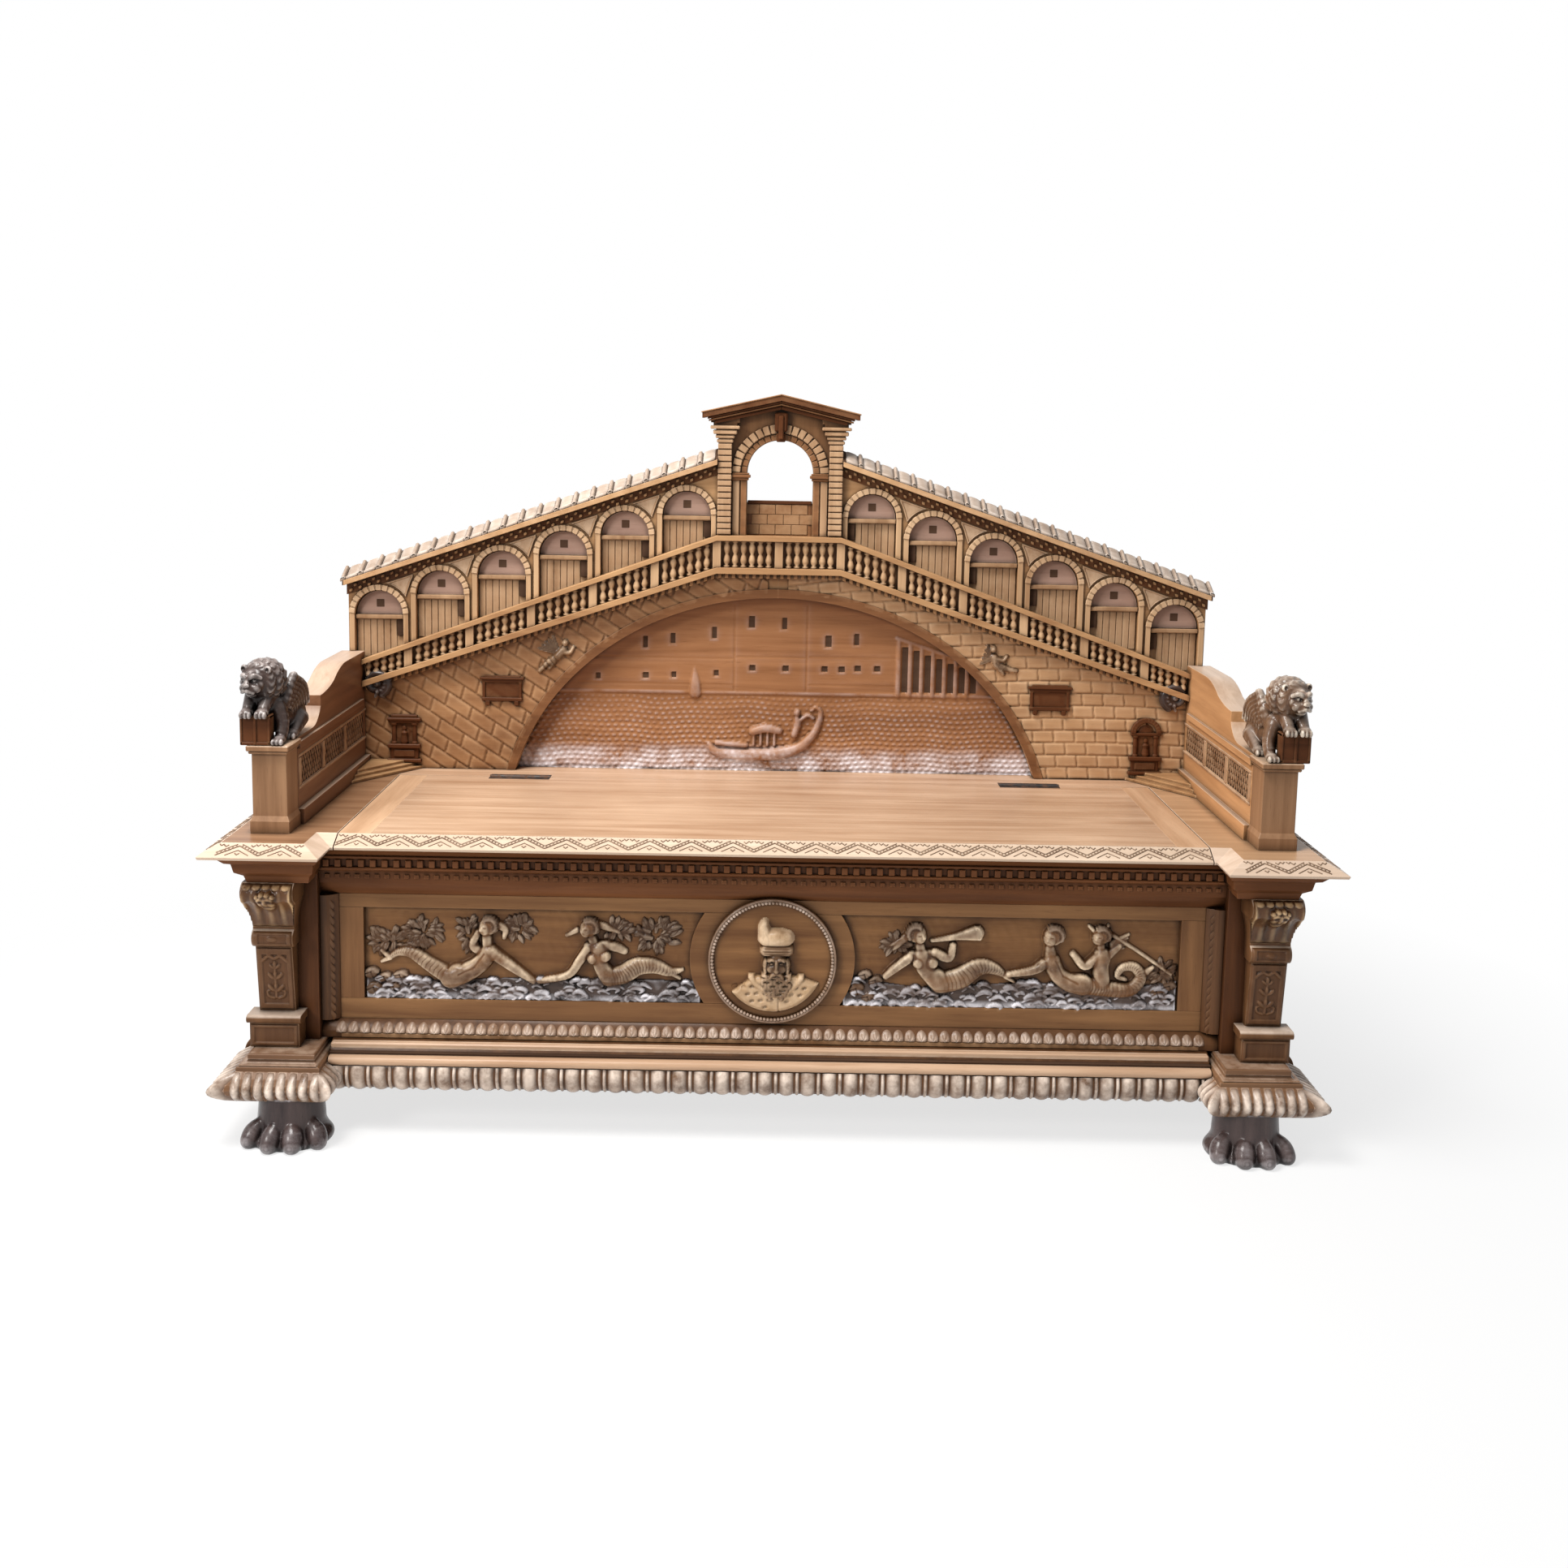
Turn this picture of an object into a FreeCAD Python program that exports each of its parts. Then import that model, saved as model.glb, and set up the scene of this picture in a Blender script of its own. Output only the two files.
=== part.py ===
"""Carved hall settle: a chest with a hinged seat lid, lion arms and a back shaped as an arched bridge.

Millimetres, +Z up, +X to the sitter's left, front of the settle towards -Y, floor at Z = 0.
"""
import FreeCAD
import Part
import math
import os
from FreeCAD import Vector

# Overall sizes
overall_depth = 650.0
seat_height = 525.0
chest_bay_width = 1552.0
pier_width = 98.0
pier_depth = 63.0

# Joint clearances
joint_fit = 0.2
lid_rest_gap = 0.3
lid_end_gap = 1.5
hinge_seam = 1.5
pin_fit = 0.05

# Heights of the pedestal, from the floor up
foot_height = 78.0
cushion_height = 52.0
base_mould_height = 27.0
plinth_height = 43.0
plinth_cap_height = 14.0
astragal_height = 30.0
scroll_height = 88.0
cornice_height = 53.0

# Seat slab and its splayed carved edge
seat_thickness = 22.0
edge_splay = 32.0
edge_drop = 17.0
edge_lip_inset = 2.0
seat_break = 72.0
seat_outer_lip = 34.0
seat_inner_lip = 3.0
seat_return_gap = 3.5
pier_set_back = 80.0
pier_break = 25.0
cornice_bed_reach = 52.0
cornice_reach = 26.0
cornice_return_reach = 30.0
cornice_outer_reach = 66.0

# Console in front of each pier
console_inset = 32.0
scroll_width = 88.0
astragal_width = 70.0
shaft_width = 62.0
plinth_width = 84.0
plinth_cap_width = 92.0
plinth_reach = 36.0
shaft_foot_reach = 16.0
shaft_head_reach = 30.0
scroll_reach = 60.0
scroll_eye = 9.0

# Pedestal base and front paw feet
base_core_reach = 62.0
base_core_inner = 6.0
cushion_bulge = 34.0
cushion_shoulder = 14.0
paw_inset = 58.0
paw_ankle_radius = 50.0
paw_width = 150.0
paw_toe_count = 4
paw_toe_height = 56.0
paw_toe_length = 70.0
paw_toe_set_back = 1.0
paw_toe_fan = 80.0
rear_foot_width = 92.0
rear_foot_taper = 12.0

# Chest front frame
frame_thickness = 24.0
stile_width = 71.0
top_rail_height = 24.0
bottom_rail_height = 66.0
front_cornice_height = 93.5
panel_recess = 10.0
panel_thickness = 14.0
panel_tongue = 8.0
tongue_thickness = 5.0
tenon_length = 20.0
tenon_thickness = 10.0
tenon_shoulder = 4.0
medallion_lap = 19.75
medallion_thickness = 7.0
medallion_dish = 3.0
ring_width = 9.0
ring_height = 12.0
surround_gap = 42.0
leaf_width = 30.0
leaf_thickness = 14.0
leaf_edge = 2.0
base_torus_reach = 57.0
base_cyma_height = 22.0
base_cyma_bow = 4.0
dentil_fascia_reach = 18.0
cornice_bed_step = 12.0

# Chest carcass
end_frame_thickness = 28.0
end_frame_inset = 6.0
end_rail_height = 52.0
end_stile_width = 48.0
end_panel_thickness = 14.0
end_panel_field = 34.0
end_panel_bevel = 6.0
rear_post_size = 62.0
rear_rail_depth = 45.0
end_base_reach = 54.0
floor_thickness = 16.0
bearer_height = 20.0
bearer_width = 60.0
floor_board_count = 3
ledge_width = 64.0
ledge_height = 25.0

# Lid and hinges
cleat_width = 55.0
cleat_tongue = 10.0
cleat_tongue_thickness = 8.0
lid_board_count = 3
rear_ledge_depth = 64.0
hinge_centre = 500.0
hinge_length = 118.0
leaf_plate_width = 16.0
leaf_plate_thickness = 2.5
knuckle_radius = 3.5
knuckle_count = 5
knuckle_gap = 0.3
knuckle_relief = 0.6
pin_radius = 1.6
screw_count = 3
screw_head_radius = 3.0
screw_head_depth = 2.0
screw_shank_radius = 1.5
screw_length = 12.0

# Arms
arm_wall_lap = 30.7
arm_thickness = 46.0
arm_low_height = 151.0
arm_step_height = 200.0
arm_high_height = 235.0
arm_plinth_height = 27.0
arm_plinth_reach = 10.0
arm_panel_low = 66.0
arm_panel_high = 114.0
arm_panel_margin = 18.0
arm_panel_bar = 14.0
arm_panel_depth = 5.0
arm_panel_count = 3
arm_bead_height = 12.0
arm_bead_reach = 5.0
post_width = 58.0
post_depth = 60.0
post_set_back = 63.0
post_plinth_height = 29.0
post_cap_height = 12.0
post_lip = 4.0
step_count = 3
step_height = 6.0
step_tread = 15.0
step_run = 107.0
step_rise_back = 149.0

# Bridge back
backing_thickness = 18.0
backing_drop = 85.0
wall_thickness = 30.0
wall_inset = 25.3
arch_half_span = 538.0
arch_rise = 480.0
arch_centre_drop = 125.0
archivolt_width = 18.0
archivolt_reach = 6.0
eave_height = 369.0
eave_slope = 0.3415
roof_height = 30.0
roof_lip = 8.0
roof_reach = 25.0
roof_bevel = 41.0
roof_overhang = 6.0

# Balustrade
balustrade_reach = 30.0
foot_rail_height = 404.0
foot_rail_slope = 0.341
foot_rail_thickness = 12.0
handrail_height = 478.5
handrail_slope = 0.369
handrail_thickness = 10.0
post_side = 16.0
baluster_side = 10.0
baluster_belly = 9.2
baluster_waist = 4.6
baluster_head = 8.0
balusters_per_bay = 6

# Shops of the arcade
shops_per_side = 6
shop_gap = 25.2
shop_top_drop = 22.0
shop_ring_width = 10.0
shop_ring_reach = 5.0
shop_lintel_drop = 60.0
shop_lintel_height = 9.0
shop_door_recess = 12.0
shop_window_side = 12.0
shop_window_depth = 6.0

# Portico and pediment
portico_width = 243.0
portico_opening = 129.0
portico_foot = 435.0
portico_head = 48.0
portico_gable_rise = 28.0
portico_arch_top = 665.0
portico_parapet = 541.0
pilaster_width = 26.0
pilaster_reach = 15.0
capital_steps = 3
capital_step_height = 12.0
capital_step_reach = 5.0
pediment_overhang = 31.0
pediment_thickness = 13.0
pediment_reach = 36.0

# Wall ornaments
tablet_width = 77.0
tablet_height = 48.0
tablet_x = 545.0
tablet_rise = 162.0
plaque_reach = 7.0
shrine_width = 66.0
shrine_x = 740.0
shrine_rise = 18.0
shrine_column = 10.0
shrine_opening_height = 58.0
shrine_base_height = 14.0
shrine_hood_height = 22.0

# Facets of the roughed-out carving
carve_sides = 12
carve_rings = 8

# Lion on each arm post
lion_length = 140.0
lion_head_rise = 113.0
lion_head_radius = 35.0
lion_set_out = 8.0
lion_head_turn = 13.0
lion_body_radius = 27.0
book_width = 52.0
book_height = 52.0
book_thickness = 20.0
wing_thickness = 9.0
wing_rise = 104.0

# Planes of depth, worked out from the front tip and the rear face
front_tip_y = -overall_depth / 2
rear_y = overall_depth / 2
pedestal_edge_y = front_tip_y + edge_splay
pier_front_y = pedestal_edge_y + pier_set_back
pier_rear_y = pier_front_y + pier_depth
frame_front_y = pier_front_y + pier_break
frame_rear_y = frame_front_y + frame_thickness
lid_edge_y = pedestal_edge_y + seat_break
backing_front_y = rear_y - backing_thickness
wall_front_y = backing_front_y - wall_thickness
hinge_y = wall_front_y - rear_ledge_depth
rail_front_y = wall_front_y - balustrade_reach
post_front_y = pedestal_edge_y + post_set_back
post_rear_y = post_front_y + post_depth

# Widths, measured from the middle
pier_inner_x = chest_bay_width / 2
pier_outer_x = pier_inner_x + pier_width
console_x = pier_outer_x - console_inset
seat_outer_x = pier_outer_x + seat_outer_lip
seat_inner_x = pier_inner_x - seat_inner_lip
seat_seam_x = seat_inner_x - edge_splay - seat_return_gap
lid_half = seat_seam_x - lid_end_gap
wall_half = pier_outer_x - wall_inset
arm_inner_x = wall_half - arm_wall_lap
arm_outer_x = arm_inner_x + arm_thickness
post_x = arm_inner_x + post_width / 2 + 1.5 * joint_fit
rear_post_x = pier_outer_x - rear_post_size
end_outer_x = pier_outer_x - end_frame_inset
portico_half = portico_width / 2
bay_pitch = (wall_half - portico_half) / shops_per_side
shop_half = (bay_pitch - shop_gap) / 2

# Heights
cushion_top = foot_height + cushion_height
base_top = cushion_top + base_mould_height
seat_under = seat_height - seat_thickness
cornice_bottom = seat_under - cornice_height
front_cornice_bottom = seat_under - front_cornice_height
panel_top = front_cornice_bottom - top_rail_height
panel_bottom = base_top + bottom_rail_height
medallion_z = (panel_top + panel_bottom) / 2
medallion_radius = (panel_top - panel_bottom) / 2 + medallion_lap
surround_radius = medallion_radius + surround_gap
backing_bottom = seat_height - backing_drop
arch_centre_z = seat_height - arch_centre_drop
arm_low_z = seat_height + arm_low_height
portico_foot_z = seat_height + portico_foot
portico_eave_z = seat_height + portico_arch_top + portico_head


along_x = Vector(1, 0, 0)
along_y = Vector(0, 1, 0)
along_z = Vector(0, 0, 1)


def at(plane, pair, depth):
    """Point of a front (x, z), side (y, z) or plan (x, y) drawing at a given depth."""
    if plane == "front":
        return Vector(pair[0], depth, pair[1])
    if plane == "side":
        return Vector(depth, pair[0], pair[1])
    return Vector(pair[0], pair[1], depth)


def arc(middle, end):
    """Leg of an outline that runs through a middle point to an end point."""
    return ("arc", middle, end)


def outline(plane, depth, start, *legs):
    """Closed wire of straight legs and arcs, drawn in one plane."""
    edges = []
    here = start
    for leg in legs + (start,):
        if leg[0] == "arc":
            middle, end = leg[1], leg[2]
            curve = Part.Arc(at(plane, here, depth), at(plane, middle, depth), at(plane, end, depth))
            edges.append(curve.toShape())
        else:
            end = leg
            if math.dist(here, end) > 1e-6:
                edges.append(Part.makeLine(at(plane, here, depth), at(plane, end, depth)))
        here = end
    return Part.Wire(edges)


def prism(plane, low, high, start, *legs):
    """Solid of an outline, drawn out from one depth to another."""
    face = Part.Face(outline(plane, low, start, *legs))
    return face.extrude(at(plane, (0.0, 0.0), high - low))


def box(x0, x1, y0, y1, z0, z1):
    """Block between two corners."""
    return Part.makeBox(x1 - x0, y1 - y0, z1 - z0, Vector(x0, y0, z0))


def stack(sections):
    """Moulded solid through level outlines, given as (height, corner points)."""
    wires = [outline("plan", z, *points) for z, points in sections]
    return Part.makeLoft(wires, True, True)


def turned(centre, axis, sides, sections):
    """Many-sided turned form along an axis, through sections given as (distance along it, radius)."""
    turn = FreeCAD.Rotation(along_z, axis)
    rings = []
    for height, radius in sections:
        ring = []
        for k in range(sides):
            angle = 2 * math.pi * (k + 0.5) / sides
            spoke = Vector(radius * math.cos(angle), radius * math.sin(angle), height)
            ring.append(Vector(*centre) + turn.multVec(spoke))
        rings.append(ring)
    facets = [rings[0], rings[-1]]
    for low, high in zip(rings, rings[1:]):
        for k in range(sides):
            facets.append([low[k - 1], low[k], high[k], high[k - 1]])
    faces = [Part.Face(Part.makePolygon(corners + corners[:1])) for corners in facets]
    return Part.makeSolid(Part.makeShell(faces))


def swelling(centre, axis, length, width):
    """Egg-like form along an axis, in flat facets as a carver roughs it out."""
    sections = []
    for k in range(1, carve_rings):
        turn = math.pi * k / carve_rings
        sections.append((-length / 2 * math.cos(turn), width / 2 * math.sin(turn)))
    return turned(centre, axis, carve_sides, sections)


def mirrored(shape):
    """The same shape on the other side of the settle."""
    return shape.mirror(Vector(0, 0, 0), Vector(1, 0, 0))


def both(shape):
    """A piece and its twin on the other side, as separate solids."""
    return Part.makeCompound([mirrored(shape), shape])


def group(solids):
    """Separate solids that share one node."""
    return Part.makeCompound(solids)


def eave_z(x):
    """Height of the raking eave line over a place on the wall."""
    return seat_height + eave_height + eave_slope * (wall_half - abs(x))


def foot_z(x):
    """Underside of the balustrade's foot rail."""
    return seat_height + foot_rail_height - foot_rail_slope * max(0.0, abs(x) - portico_half)


def hand_z(x):
    """Top of the handrail."""
    return seat_height + handrail_height - handrail_slope * max(0.0, abs(x) - portico_half)


def shop_x(k):
    """Middle of one shop of the arcade."""
    return portico_half + (k + 0.5) * bay_pitch


def shop_top(k):
    """Top of the raised ring over one shop."""
    return eave_z(shop_x(k)) - shop_top_drop


# Feet and pedestals

def paw_foot():
    """Lion paw with spread toes, flat underneath."""
    x = pier_outer_x - paw_inset
    toe_y = front_tip_y + paw_toe_set_back + paw_toe_length / 2
    ankle_y = toe_y + paw_ankle_radius * 0.9
    ankle = ((0.0, 1.25), (0.4, 1.1), (0.75, 1.0), (1.0, 1.15))
    foot = turned((x, ankle_y, 0.0), along_z, 2 * carve_sides,
                  [(foot_height * share, paw_ankle_radius * swell) for share, swell in ankle])
    toe_pitch = paw_width / paw_toe_count
    for k in range(paw_toe_count):
        offset = (k - (paw_toe_count - 1) / 2) * toe_pitch
        back = paw_toe_fan * (offset / paw_width) ** 2
        foot = foot.fuse(swelling((x + offset, toe_y + back, paw_toe_height * 0.42), along_y, paw_toe_length,
                                  paw_toe_height))
    return foot.common(box(0, 2 * x, front_tip_y, rear_y, 0, foot_height))


def rear_foot():
    """Plain tapered block under a rear corner."""
    x0 = pier_outer_x - rear_foot_width
    y0 = rear_y - backing_thickness - rear_foot_width
    x1 = pier_outer_x
    y1 = rear_y - backing_thickness
    t = rear_foot_taper
    foot = ((x0 + t, y0 + t), (x1 - t, y0 + t), (x1 - t, y1), (x0 + t, y1))
    head = ((x0, y0), (x1, y0), (x1, y1), (x0, y1))
    return stack([(0.0, foot), (foot_height, head)])


def base_plan(reach):
    """Level outline of a pedestal base at a given reach from its core."""
    x0 = pier_inner_x - base_core_inner - reach
    x1 = pier_outer_x + reach * end_base_reach / cushion_bulge
    y0 = pier_front_y - base_core_reach - reach
    return ((x0, y0), (x1, y0), (x1, pier_rear_y), (x0, pier_rear_y))


def pedestal_base():
    """Swelling cushion with stepped mouldings over it."""
    sections = []
    steps = 7
    for k in range(steps):
        turn = math.pi * k / (steps - 1)
        reach = cushion_shoulder + (cushion_bulge - cushion_shoulder) * math.sin(turn)
        sections.append((foot_height + cushion_height * k / (steps - 1), base_plan(reach)))
    step = base_mould_height / 4
    sections.append((cushion_top + step, base_plan(cushion_shoulder)))
    sections.append((cushion_top + 2 * step, base_plan(cushion_shoulder * 0.3)))
    sections.append((base_top, base_plan(0.0)))
    return stack(sections)


def pier():
    """Square corner post behind the console, mortised for the front rails."""
    body = box(pier_inner_x, pier_outer_x, pier_front_y, pier_rear_y, base_top, cornice_bottom)
    for z0, z1 in (top_tenon_z, bottom_tenon_z):
        body = body.cut(rail_tenon(z0, z1, joint_fit))
    return body


def console():
    """Scrolled bracket on a tapered shaft and a plinth."""
    back = pier_front_y
    plinth_top = base_top + plinth_height
    cap_top = plinth_top + plinth_cap_height
    scroll_bottom = cornice_bottom - scroll_height
    shaft_top = scroll_bottom - astragal_height

    def across(width):
        return console_x - width / 2, console_x + width / 2

    plinth = prism("side", *across(plinth_width), (back, base_top), (back - plinth_reach, base_top),
                   (back - plinth_reach, plinth_top), (back, plinth_top))
    nose = back - plinth_reach - plinth_cap_height / 2
    cap = prism("side", *across(plinth_cap_width), (back, plinth_top), (back - plinth_reach, plinth_top),
                arc((nose, plinth_top + plinth_cap_height / 2), (back - plinth_reach, cap_top)),
                (back, cap_top))
    shaft = prism("side", *across(shaft_width), (back, cap_top), (back - shaft_foot_reach, cap_top),
                  (back - shaft_head_reach, shaft_top), (back, shaft_top))
    bead = back - shaft_head_reach - astragal_height / 3
    astragal = prism("side", *across(astragal_width), (back, shaft_top), (back - shaft_head_reach, shaft_top),
                     arc((bead, shaft_top + astragal_height / 2), (back - shaft_head_reach, scroll_bottom)),
                     (back, scroll_bottom))
    front = back - scroll_reach
    waist = back - shaft_head_reach
    swell_z = scroll_bottom + scroll_height * 0.66
    scroll = prism("side", *across(scroll_width), (back, scroll_bottom), (waist, scroll_bottom),
                   arc((waist - scroll_eye / 3, scroll_bottom + scroll_height * 0.3), (front, swell_z)),
                   arc((front - scroll_eye / 2, swell_z + scroll_height * 0.18),
                       (front + scroll_eye, cornice_bottom)),
                   (back, cornice_bottom))
    return plinth.fuse([cap, shaft, astragal, scroll.common(scroll_taper())]).removeSplitter()


def scroll_taper():
    """Front view of the scroll, drawn in from its head to the astragal below it."""
    head = scroll_width / 2
    foot = astragal_width / 2
    low = cornice_bottom - scroll_height
    bend = low + scroll_height * 0.6
    hollow = foot + (head - foot) * 0.3
    middle = low + scroll_height * 0.35
    top = cornice_bottom
    x = console_x
    return prism("front", front_tip_y, pier_front_y, (x - foot, low), (x + foot, low),
                 arc((x + hollow, middle), (x + head, bend)), (x + head, top), (x - head, top),
                 (x - head, bend), arc((x - hollow, middle), (x - foot, low)))


# Chest front

def base_moulding_front():
    """Bulging torus and hollow between the two pedestals."""
    reach = frame_front_y - base_torus_reach
    half = pier_inner_x - base_core_inner
    torus_top = base_top - base_cyma_height
    torus_in = reach + cushion_height * 0.38
    leaf_y = frame_front_y - leaf_thickness
    hollow = (leaf_y + torus_in) / 2 - base_cyma_bow
    body = prism("side", -half, half, (pier_rear_y, foot_height), (torus_in, foot_height),
                 arc((reach, (foot_height + torus_top) / 2), (torus_in, torus_top)),
                 arc((hollow, torus_top + base_cyma_height * 0.7), (leaf_y, base_top)),
                 (pier_rear_y, base_top))
    ends = [base_clear(cushion_bulge, foot_height, cushion_top),
            base_clear(cushion_shoulder, cushion_top, base_top)]
    return body.cut(ends + [mirrored(end) for end in ends])


def base_clear(reach, z0, z1):
    """Plain block round part of a pedestal base, for cutting the front moulding to length."""
    inner = base_plan(reach)[0][0]
    return box(inner, pier_inner_x, front_tip_y, rear_y, z0, z1)


def base_moulding_end():
    """The same base moulding along one end of the chest."""
    torus_top = base_top - base_cyma_height
    out = pier_outer_x + end_base_reach
    inset = cushion_height * 0.38
    front = (pier_rear_y, backing_front_y)
    profile = outline("front", front[0], (rear_post_x, foot_height), (out - inset, foot_height),
                      arc((out, (foot_height + torus_top) / 2), (out - inset, torus_top)),
                      arc((pier_outer_x + 3.0, torus_top + base_cyma_height * 0.6), (pier_outer_x, base_top)),
                      (rear_post_x, base_top))
    return Part.Face(profile).extrude(Vector(0, front[1] - front[0], 0))


top_tenon_z = (panel_top + tenon_shoulder, front_cornice_bottom - tenon_shoulder)
bottom_tenon_z = (base_top + 2 * tenon_shoulder, panel_bottom - 2 * tenon_shoulder)


def rail_tenon(z0, z1, clearance):
    """Tenon at the right end of a front rail, or its mortise when given a clearance."""
    middle = (frame_front_y + frame_rear_y) / 2
    half = tenon_thickness / 2 + clearance
    return box(pier_inner_x, pier_inner_x + tenon_length + clearance, middle - half, middle + half,
               z0 - clearance, z1 + clearance)


def panel_face(grow):
    """Corner points and hollow end of the right relief panel's outline, grown on every side."""
    low = panel_bottom - grow
    high = panel_top + grow
    radius = surround_radius - grow
    half = (high - low) / 2
    inner = math.sqrt(radius * radius - half * half)
    outer = pier_inner_x - stile_width + grow
    return ((inner, low), (outer, low), (outer, high), (inner, high),
            arc((radius, medallion_z), (inner, low)))


def panel_layer(grow, y0, y1):
    """Board of the panel's outline between two depths."""
    return prism("front", y0, y1, *panel_face(grow))


panel_front_y = frame_front_y + panel_recess
panel_rear_y = panel_front_y + panel_thickness
tongue_y = (panel_front_y + panel_rear_y) / 2


def relief_panel():
    """Sunk board with a tongue all round that sits in the frame's groove."""
    board = panel_layer(-joint_fit, panel_front_y, panel_rear_y)
    tongue = panel_layer(panel_tongue, tongue_y - tongue_thickness / 2, tongue_y + tongue_thickness / 2)
    return board.fuse(tongue).removeSplitter()


def grooved(piece):
    """Frame piece with the panels' groove run in it."""
    half = tongue_thickness / 2 + joint_fit
    groove = panel_layer(panel_tongue + joint_fit, tongue_y - half, tongue_y + half)
    return piece.cut([groove, mirrored(groove)])


def front_rail(z0, z1, tenon_z):
    """Rail across the chest front with a tenon at each end."""
    rail = box(-pier_inner_x, pier_inner_x, frame_front_y, frame_rear_y, z0, z1)
    tenon = rail_tenon(*tenon_z, 0.0)
    return grooved(rail.fuse([tenon, mirrored(tenon)]).removeSplitter())


def front_stile():
    """Upright at one end of the front frame."""
    return grooved(box(pier_inner_x - stile_width, pier_inner_x, frame_front_y, frame_rear_y,
                       panel_bottom, panel_top))


def front_centre_block():
    """Barrel-sided block behind the medallion."""
    half = (panel_top - panel_bottom) / 2
    x = math.sqrt(surround_radius ** 2 - half ** 2)
    block = prism("front", frame_front_y, frame_rear_y, (-x, panel_bottom), (x, panel_bottom),
                  arc((surround_radius, medallion_z), (x, panel_top)), (-x, panel_top),
                  arc((-surround_radius, medallion_z), (-x, panel_bottom)))
    return grooved(block)


def medallion():
    """Round dished disc."""
    r = medallion_radius
    front = frame_front_y - medallion_thickness
    profile = outline("side", 0.0, (frame_front_y, 0.0), (front + medallion_dish, 0.0),
                      (front + medallion_dish * 0.7, r * 0.55), (front, r * 0.92),
                      (front, r), (frame_front_y, r))
    disc = Part.Face(profile).revolve(Vector(0, 0, 0), Vector(0, 1, 0), 360)
    disc.translate(Vector(0, 0, medallion_z))
    return disc


def medallion_ring():
    """Raised ring with a canted nose outside the disc."""
    r0 = medallion_radius + joint_fit
    r1 = r0 + ring_width
    front = frame_front_y - ring_height
    spring = front + ring_width / 2
    profile = outline("side", 0.0, (frame_front_y, r0), (spring, r0), (front, r0 + ring_width / 3),
                      (front, r1 - ring_width / 3), (spring, r1), (frame_front_y, r1))
    ring = Part.Face(profile).revolve(Vector(0, 0, 0), Vector(0, 1, 0), 360)
    ring.translate(Vector(0, 0, medallion_z))
    return ring


def leaf_moulding():
    """Planted moulding along the foot and up both sides of the chest front."""
    y0 = frame_front_y - leaf_thickness
    low = base_top
    high = base_top + leaf_width
    half = pier_inner_x
    nose = y0 + leaf_thickness * 0.35
    foot = prism("side", -half, half, (frame_front_y, low), (y0, low), (y0, low + leaf_width * 0.4),
                 arc((nose, low + leaf_width * 0.72), (frame_front_y - leaf_edge, high)),
                 (frame_front_y, high))
    side = prism("plan", high, front_cornice_bottom, (half, frame_front_y), (half, y0),
                 (half - leaf_width * 0.4, y0),
                 arc((half - leaf_width * 0.72, nose), (half - leaf_width, frame_front_y - leaf_edge)),
                 (half - leaf_width, frame_front_y))
    return group([foot, mirrored(side), side])


def dentil_cornice():
    """Stepped moulding under the lid, between the pedestal cornices."""
    low = front_cornice_bottom
    high = seat_under - lid_rest_gap
    h = high - low
    fascia = frame_front_y - dentil_fascia_reach
    top = frame_front_y - 2.3 * dentil_fascia_reach
    bed = frame_front_y - cornice_bed_step
    bow = cornice_bed_step * 0.67
    moulding = prism("side", -pier_inner_x, pier_inner_x, (pier_rear_y, low), (frame_front_y, low),
                     arc((frame_front_y - bow, low + h * 0.12), (bed, low + h * 0.24)),
                     (bed, low + h * 0.46), (fascia, low + h * 0.5), (fascia, low + h * 0.74),
                     arc((fascia - bow, low + h * 0.86), (top, low + h * 0.94)), (top, high),
                     (pier_rear_y, high))
    ring_clear = Part.makeCylinder(medallion_radius + ring_width + 2 * joint_fit, ring_height + joint_fit,
                                   Vector(0, frame_front_y - ring_height - joint_fit, medallion_z), along_y)
    return moulding.cut(ring_clear)


def cornice_plan(out):
    """Level outline of an end cornice at a share of its reach: front, inner return and chest end."""
    step_y = frame_front_y - 2.4 * dentil_fascia_reach
    inner = pier_inner_x - out * cornice_return_reach
    outer = pier_outer_x + out * cornice_outer_reach
    front = pier_front_y - cornice_bed_reach - out * cornice_reach
    return ((pier_inner_x, backing_front_y), (pier_inner_x, step_y), (inner, step_y), (inner, front),
            (outer, front), (outer, backing_front_y))


def end_cornice():
    """Bearer over one end of the chest, moulded on its three open sides."""
    h = cornice_height
    low = cornice_bottom
    steps = ((0.0, 0.05), (0.22, 0.12), (0.34, 0.34), (0.62, 0.4), (0.66, 0.56), (0.86, 0.78), (1.0, 0.84))
    return stack([(low + h * rise, cornice_plan(out)) for rise, out in steps])


# Chest carcass

end_z0 = base_top
end_z1 = cornice_bottom
end_inner_x = end_outer_x - end_frame_thickness
rear_post_y = backing_front_y - rear_post_size


def end_opening(grow, x0, x1):
    """Block the size of the end frame's opening, grown on every side."""
    return box(x0, x1, pier_rear_y + end_stile_width - grow, rear_post_y - end_stile_width + grow,
               end_z0 + end_rail_height - grow, end_z1 - end_rail_height + grow)


end_panel_x = (end_inner_x + end_outer_x - end_panel_thickness) / 2


def end_frame():
    """Frame of one chest end, open for its panel."""
    frame = box(end_inner_x, end_outer_x, pier_rear_y, rear_post_y, end_z0, end_z1)
    frame = frame.cut(end_opening(0.0, end_inner_x, end_outer_x))
    half = tongue_thickness / 2 + joint_fit
    middle = end_panel_x + end_panel_thickness / 2
    return frame.cut(end_opening(panel_tongue + joint_fit, middle - half, middle + half))


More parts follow.
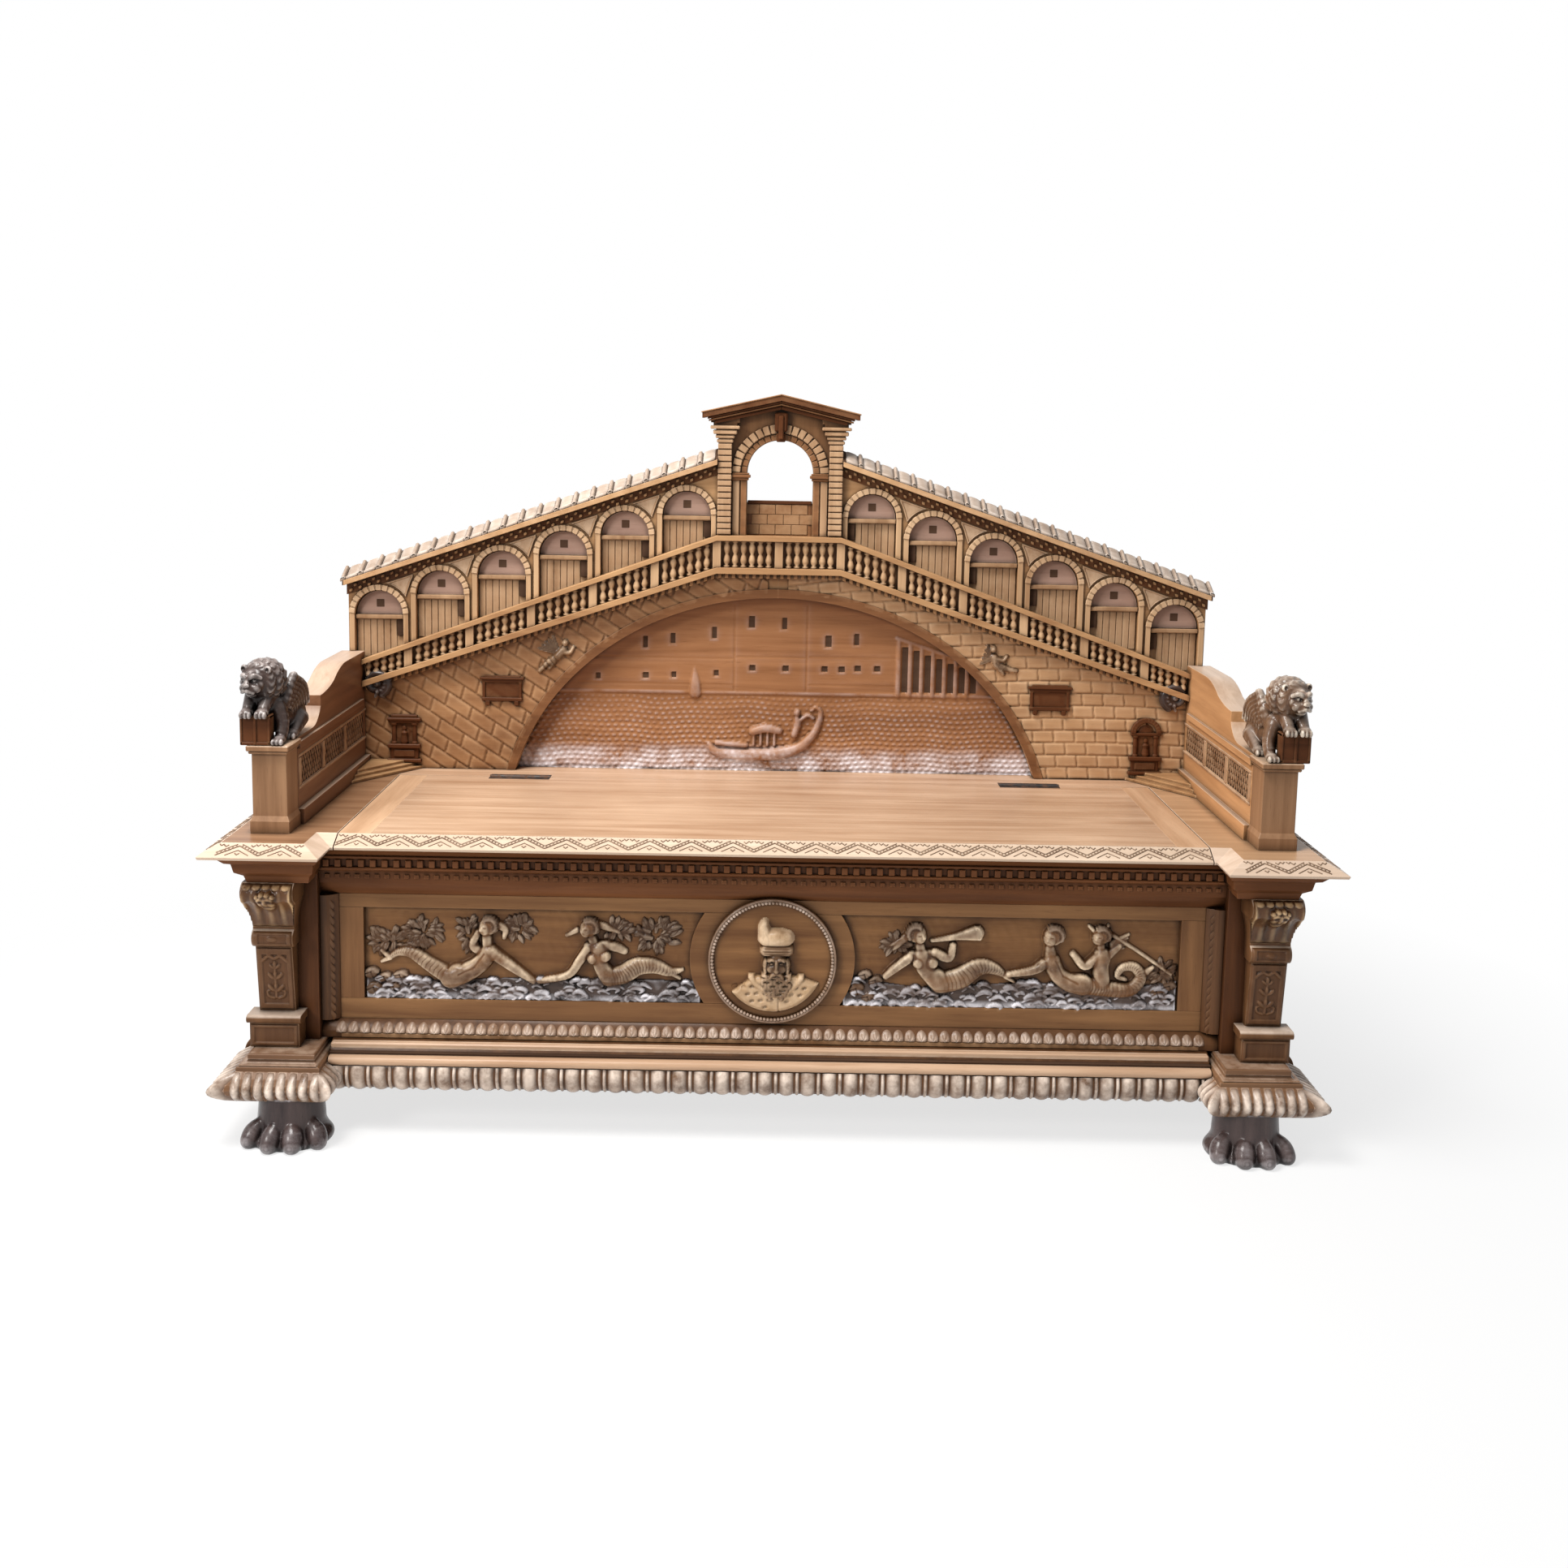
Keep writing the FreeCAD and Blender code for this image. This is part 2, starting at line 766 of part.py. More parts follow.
def end_panel():
    """Raised panel with bevelled margins, held in the end frame's groove."""
    middle = end_panel_x + end_panel_thickness / 2
    half = tongue_thickness / 2
    tongue = end_opening(panel_tongue, middle - half, middle + half)
    y0 = pier_rear_y + end_stile_width + joint_fit
    y1 = rear_post_y - end_stile_width - joint_fit
    z0 = end_z0 + end_rail_height + joint_fit
    z1 = end_z1 - end_rail_height - joint_fit
    f = end_panel_field
    face = end_panel_x + end_panel_thickness
    margin = outline("side", face - end_panel_bevel, (y0, z0), (y1, z0), (y1, z1), (y0, z1))
    field = outline("side", face, (y0 + f, z0 + f), (y1 - f, z0 + f), (y1 - f, z1 - f), (y0 + f, z1 - f))
    raised = Part.makeLoft([margin, field], True, True)
    board = box(end_panel_x, face - end_panel_bevel, y0, y1, z0, z1)
    return board.fuse([raised, tongue]).removeSplitter()


def rear_post():
    """Square post at a rear corner of the chest."""
    return box(rear_post_x, pier_outer_x, rear_post_y, backing_front_y, base_top, cornice_bottom)


def rear_top_rail():
    """Rail under the fixed ledge behind the lid."""
    return box(-pier_inner_x, pier_inner_x, backing_front_y - rear_rail_depth, backing_front_y,
               cornice_bottom, seat_under)


def chest_back():
    """Back board of the chest."""
    return box(-pier_outer_x, pier_outer_x, backing_front_y, rear_y, foot_height, backing_bottom)


floor_z = foot_height + bearer_height


def chest_floor():
    """Floor boards between the base mouldings."""
    depth = (backing_front_y - pier_rear_y) / floor_board_count
    boards = []
    for k in range(floor_board_count):
        y0 = pier_rear_y + k * depth
        boards.append(box(-rear_post_x, rear_post_x, y0, y0 + depth, floor_z, floor_z + floor_thickness))
    return group(boards)


def floor_bearers():
    """Three battens under the floor, from front to back."""
    bearers = []
    for place in (-2 / 3, 0.0, 2 / 3):
        x = place * pier_inner_x
        bearers.append(box(x - bearer_width / 2, x + bearer_width / 2, pier_rear_y, backing_front_y,
                           foot_height, floor_z))
    return group(bearers)


def lid_ledge():
    """Batten that carries one end of the closed lid."""
    top = seat_under - lid_rest_gap
    return box(pier_inner_x - ledge_width, pier_inner_x, pier_rear_y, backing_front_y - rear_rail_depth,
               top - ledge_height, top)


# Seat, lid and hinges

def seat_end_plan(reach):
    """Level outline of a fixed seat end at a given splay of its edge."""
    inner = seat_inner_x - reach
    outer = seat_outer_x + reach
    front = pedestal_edge_y - reach
    break_y = lid_edge_y - reach
    return ((seat_seam_x, backing_front_y), (seat_seam_x, break_y), (inner, break_y), (inner, front),
            (outer, front), (outer, backing_front_y))


def seat_end():
    """Fixed end of the seat with its splayed edge broken forward over the pedestal."""
    return stack([(seat_under, seat_end_plan(edge_splay - edge_lip_inset)),
                  (seat_height - edge_drop, seat_end_plan(edge_splay)),
                  (seat_height, seat_end_plan(0.0))])


def hinge_places():
    """Middle of each hinge along the seat."""
    return (-hinge_centre, hinge_centre)


def hinge_cuts(side):
    """Recesses in the wood for the leaves, knuckles and screws on one side of the hinge line."""
    near = knuckle_radius + knuckle_relief
    cuts = []
    for x in hinge_places():
        x0 = x - hinge_length / 2
        start = Vector(x0 - joint_fit, hinge_y, seat_height)
        cuts.append(Part.makeCylinder(near, hinge_length + 2 * joint_fit, start, along_x))
        y0, y1 = sorted((hinge_y, hinge_y + side * (near + leaf_plate_width + joint_fit)))
        cuts.append(box(x0 - joint_fit, x0 + hinge_length + joint_fit, y0, y1,
                        seat_height - leaf_plate_thickness, seat_height + joint_fit))
        for place in screw_places(x, side):
            cuts.append(screw(place, joint_fit / 2))
    return cuts


def screw_places(x, side):
    """Heads of the screws in one leaf."""
    y = hinge_y + side * (knuckle_radius + knuckle_relief + leaf_plate_width / 2)
    pitch = hinge_length / screw_count
    return [Vector(x + (k - (screw_count - 1) / 2) * pitch, y, seat_height) for k in range(screw_count)]


def screw(place, clearance):
    """Countersunk screw, or its hole when given a clearance."""
    head = screw_head_radius + clearance
    shank = screw_shank_radius + clearance
    return turned(place, along_z, carve_sides,
                  ((0.0, head), (-screw_head_depth, shank), (-screw_length - clearance, shank)))


def hinge_leaf(x, side):
    """Leaf plate with its share of the knuckles; side is -1 for the lid and +1 for the ledge."""
    x0 = x - hinge_length / 2
    near = knuckle_radius + knuckle_relief
    y0, y1 = sorted((hinge_y + side * near, hinge_y + side * (near + leaf_plate_width)))
    z0 = seat_height - leaf_plate_thickness
    leaf = box(x0, x0 + hinge_length, y0, y1, z0, seat_height)
    pitch = hinge_length / knuckle_count
    first = 0 if side > 0 else 1
    for k in range(first, knuckle_count, 2):
        k0 = x0 + k * pitch + knuckle_gap / 2
        length = pitch - knuckle_gap
        barrel = Part.makeCylinder(knuckle_radius, length, Vector(k0, hinge_y, seat_height), along_x)
        w0, w1 = sorted((hinge_y, hinge_y + side * near))
        leaf = leaf.fuse([barrel, box(k0, k0 + length, w0, w1, z0, seat_height)])
    bore = Part.makeCylinder(pin_radius + pin_fit, hinge_length, Vector(x0, hinge_y, seat_height), along_x)
    leaf = leaf.cut(bore)
    return leaf.cut([screw(place, joint_fit / 2) for place in screw_places(x, side)])


def hinge_leaves(side):
    """Leaves of both hinges on one side of the hinge line."""
    return group([hinge_leaf(x, side) for x in hinge_places()])


def hinge_screws(side):
    """Screws of both hinges on one side of the hinge line."""
    return group([screw(place, 0.0) for x in hinge_places() for place in screw_places(x, side)])


def hinge_pins():
    """Pins through the knuckles."""
    pins = []
    for x in hinge_places():
        start = Vector(x - hinge_length / 2, hinge_y, seat_height)
        pins.append(Part.makeCylinder(pin_radius, hinge_length, start, along_x))
    return group(pins)


lid_rear_y = hinge_y - hinge_seam / 2
lid_field_half = lid_half - cleat_width


def lid_tongue(clearance):
    """Tongue at the right end of the lid boards, or its groove when given a clearance."""
    middle = (seat_under + seat_height) / 2
    half = cleat_tongue_thickness / 2 + clearance
    return box(lid_field_half, lid_field_half + cleat_tongue + clearance, lid_edge_y, lid_rear_y,
               middle - half, middle + half)


def lid_boards():
    """Boards of the lid, tongued into the cleats."""
    cuts = hinge_cuts(-1)
    field = box(-lid_field_half, lid_field_half, lid_edge_y, lid_rear_y, seat_under, seat_height)
    tongue = lid_tongue(0.0)
    field = field.fuse([tongue, mirrored(tongue)])
    width = (lid_rear_y - lid_edge_y) / lid_board_count
    boards = []
    for k in range(lid_board_count):
        y0 = lid_edge_y + k * width
        strip = box(-lid_half, lid_half, y0, y0 + width, seat_under, seat_height)
        board = field.common(strip)
        if k == lid_board_count - 1:
            board = board.cut(cuts)
        boards.append(board)
    return group(boards)


def lid_cleat():
    """Cross-grained end of the lid."""
    cleat = box(lid_field_half, lid_half, lid_edge_y, lid_rear_y, seat_under, seat_height)
    return cleat.cut(lid_tongue(joint_fit))


def lid_edge_moulding():
    """Splayed moulding along the front of the lid."""
    nose = lid_edge_y - edge_splay
    return prism("side", -lid_half, lid_half, (lid_edge_y, seat_under), (nose + edge_lip_inset, seat_under),
                 (nose, seat_height - edge_drop), (lid_edge_y, seat_height))


def seat_back_rail():
    """Fixed ledge behind the lid."""
    ledge = box(-seat_seam_x, seat_seam_x, hinge_y + hinge_seam / 2, backing_front_y, seat_under, seat_height)
    return ledge.cut(hinge_cuts(1))


def corner_steps():
    """Low flight of steps in the corner between arm and wall."""
    x1 = arm_inner_x - arm_plinth_reach
    y1 = wall_front_y
    flight = []
    for k in range(step_count):
        run = step_run - k * step_tread
        rise = step_rise_back * run / step_run
        z0 = seat_height + k * step_height
        flight.append(prism("plan", z0, z0 + step_height, (x1, y1), (x1 - run, y1), (x1, y1 - rise)))
    return flight[0].fuse(flight[1:]).removeSplitter()


# Arms and lions

def arm_post():
    """Square post at the front of an arm, with a plinth and a cap."""
    half = post_width / 2
    top = arm_low_z

    def plan(lip):
        return ((post_x - half - lip, post_front_y - lip), (post_x + half + lip, post_front_y - lip),
                (post_x + half + lip, post_rear_y), (post_x - half - lip, post_rear_y))

    return stack([(seat_height, plan(post_lip)), (seat_height + post_plinth_height * 0.7, plan(post_lip)),
                  (seat_height + post_plinth_height, plan(0.0)), (top - post_cap_height, plan(0.0)),
                  (top - post_cap_height * 0.4, plan(post_lip)), (top, plan(post_lip))])


def arm_board():
    """Arm with a scrolled top edge and three sunk panels on its inner face."""
    low = arm_low_z
    step = seat_height + arm_step_height
    high = seat_height + arm_high_height
    y0 = post_rear_y
    y1 = wall_front_y
    run = y1 - y0
    rise_y = y0 + run * 0.315
    rise = high - step
    drop = step - low
    body = prism("side", arm_inner_x, arm_outer_x, (y0, seat_height), (y1, seat_height), (y1, high),
                 (y0 + run * 0.72, high),
                 arc((y0 + run * 0.6, high - rise * 0.17), (y0 + run * 0.51, step + rise * 0.37)),
                 arc((y0 + run * 0.42, step + rise * 0.11), (rise_y, step)),
                 (rise_y, step - drop * 0.4),
                 arc((y0 + run * 0.265, low + drop * 0.16), (y0 + run * 0.2, low)), (y0, low))
    length = (run - 2 * arm_panel_margin - (arm_panel_count - 1) * arm_panel_bar) / arm_panel_count
    sinks = []
    for k in range(arm_panel_count):
        p0 = y0 + arm_panel_margin + k * (length + arm_panel_bar)
        sinks.append(box(arm_inner_x, arm_inner_x + arm_panel_depth, p0, p0 + length,
                         seat_height + arm_panel_low, seat_height + arm_panel_high))
    body = body.cut(sinks)
    plinth = box(arm_inner_x - arm_plinth_reach, arm_inner_x, y0, y1,
                 seat_height, seat_height + arm_plinth_height)
    bead_z = seat_height + arm_panel_high + arm_panel_margin
    bead = box(arm_inner_x - arm_bead_reach, arm_inner_x, y0, rail_front_y, bead_z, bead_z + arm_bead_height)
    return body.fuse([plinth, bead]).removeSplitter()


def lion_wing(side):
    """Folded wing rising behind the mane on one side of the lion."""
    x = post_x + lion_set_out + side * 0.9 * lion_body_radius
    z = arm_low_z
    y = post_front_y + lion_length * 0.44
    half = wing_thickness / 2
    s = lion_length
    root = z + lion_body_radius
    return prism("side", x - half, x + half, (y - 0.1 * s, root),
                 arc((y - 0.14 * s, z + wing_rise * 0.7), (y + 0.04 * s, z + wing_rise)),
                 arc((y + 0.24 * s, z + wing_rise * 0.69), (y + 0.41 * s, root)))


def lion():
    """Seated winged lion with a book under its forepaws."""
    x = post_x + lion_set_out
    head_x = x + lion_head_turn
    z = arm_low_z
    y0 = post_front_y
    r = lion_body_radius
    hr = lion_head_radius
    head_y = y0 + hr
    head_z = z + lion_head_rise
    rump_y = y0 + lion_length - 1.4 * r
    trunk = swelling((x, (head_y + rump_y) / 2, z + 1.1 * r), along_y, lion_length * 0.8, 2.2 * r)
    haunch = swelling((x, rump_y, z + 0.95 * r), along_y, 2.6 * r, 2.4 * r)
    mane = swelling((x + lion_head_turn / 2, head_y + 0.35 * r, head_z - hr), along_z, 3.8 * r, 2.4 * r)
    head = swelling((head_x, head_y, head_z), along_z, 2.06 * hr, 2.0 * hr)
    muzzle = swelling((head_x, y0 + 0.3 * hr, head_z - 0.24 * hr), along_y, 0.94 * hr, 0.86 * hr)
    book = box(x - book_width / 2, x + book_width / 2, y0, y0 + book_thickness, z, z + book_height)
    paws = swelling((x, y0 + 0.95 * book_thickness, z + book_height), along_x, 0.92 * book_width,
                    0.8 * book_thickness)
    whole = trunk.fuse(haunch)
    for form in (mane, head, muzzle, book, paws, lion_wing(-1), lion_wing(1)):
        whole = whole.fuse(form)
    return whole.common(box(x - 3 * r, x + 3 * r, y0 - hr, y0 + 2 * lion_length, z, z + 2 * lion_length))


# Bridge back

def arch_edge(grow):
    """Right half of the bridge arch as a smooth curve, from the seat up to the crown."""
    a = arch_half_span + grow
    b = arch_rise + grow
    foot = math.asin((seat_height - arch_centre_z) / b)
    points = []
    steps = 8
    for k in range(steps + 1):
        turn = foot + (math.pi / 2 - foot) * k / steps
        points.append(Vector(a * math.cos(turn), 0, arch_centre_z + b * math.sin(turn)))
    curve = Part.BSplineCurve()
    curve.interpolate(points)
    return curve.toShape(), points[0], points[-1]


def shop_wire(k, grow):
    """Outline of one shop opening, grown outwards."""
    x = shop_x(k)
    half = shop_half + grow
    spring = shop_top(k) - shop_ring_width - shop_half
    foot = foot_z(x) + foot_rail_thickness
    return ((x - half, foot), (x + half, foot), (x + half, spring),
            arc((x, spring + half), (x - half, spring)))


def bridge_wall():
    """Right half of the wall: spandrel below, pierced arcade above."""
    curve, foot, crown = arch_edge(0.0)
    corners = [foot, Vector(wall_half, 0, seat_height), Vector(wall_half, 0, eave_z(wall_half)),
               Vector(portico_half, 0, eave_z(portico_half)), Vector(portico_half, 0, portico_foot_z),
               Vector(0, 0, portico_foot_z), crown]
    edges = [Part.makeLine(a, b) for a, b in zip(corners, corners[1:])]
    wires = [Part.Wire(edges + [curve])]
    wires += [outline("front", 0.0, *shop_wire(k, 0.0)) for k in range(shops_per_side)]
    face = Part.makeFace(wires, "Part::FaceMakerBullseye")
    wall = face.extrude(Vector(0, wall_thickness, 0))
    wall.translate(Vector(0, wall_front_y, 0))
    return wall


def archivolt():
    """Smooth raised band round one half of the arch."""
    inner, foot, crown = arch_edge(0.0)
    outer, far_foot, far_crown = arch_edge(archivolt_width)
    wire = Part.Wire([inner, Part.makeLine(crown, far_crown), outer, Part.makeLine(far_foot, foot)])
    band = Part.Face(wire).extrude(Vector(0, archivolt_reach, 0))
    band.translate(Vector(0, wall_front_y - archivolt_reach, 0))
    return band


def bridge_backing():
    """Board behind the whole bridge; its middle shows under the arch as the carved scene."""
    w = wall_half
    p = portico_half
    crest = seat_height + portico_parapet
    return prism("front", backing_front_y, rear_y, (-w, backing_bottom), (w, backing_bottom), (w, eave_z(w)),
                 (p, eave_z(p)), (p, crest), (-p, crest), (-p, eave_z(p)), (-w, eave_z(w)))


def raking_band(height, low, high):
    """Rail that is level in the middle and falls to both arms, between two offsets from a height line."""
    e = arm_inner_x
    p = portico_half
    return prism("front", rail_front_y, wall_front_y, (-e, height(e) + low), (-p, height(p) + low),
                 (p, height(p) + low), (e, height(e) + low), (e, height(e) + high), (p, height(p) + high),
                 (-p, height(p) + high), (-e, height(e) + high))


def foot_rail():
    """Ledge that the balusters stand on."""
    return raking_band(foot_z, 0.0, foot_rail_thickness)


def handrail():
    """Rail along the top of the balustrade."""
    return raking_band(hand_z, -handrail_thickness, 0.0)


def rail_gap(x):
    """Foot and head of a baluster at one place."""
    return foot_z(x) + foot_rail_thickness, hand_z(x) - handrail_thickness


def post_line():
    """Places of the balustrade posts on the right side."""
    return [portico_half + k * bay_pitch for k in range(shops_per_side)]


def balustrade_post(x):
    """Square post between two bays, its ends cut to the rake of the rails."""
    h = post_side / 2
    y = (rail_front_y + wall_front_y) / 2
    lo0, hi0 = rail_gap(x - h)
    lo1, hi1 = rail_gap(x + h)
    lo, hi = rail_gap(x)
    return prism("front", y - h, y + h, (x - h, lo0), (x, lo), (x + h, lo1), (x + h, hi1), (x, hi),
                 (x - h, hi0))


def balustrade_posts():
    """All posts of the balustrade."""
    posts = [balustrade_post(0.0)]
    for x in post_line():
        posts += [balustrade_post(x), balustrade_post(-x)]
    return group(posts)


def baluster(x):
    """Vase-shaped baluster whose ends follow the rake of the rails."""
    y = (rail_front_y + wall_front_y) / 2
    wires = []
    sections = ((0.0, baluster_side), (0.36, baluster_belly), (0.64, baluster_waist), (1.0, baluster_head))
    for rise, width in sections:
        half = width / 2
        ring = []
        for dx, dy in ((-half, -half), (half, -half), (half, half), (-half, half)):
            lo, hi = rail_gap(x + dx)
            ring.append(Vector(x + dx, y + dy, lo + (hi - lo) * rise))
        wires.append(Part.makePolygon(ring + ring[:1]))
    return Part.makeLoft(wires, True, True)


def balusters():
    """Every baluster between the posts."""
    places = []
    stops = [0.0] + post_line() + [arm_inner_x + post_side / 2]
    for left, right in zip(stops, stops[1:]):
        x0 = left + post_side / 2
        x1 = right - post_side / 2
        count = max(1, round(balusters_per_bay * (x1 - x0) / (bay_pitch - post_side)))
        pitch = (x1 - x0) / (count + 1)
        places += [x0 + pitch * (k + 1) for k in range(count)]
    return group([baluster(side * x) for x in places for side in (-1, 1)])


def arcade_arch(k):
    """Raised ring and jambs round one shop opening."""
    y0 = wall_front_y - shop_ring_reach
    ring = prism("front", y0, wall_front_y, *shop_wire(k, shop_ring_width))
    ring = ring.cut(prism("front", y0, wall_front_y, *shop_wire(k, 0.0)))
    near = shop_x(k) - bay_pitch / 2
    far = shop_x(k) + bay_pitch / 2
    below = prism("front", y0, wall_front_y, (near, seat_height), (far, seat_height), (far, hand_z(far)),
                  (near, hand_z(near)))
    arm = box(arm_inner_x, arm_outer_x, y0, wall_front_y, seat_height, seat_height + arm_high_height)
    return ring.cut([below, arm])


def arcade_door(k):
    """Board set in one shop opening: lunette with a small window, lintel and doors below."""
    x = shop_x(k)
    front = wall_front_y + shop_door_recess
    board = prism("front", front, backing_front_y, *shop_wire(k, -joint_fit))
    lintel_top = shop_top(k) - shop_lintel_drop
    half = shop_half - joint_fit
    lintel = box(x - half, x + half, wall_front_y + shop_door_recess / 3, front,
                 lintel_top - shop_lintel_height, lintel_top)
    w = shop_window_side / 2
    z = lintel_top + shop_half * 0.42
    window = box(x - w, x + w, front, front + shop_window_depth, z - w, z + w)
    return board.fuse(lintel).cut(window).removeSplitter()


def arcade(piece):
    """One piece for every shop on both sides."""
    solids = []
    for k in range(shops_per_side):
        solid = piece(k)
        solids += [solid, mirrored(solid)]
    return group(solids)


def roof():
    """Raking roof with a bevelled tile face, from the portico down to the wall's end."""
    x = portico_half
    z = eave_z(x)
    front = wall_front_y - roof_reach
    section = outline("side", x, (rear_y, z), (front, z), (front, z + roof_lip),
                      (front + roof_bevel, z + roof_height), (rear_y, z + roof_height))
    run = wall_half + roof_overhang - x
    return Part.Face(section).extrude(Vector(run, 0, -eave_slope * run))


def gable_z(x):
    """Underside of the pediment over a place on the portico."""
    return portico_eave_z + portico_gable_rise * (1.0 - abs(x) / portico_half)


def capital_outline(side):
    """Pilaster of the portico with its stepped capital, seen from the front."""
    inner = portico_half - pilaster_width
    foot = seat_height + handrail_height
    z = gable_z(portico_half + capital_steps * capital_step_reach) - capital_steps * capital_step_height
    points = [(inner, foot), (portico_half, foot), (portico_half, z)]
    for k in range(capital_steps):
        reach = (k + 1) * capital_step_reach
        points += [(portico_half + reach, z), (portico_half + reach, z + capital_step_height)]
        z += capital_step_height
    for k in reversed(range(capital_steps)):
        reach = (k + 1) * capital_step_reach
        points += [(inner - reach, z), (inner - reach, z - capital_step_height)]
        z -= capital_step_height
    points.append((inner, z))
    return [(side * px, pz) for px, pz in points]


def portico():
    """Gabled front over the crown, open through its arch, with a pilaster on each side."""
    p = portico_half
    w = portico_opening / 2
    spring = seat_height + portico_arch_top - w
    front = prism("front", wall_front_y, backing_front_y, (-p, portico_foot_z), (p, portico_foot_z),
                  (p, portico_eave_z), (0.0, portico_eave_z + portico_gable_rise), (-p, portico_eave_z))
    way = prism("front", wall_front_y, backing_front_y, (-w, portico_foot_z), (w, portico_foot_z),
                (w, spring), arc((0.0, spring + w), (-w, spring)))
    front = front.cut(way)
    y0 = wall_front_y - pilaster_reach
    pilasters = [prism("front", y0, wall_front_y, *capital_outline(side)) for side in (-1, 1)]
    return front.fuse(pilasters).removeSplitter()


def pediment():
    """Raking cornice over the portico."""
    tip = portico_half + pediment_overhang
    apex = gable_z(0.0)
    low = gable_z(tip)
    t = pediment_thickness
    return prism("front", wall_front_y - pediment_reach, backing_front_y, (-tip, low), (0.0, apex),
                 (tip, low), (tip, low + t), (0.0, apex + t), (-tip, low + t))


def tablet():
    """Bare tablet on the spandrel, with a sunk field."""
    y0 = wall_front_y - plaque_reach
    z = seat_height + tablet_rise
    w = tablet_width / 2
    h = tablet_height / 2
    rim = min(w, h) / 5
    plate = box(tablet_x - w, tablet_x + w, y0, wall_front_y, z - h, z + h)
    return plate.cut(box(tablet_x - w + rim, tablet_x + w - rim, y0, y0 + plaque_reach / 3,
                         z - h + rim, z + h - rim))


def shrine():
    """Small wall niche: base, two columns, a back and a rounded hood."""
    y0 = wall_front_y - 2 * plaque_reach
    z0 = seat_height + shrine_rise
    z1 = z0 + shrine_base_height
    z2 = z1 + shrine_opening_height
    w = shrine_width / 2
    body = prism("front", y0, wall_front_y, (shrine_x - w, z0), (shrine_x + w, z0), (shrine_x + w, z2),
                 arc((shrine_x, z2 + shrine_hood_height), (shrine_x - w, z2)))
    inner = w - shrine_column
    niche = prism("front", y0, y0 + 1.5 * plaque_reach, (shrine_x - inner, z1), (shrine_x + inner, z1),
                  (shrine_x + inner, z2 - inner), arc((shrine_x, z2), (shrine_x - inner, z2 - inner)))
    return body.cut(niche)


def wall_plaques():
    """Tablets and shrines on both spandrels."""
    tablets = tablet()
    shrines = shrine()
    return group([tablets, mirrored(tablets), shrines, mirrored(shrines)])


def left_and_right(name, solid):
    """Two nodes for a piece and its twin; the sitter's left is the right of the front view."""
    return {name + "_right": solid, name + "_left": mirrored(solid)}


def nodes():
    """Every named piece of the settle."""
    pieces = {}
    pieces.update(left_and_right("foot_front", paw_foot()))
    pieces["rear_feet"] = both(rear_foot())
    pieces["pedestal_bases"] = both(pedestal_base())
    pieces["piers"] = both(pier())
    pieces.update(left_and_right("console", console()))
    pieces["base_moulding_front"] = base_moulding_front()
    pieces["base_moulding_ends"] = both(base_moulding_end())
    pieces["front_top_rail"] = front_rail(panel_top, front_cornice_bottom, top_tenon_z)
    pieces["front_bottom_rail"] = front_rail(base_top, panel_bottom, bottom_tenon_z)
    pieces["front_stiles"] = both(front_stile())
    pieces["front_centre_block"] = front_centre_block()
    pieces.update(left_and_right("relief_panel", relief_panel()))
    pieces["medallion"] = medallion()
    pieces["medallion_ring"] = medallion_ring()
    pieces["leaf_moulding"] = leaf_moulding()
    pieces["dentil_cornice"] = dentil_cornice()
    pieces["end_cornices"] = both(end_cornice())
    pieces["end_frames"] = both(end_frame())
    pieces["end_panels"] = both(end_panel())
    pieces["rear_posts"] = both(rear_post())
    pieces["rear_top_rail"] = rear_top_rail()
    pieces["chest_back"] = chest_back()
    pieces["chest_floor"] = chest_floor()
    pieces["floor_bearers"] = floor_bearers()
    pieces["lid_ledges"] = both(lid_ledge())
    pieces.update(left_and_right("seat_end", seat_end()))
    pieces["seat_back_rail"] = seat_back_rail()
    pieces["corner_steps"] = both(corner_steps())
    pieces["lid_boards"] = lid_boards()
    pieces["lid_cleats"] = both(lid_cleat())
    pieces["lid_edge_moulding"] = lid_edge_moulding()
    pieces["hinge_leaves_lid"] = hinge_leaves(-1)
    pieces["hinge_leaves_fixed"] = hinge_leaves(1)
    pieces["hinge_screws_lid"] = hinge_screws(-1)
    pieces["hinge_screws_fixed"] = hinge_screws(1)
    pieces["hinge_pins"] = hinge_pins()
    pieces["arm_posts"] = both(arm_post())
    pieces.update(left_and_right("arm_board", arm_board()))
    pieces.update(left_and_right("lion", lion()))
    pieces["bridge_backing"] = bridge_backing()
    pieces.update(left_and_right("bridge_wall", bridge_wall()))
    pieces["archivolt"] = both(archivolt())
    pieces["foot_rail"] = foot_rail()
    pieces["handrail"] = handrail()
    pieces["balustrade_posts"] = balustrade_posts()
    pieces["balusters"] = balusters()
    pieces["arcade_arches"] = arcade(arcade_arch)
    pieces["arcade_doors"] = arcade(arcade_door)
    pieces["roofs"] = both(roof())
    pieces["portico"] = portico()
    pieces["pediment"] = pediment()
    pieces["wall_plaques"] = wall_plaques()
    return pieces


os.makedirs("parts", exist_ok=True)
for name, shape in nodes().items():
    shape.exportStep("parts/" + name + ".step")
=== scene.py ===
"""Finish and carving of the hall settle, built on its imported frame.

Lengths are millimetres, save for the camera, the lamps and the finishes, which are in metres.
"""
import bmesh
import bpy
import math
import numpy as np
from mathutils import Matrix, Vector
from mathutils.bvhtree import BVHTree


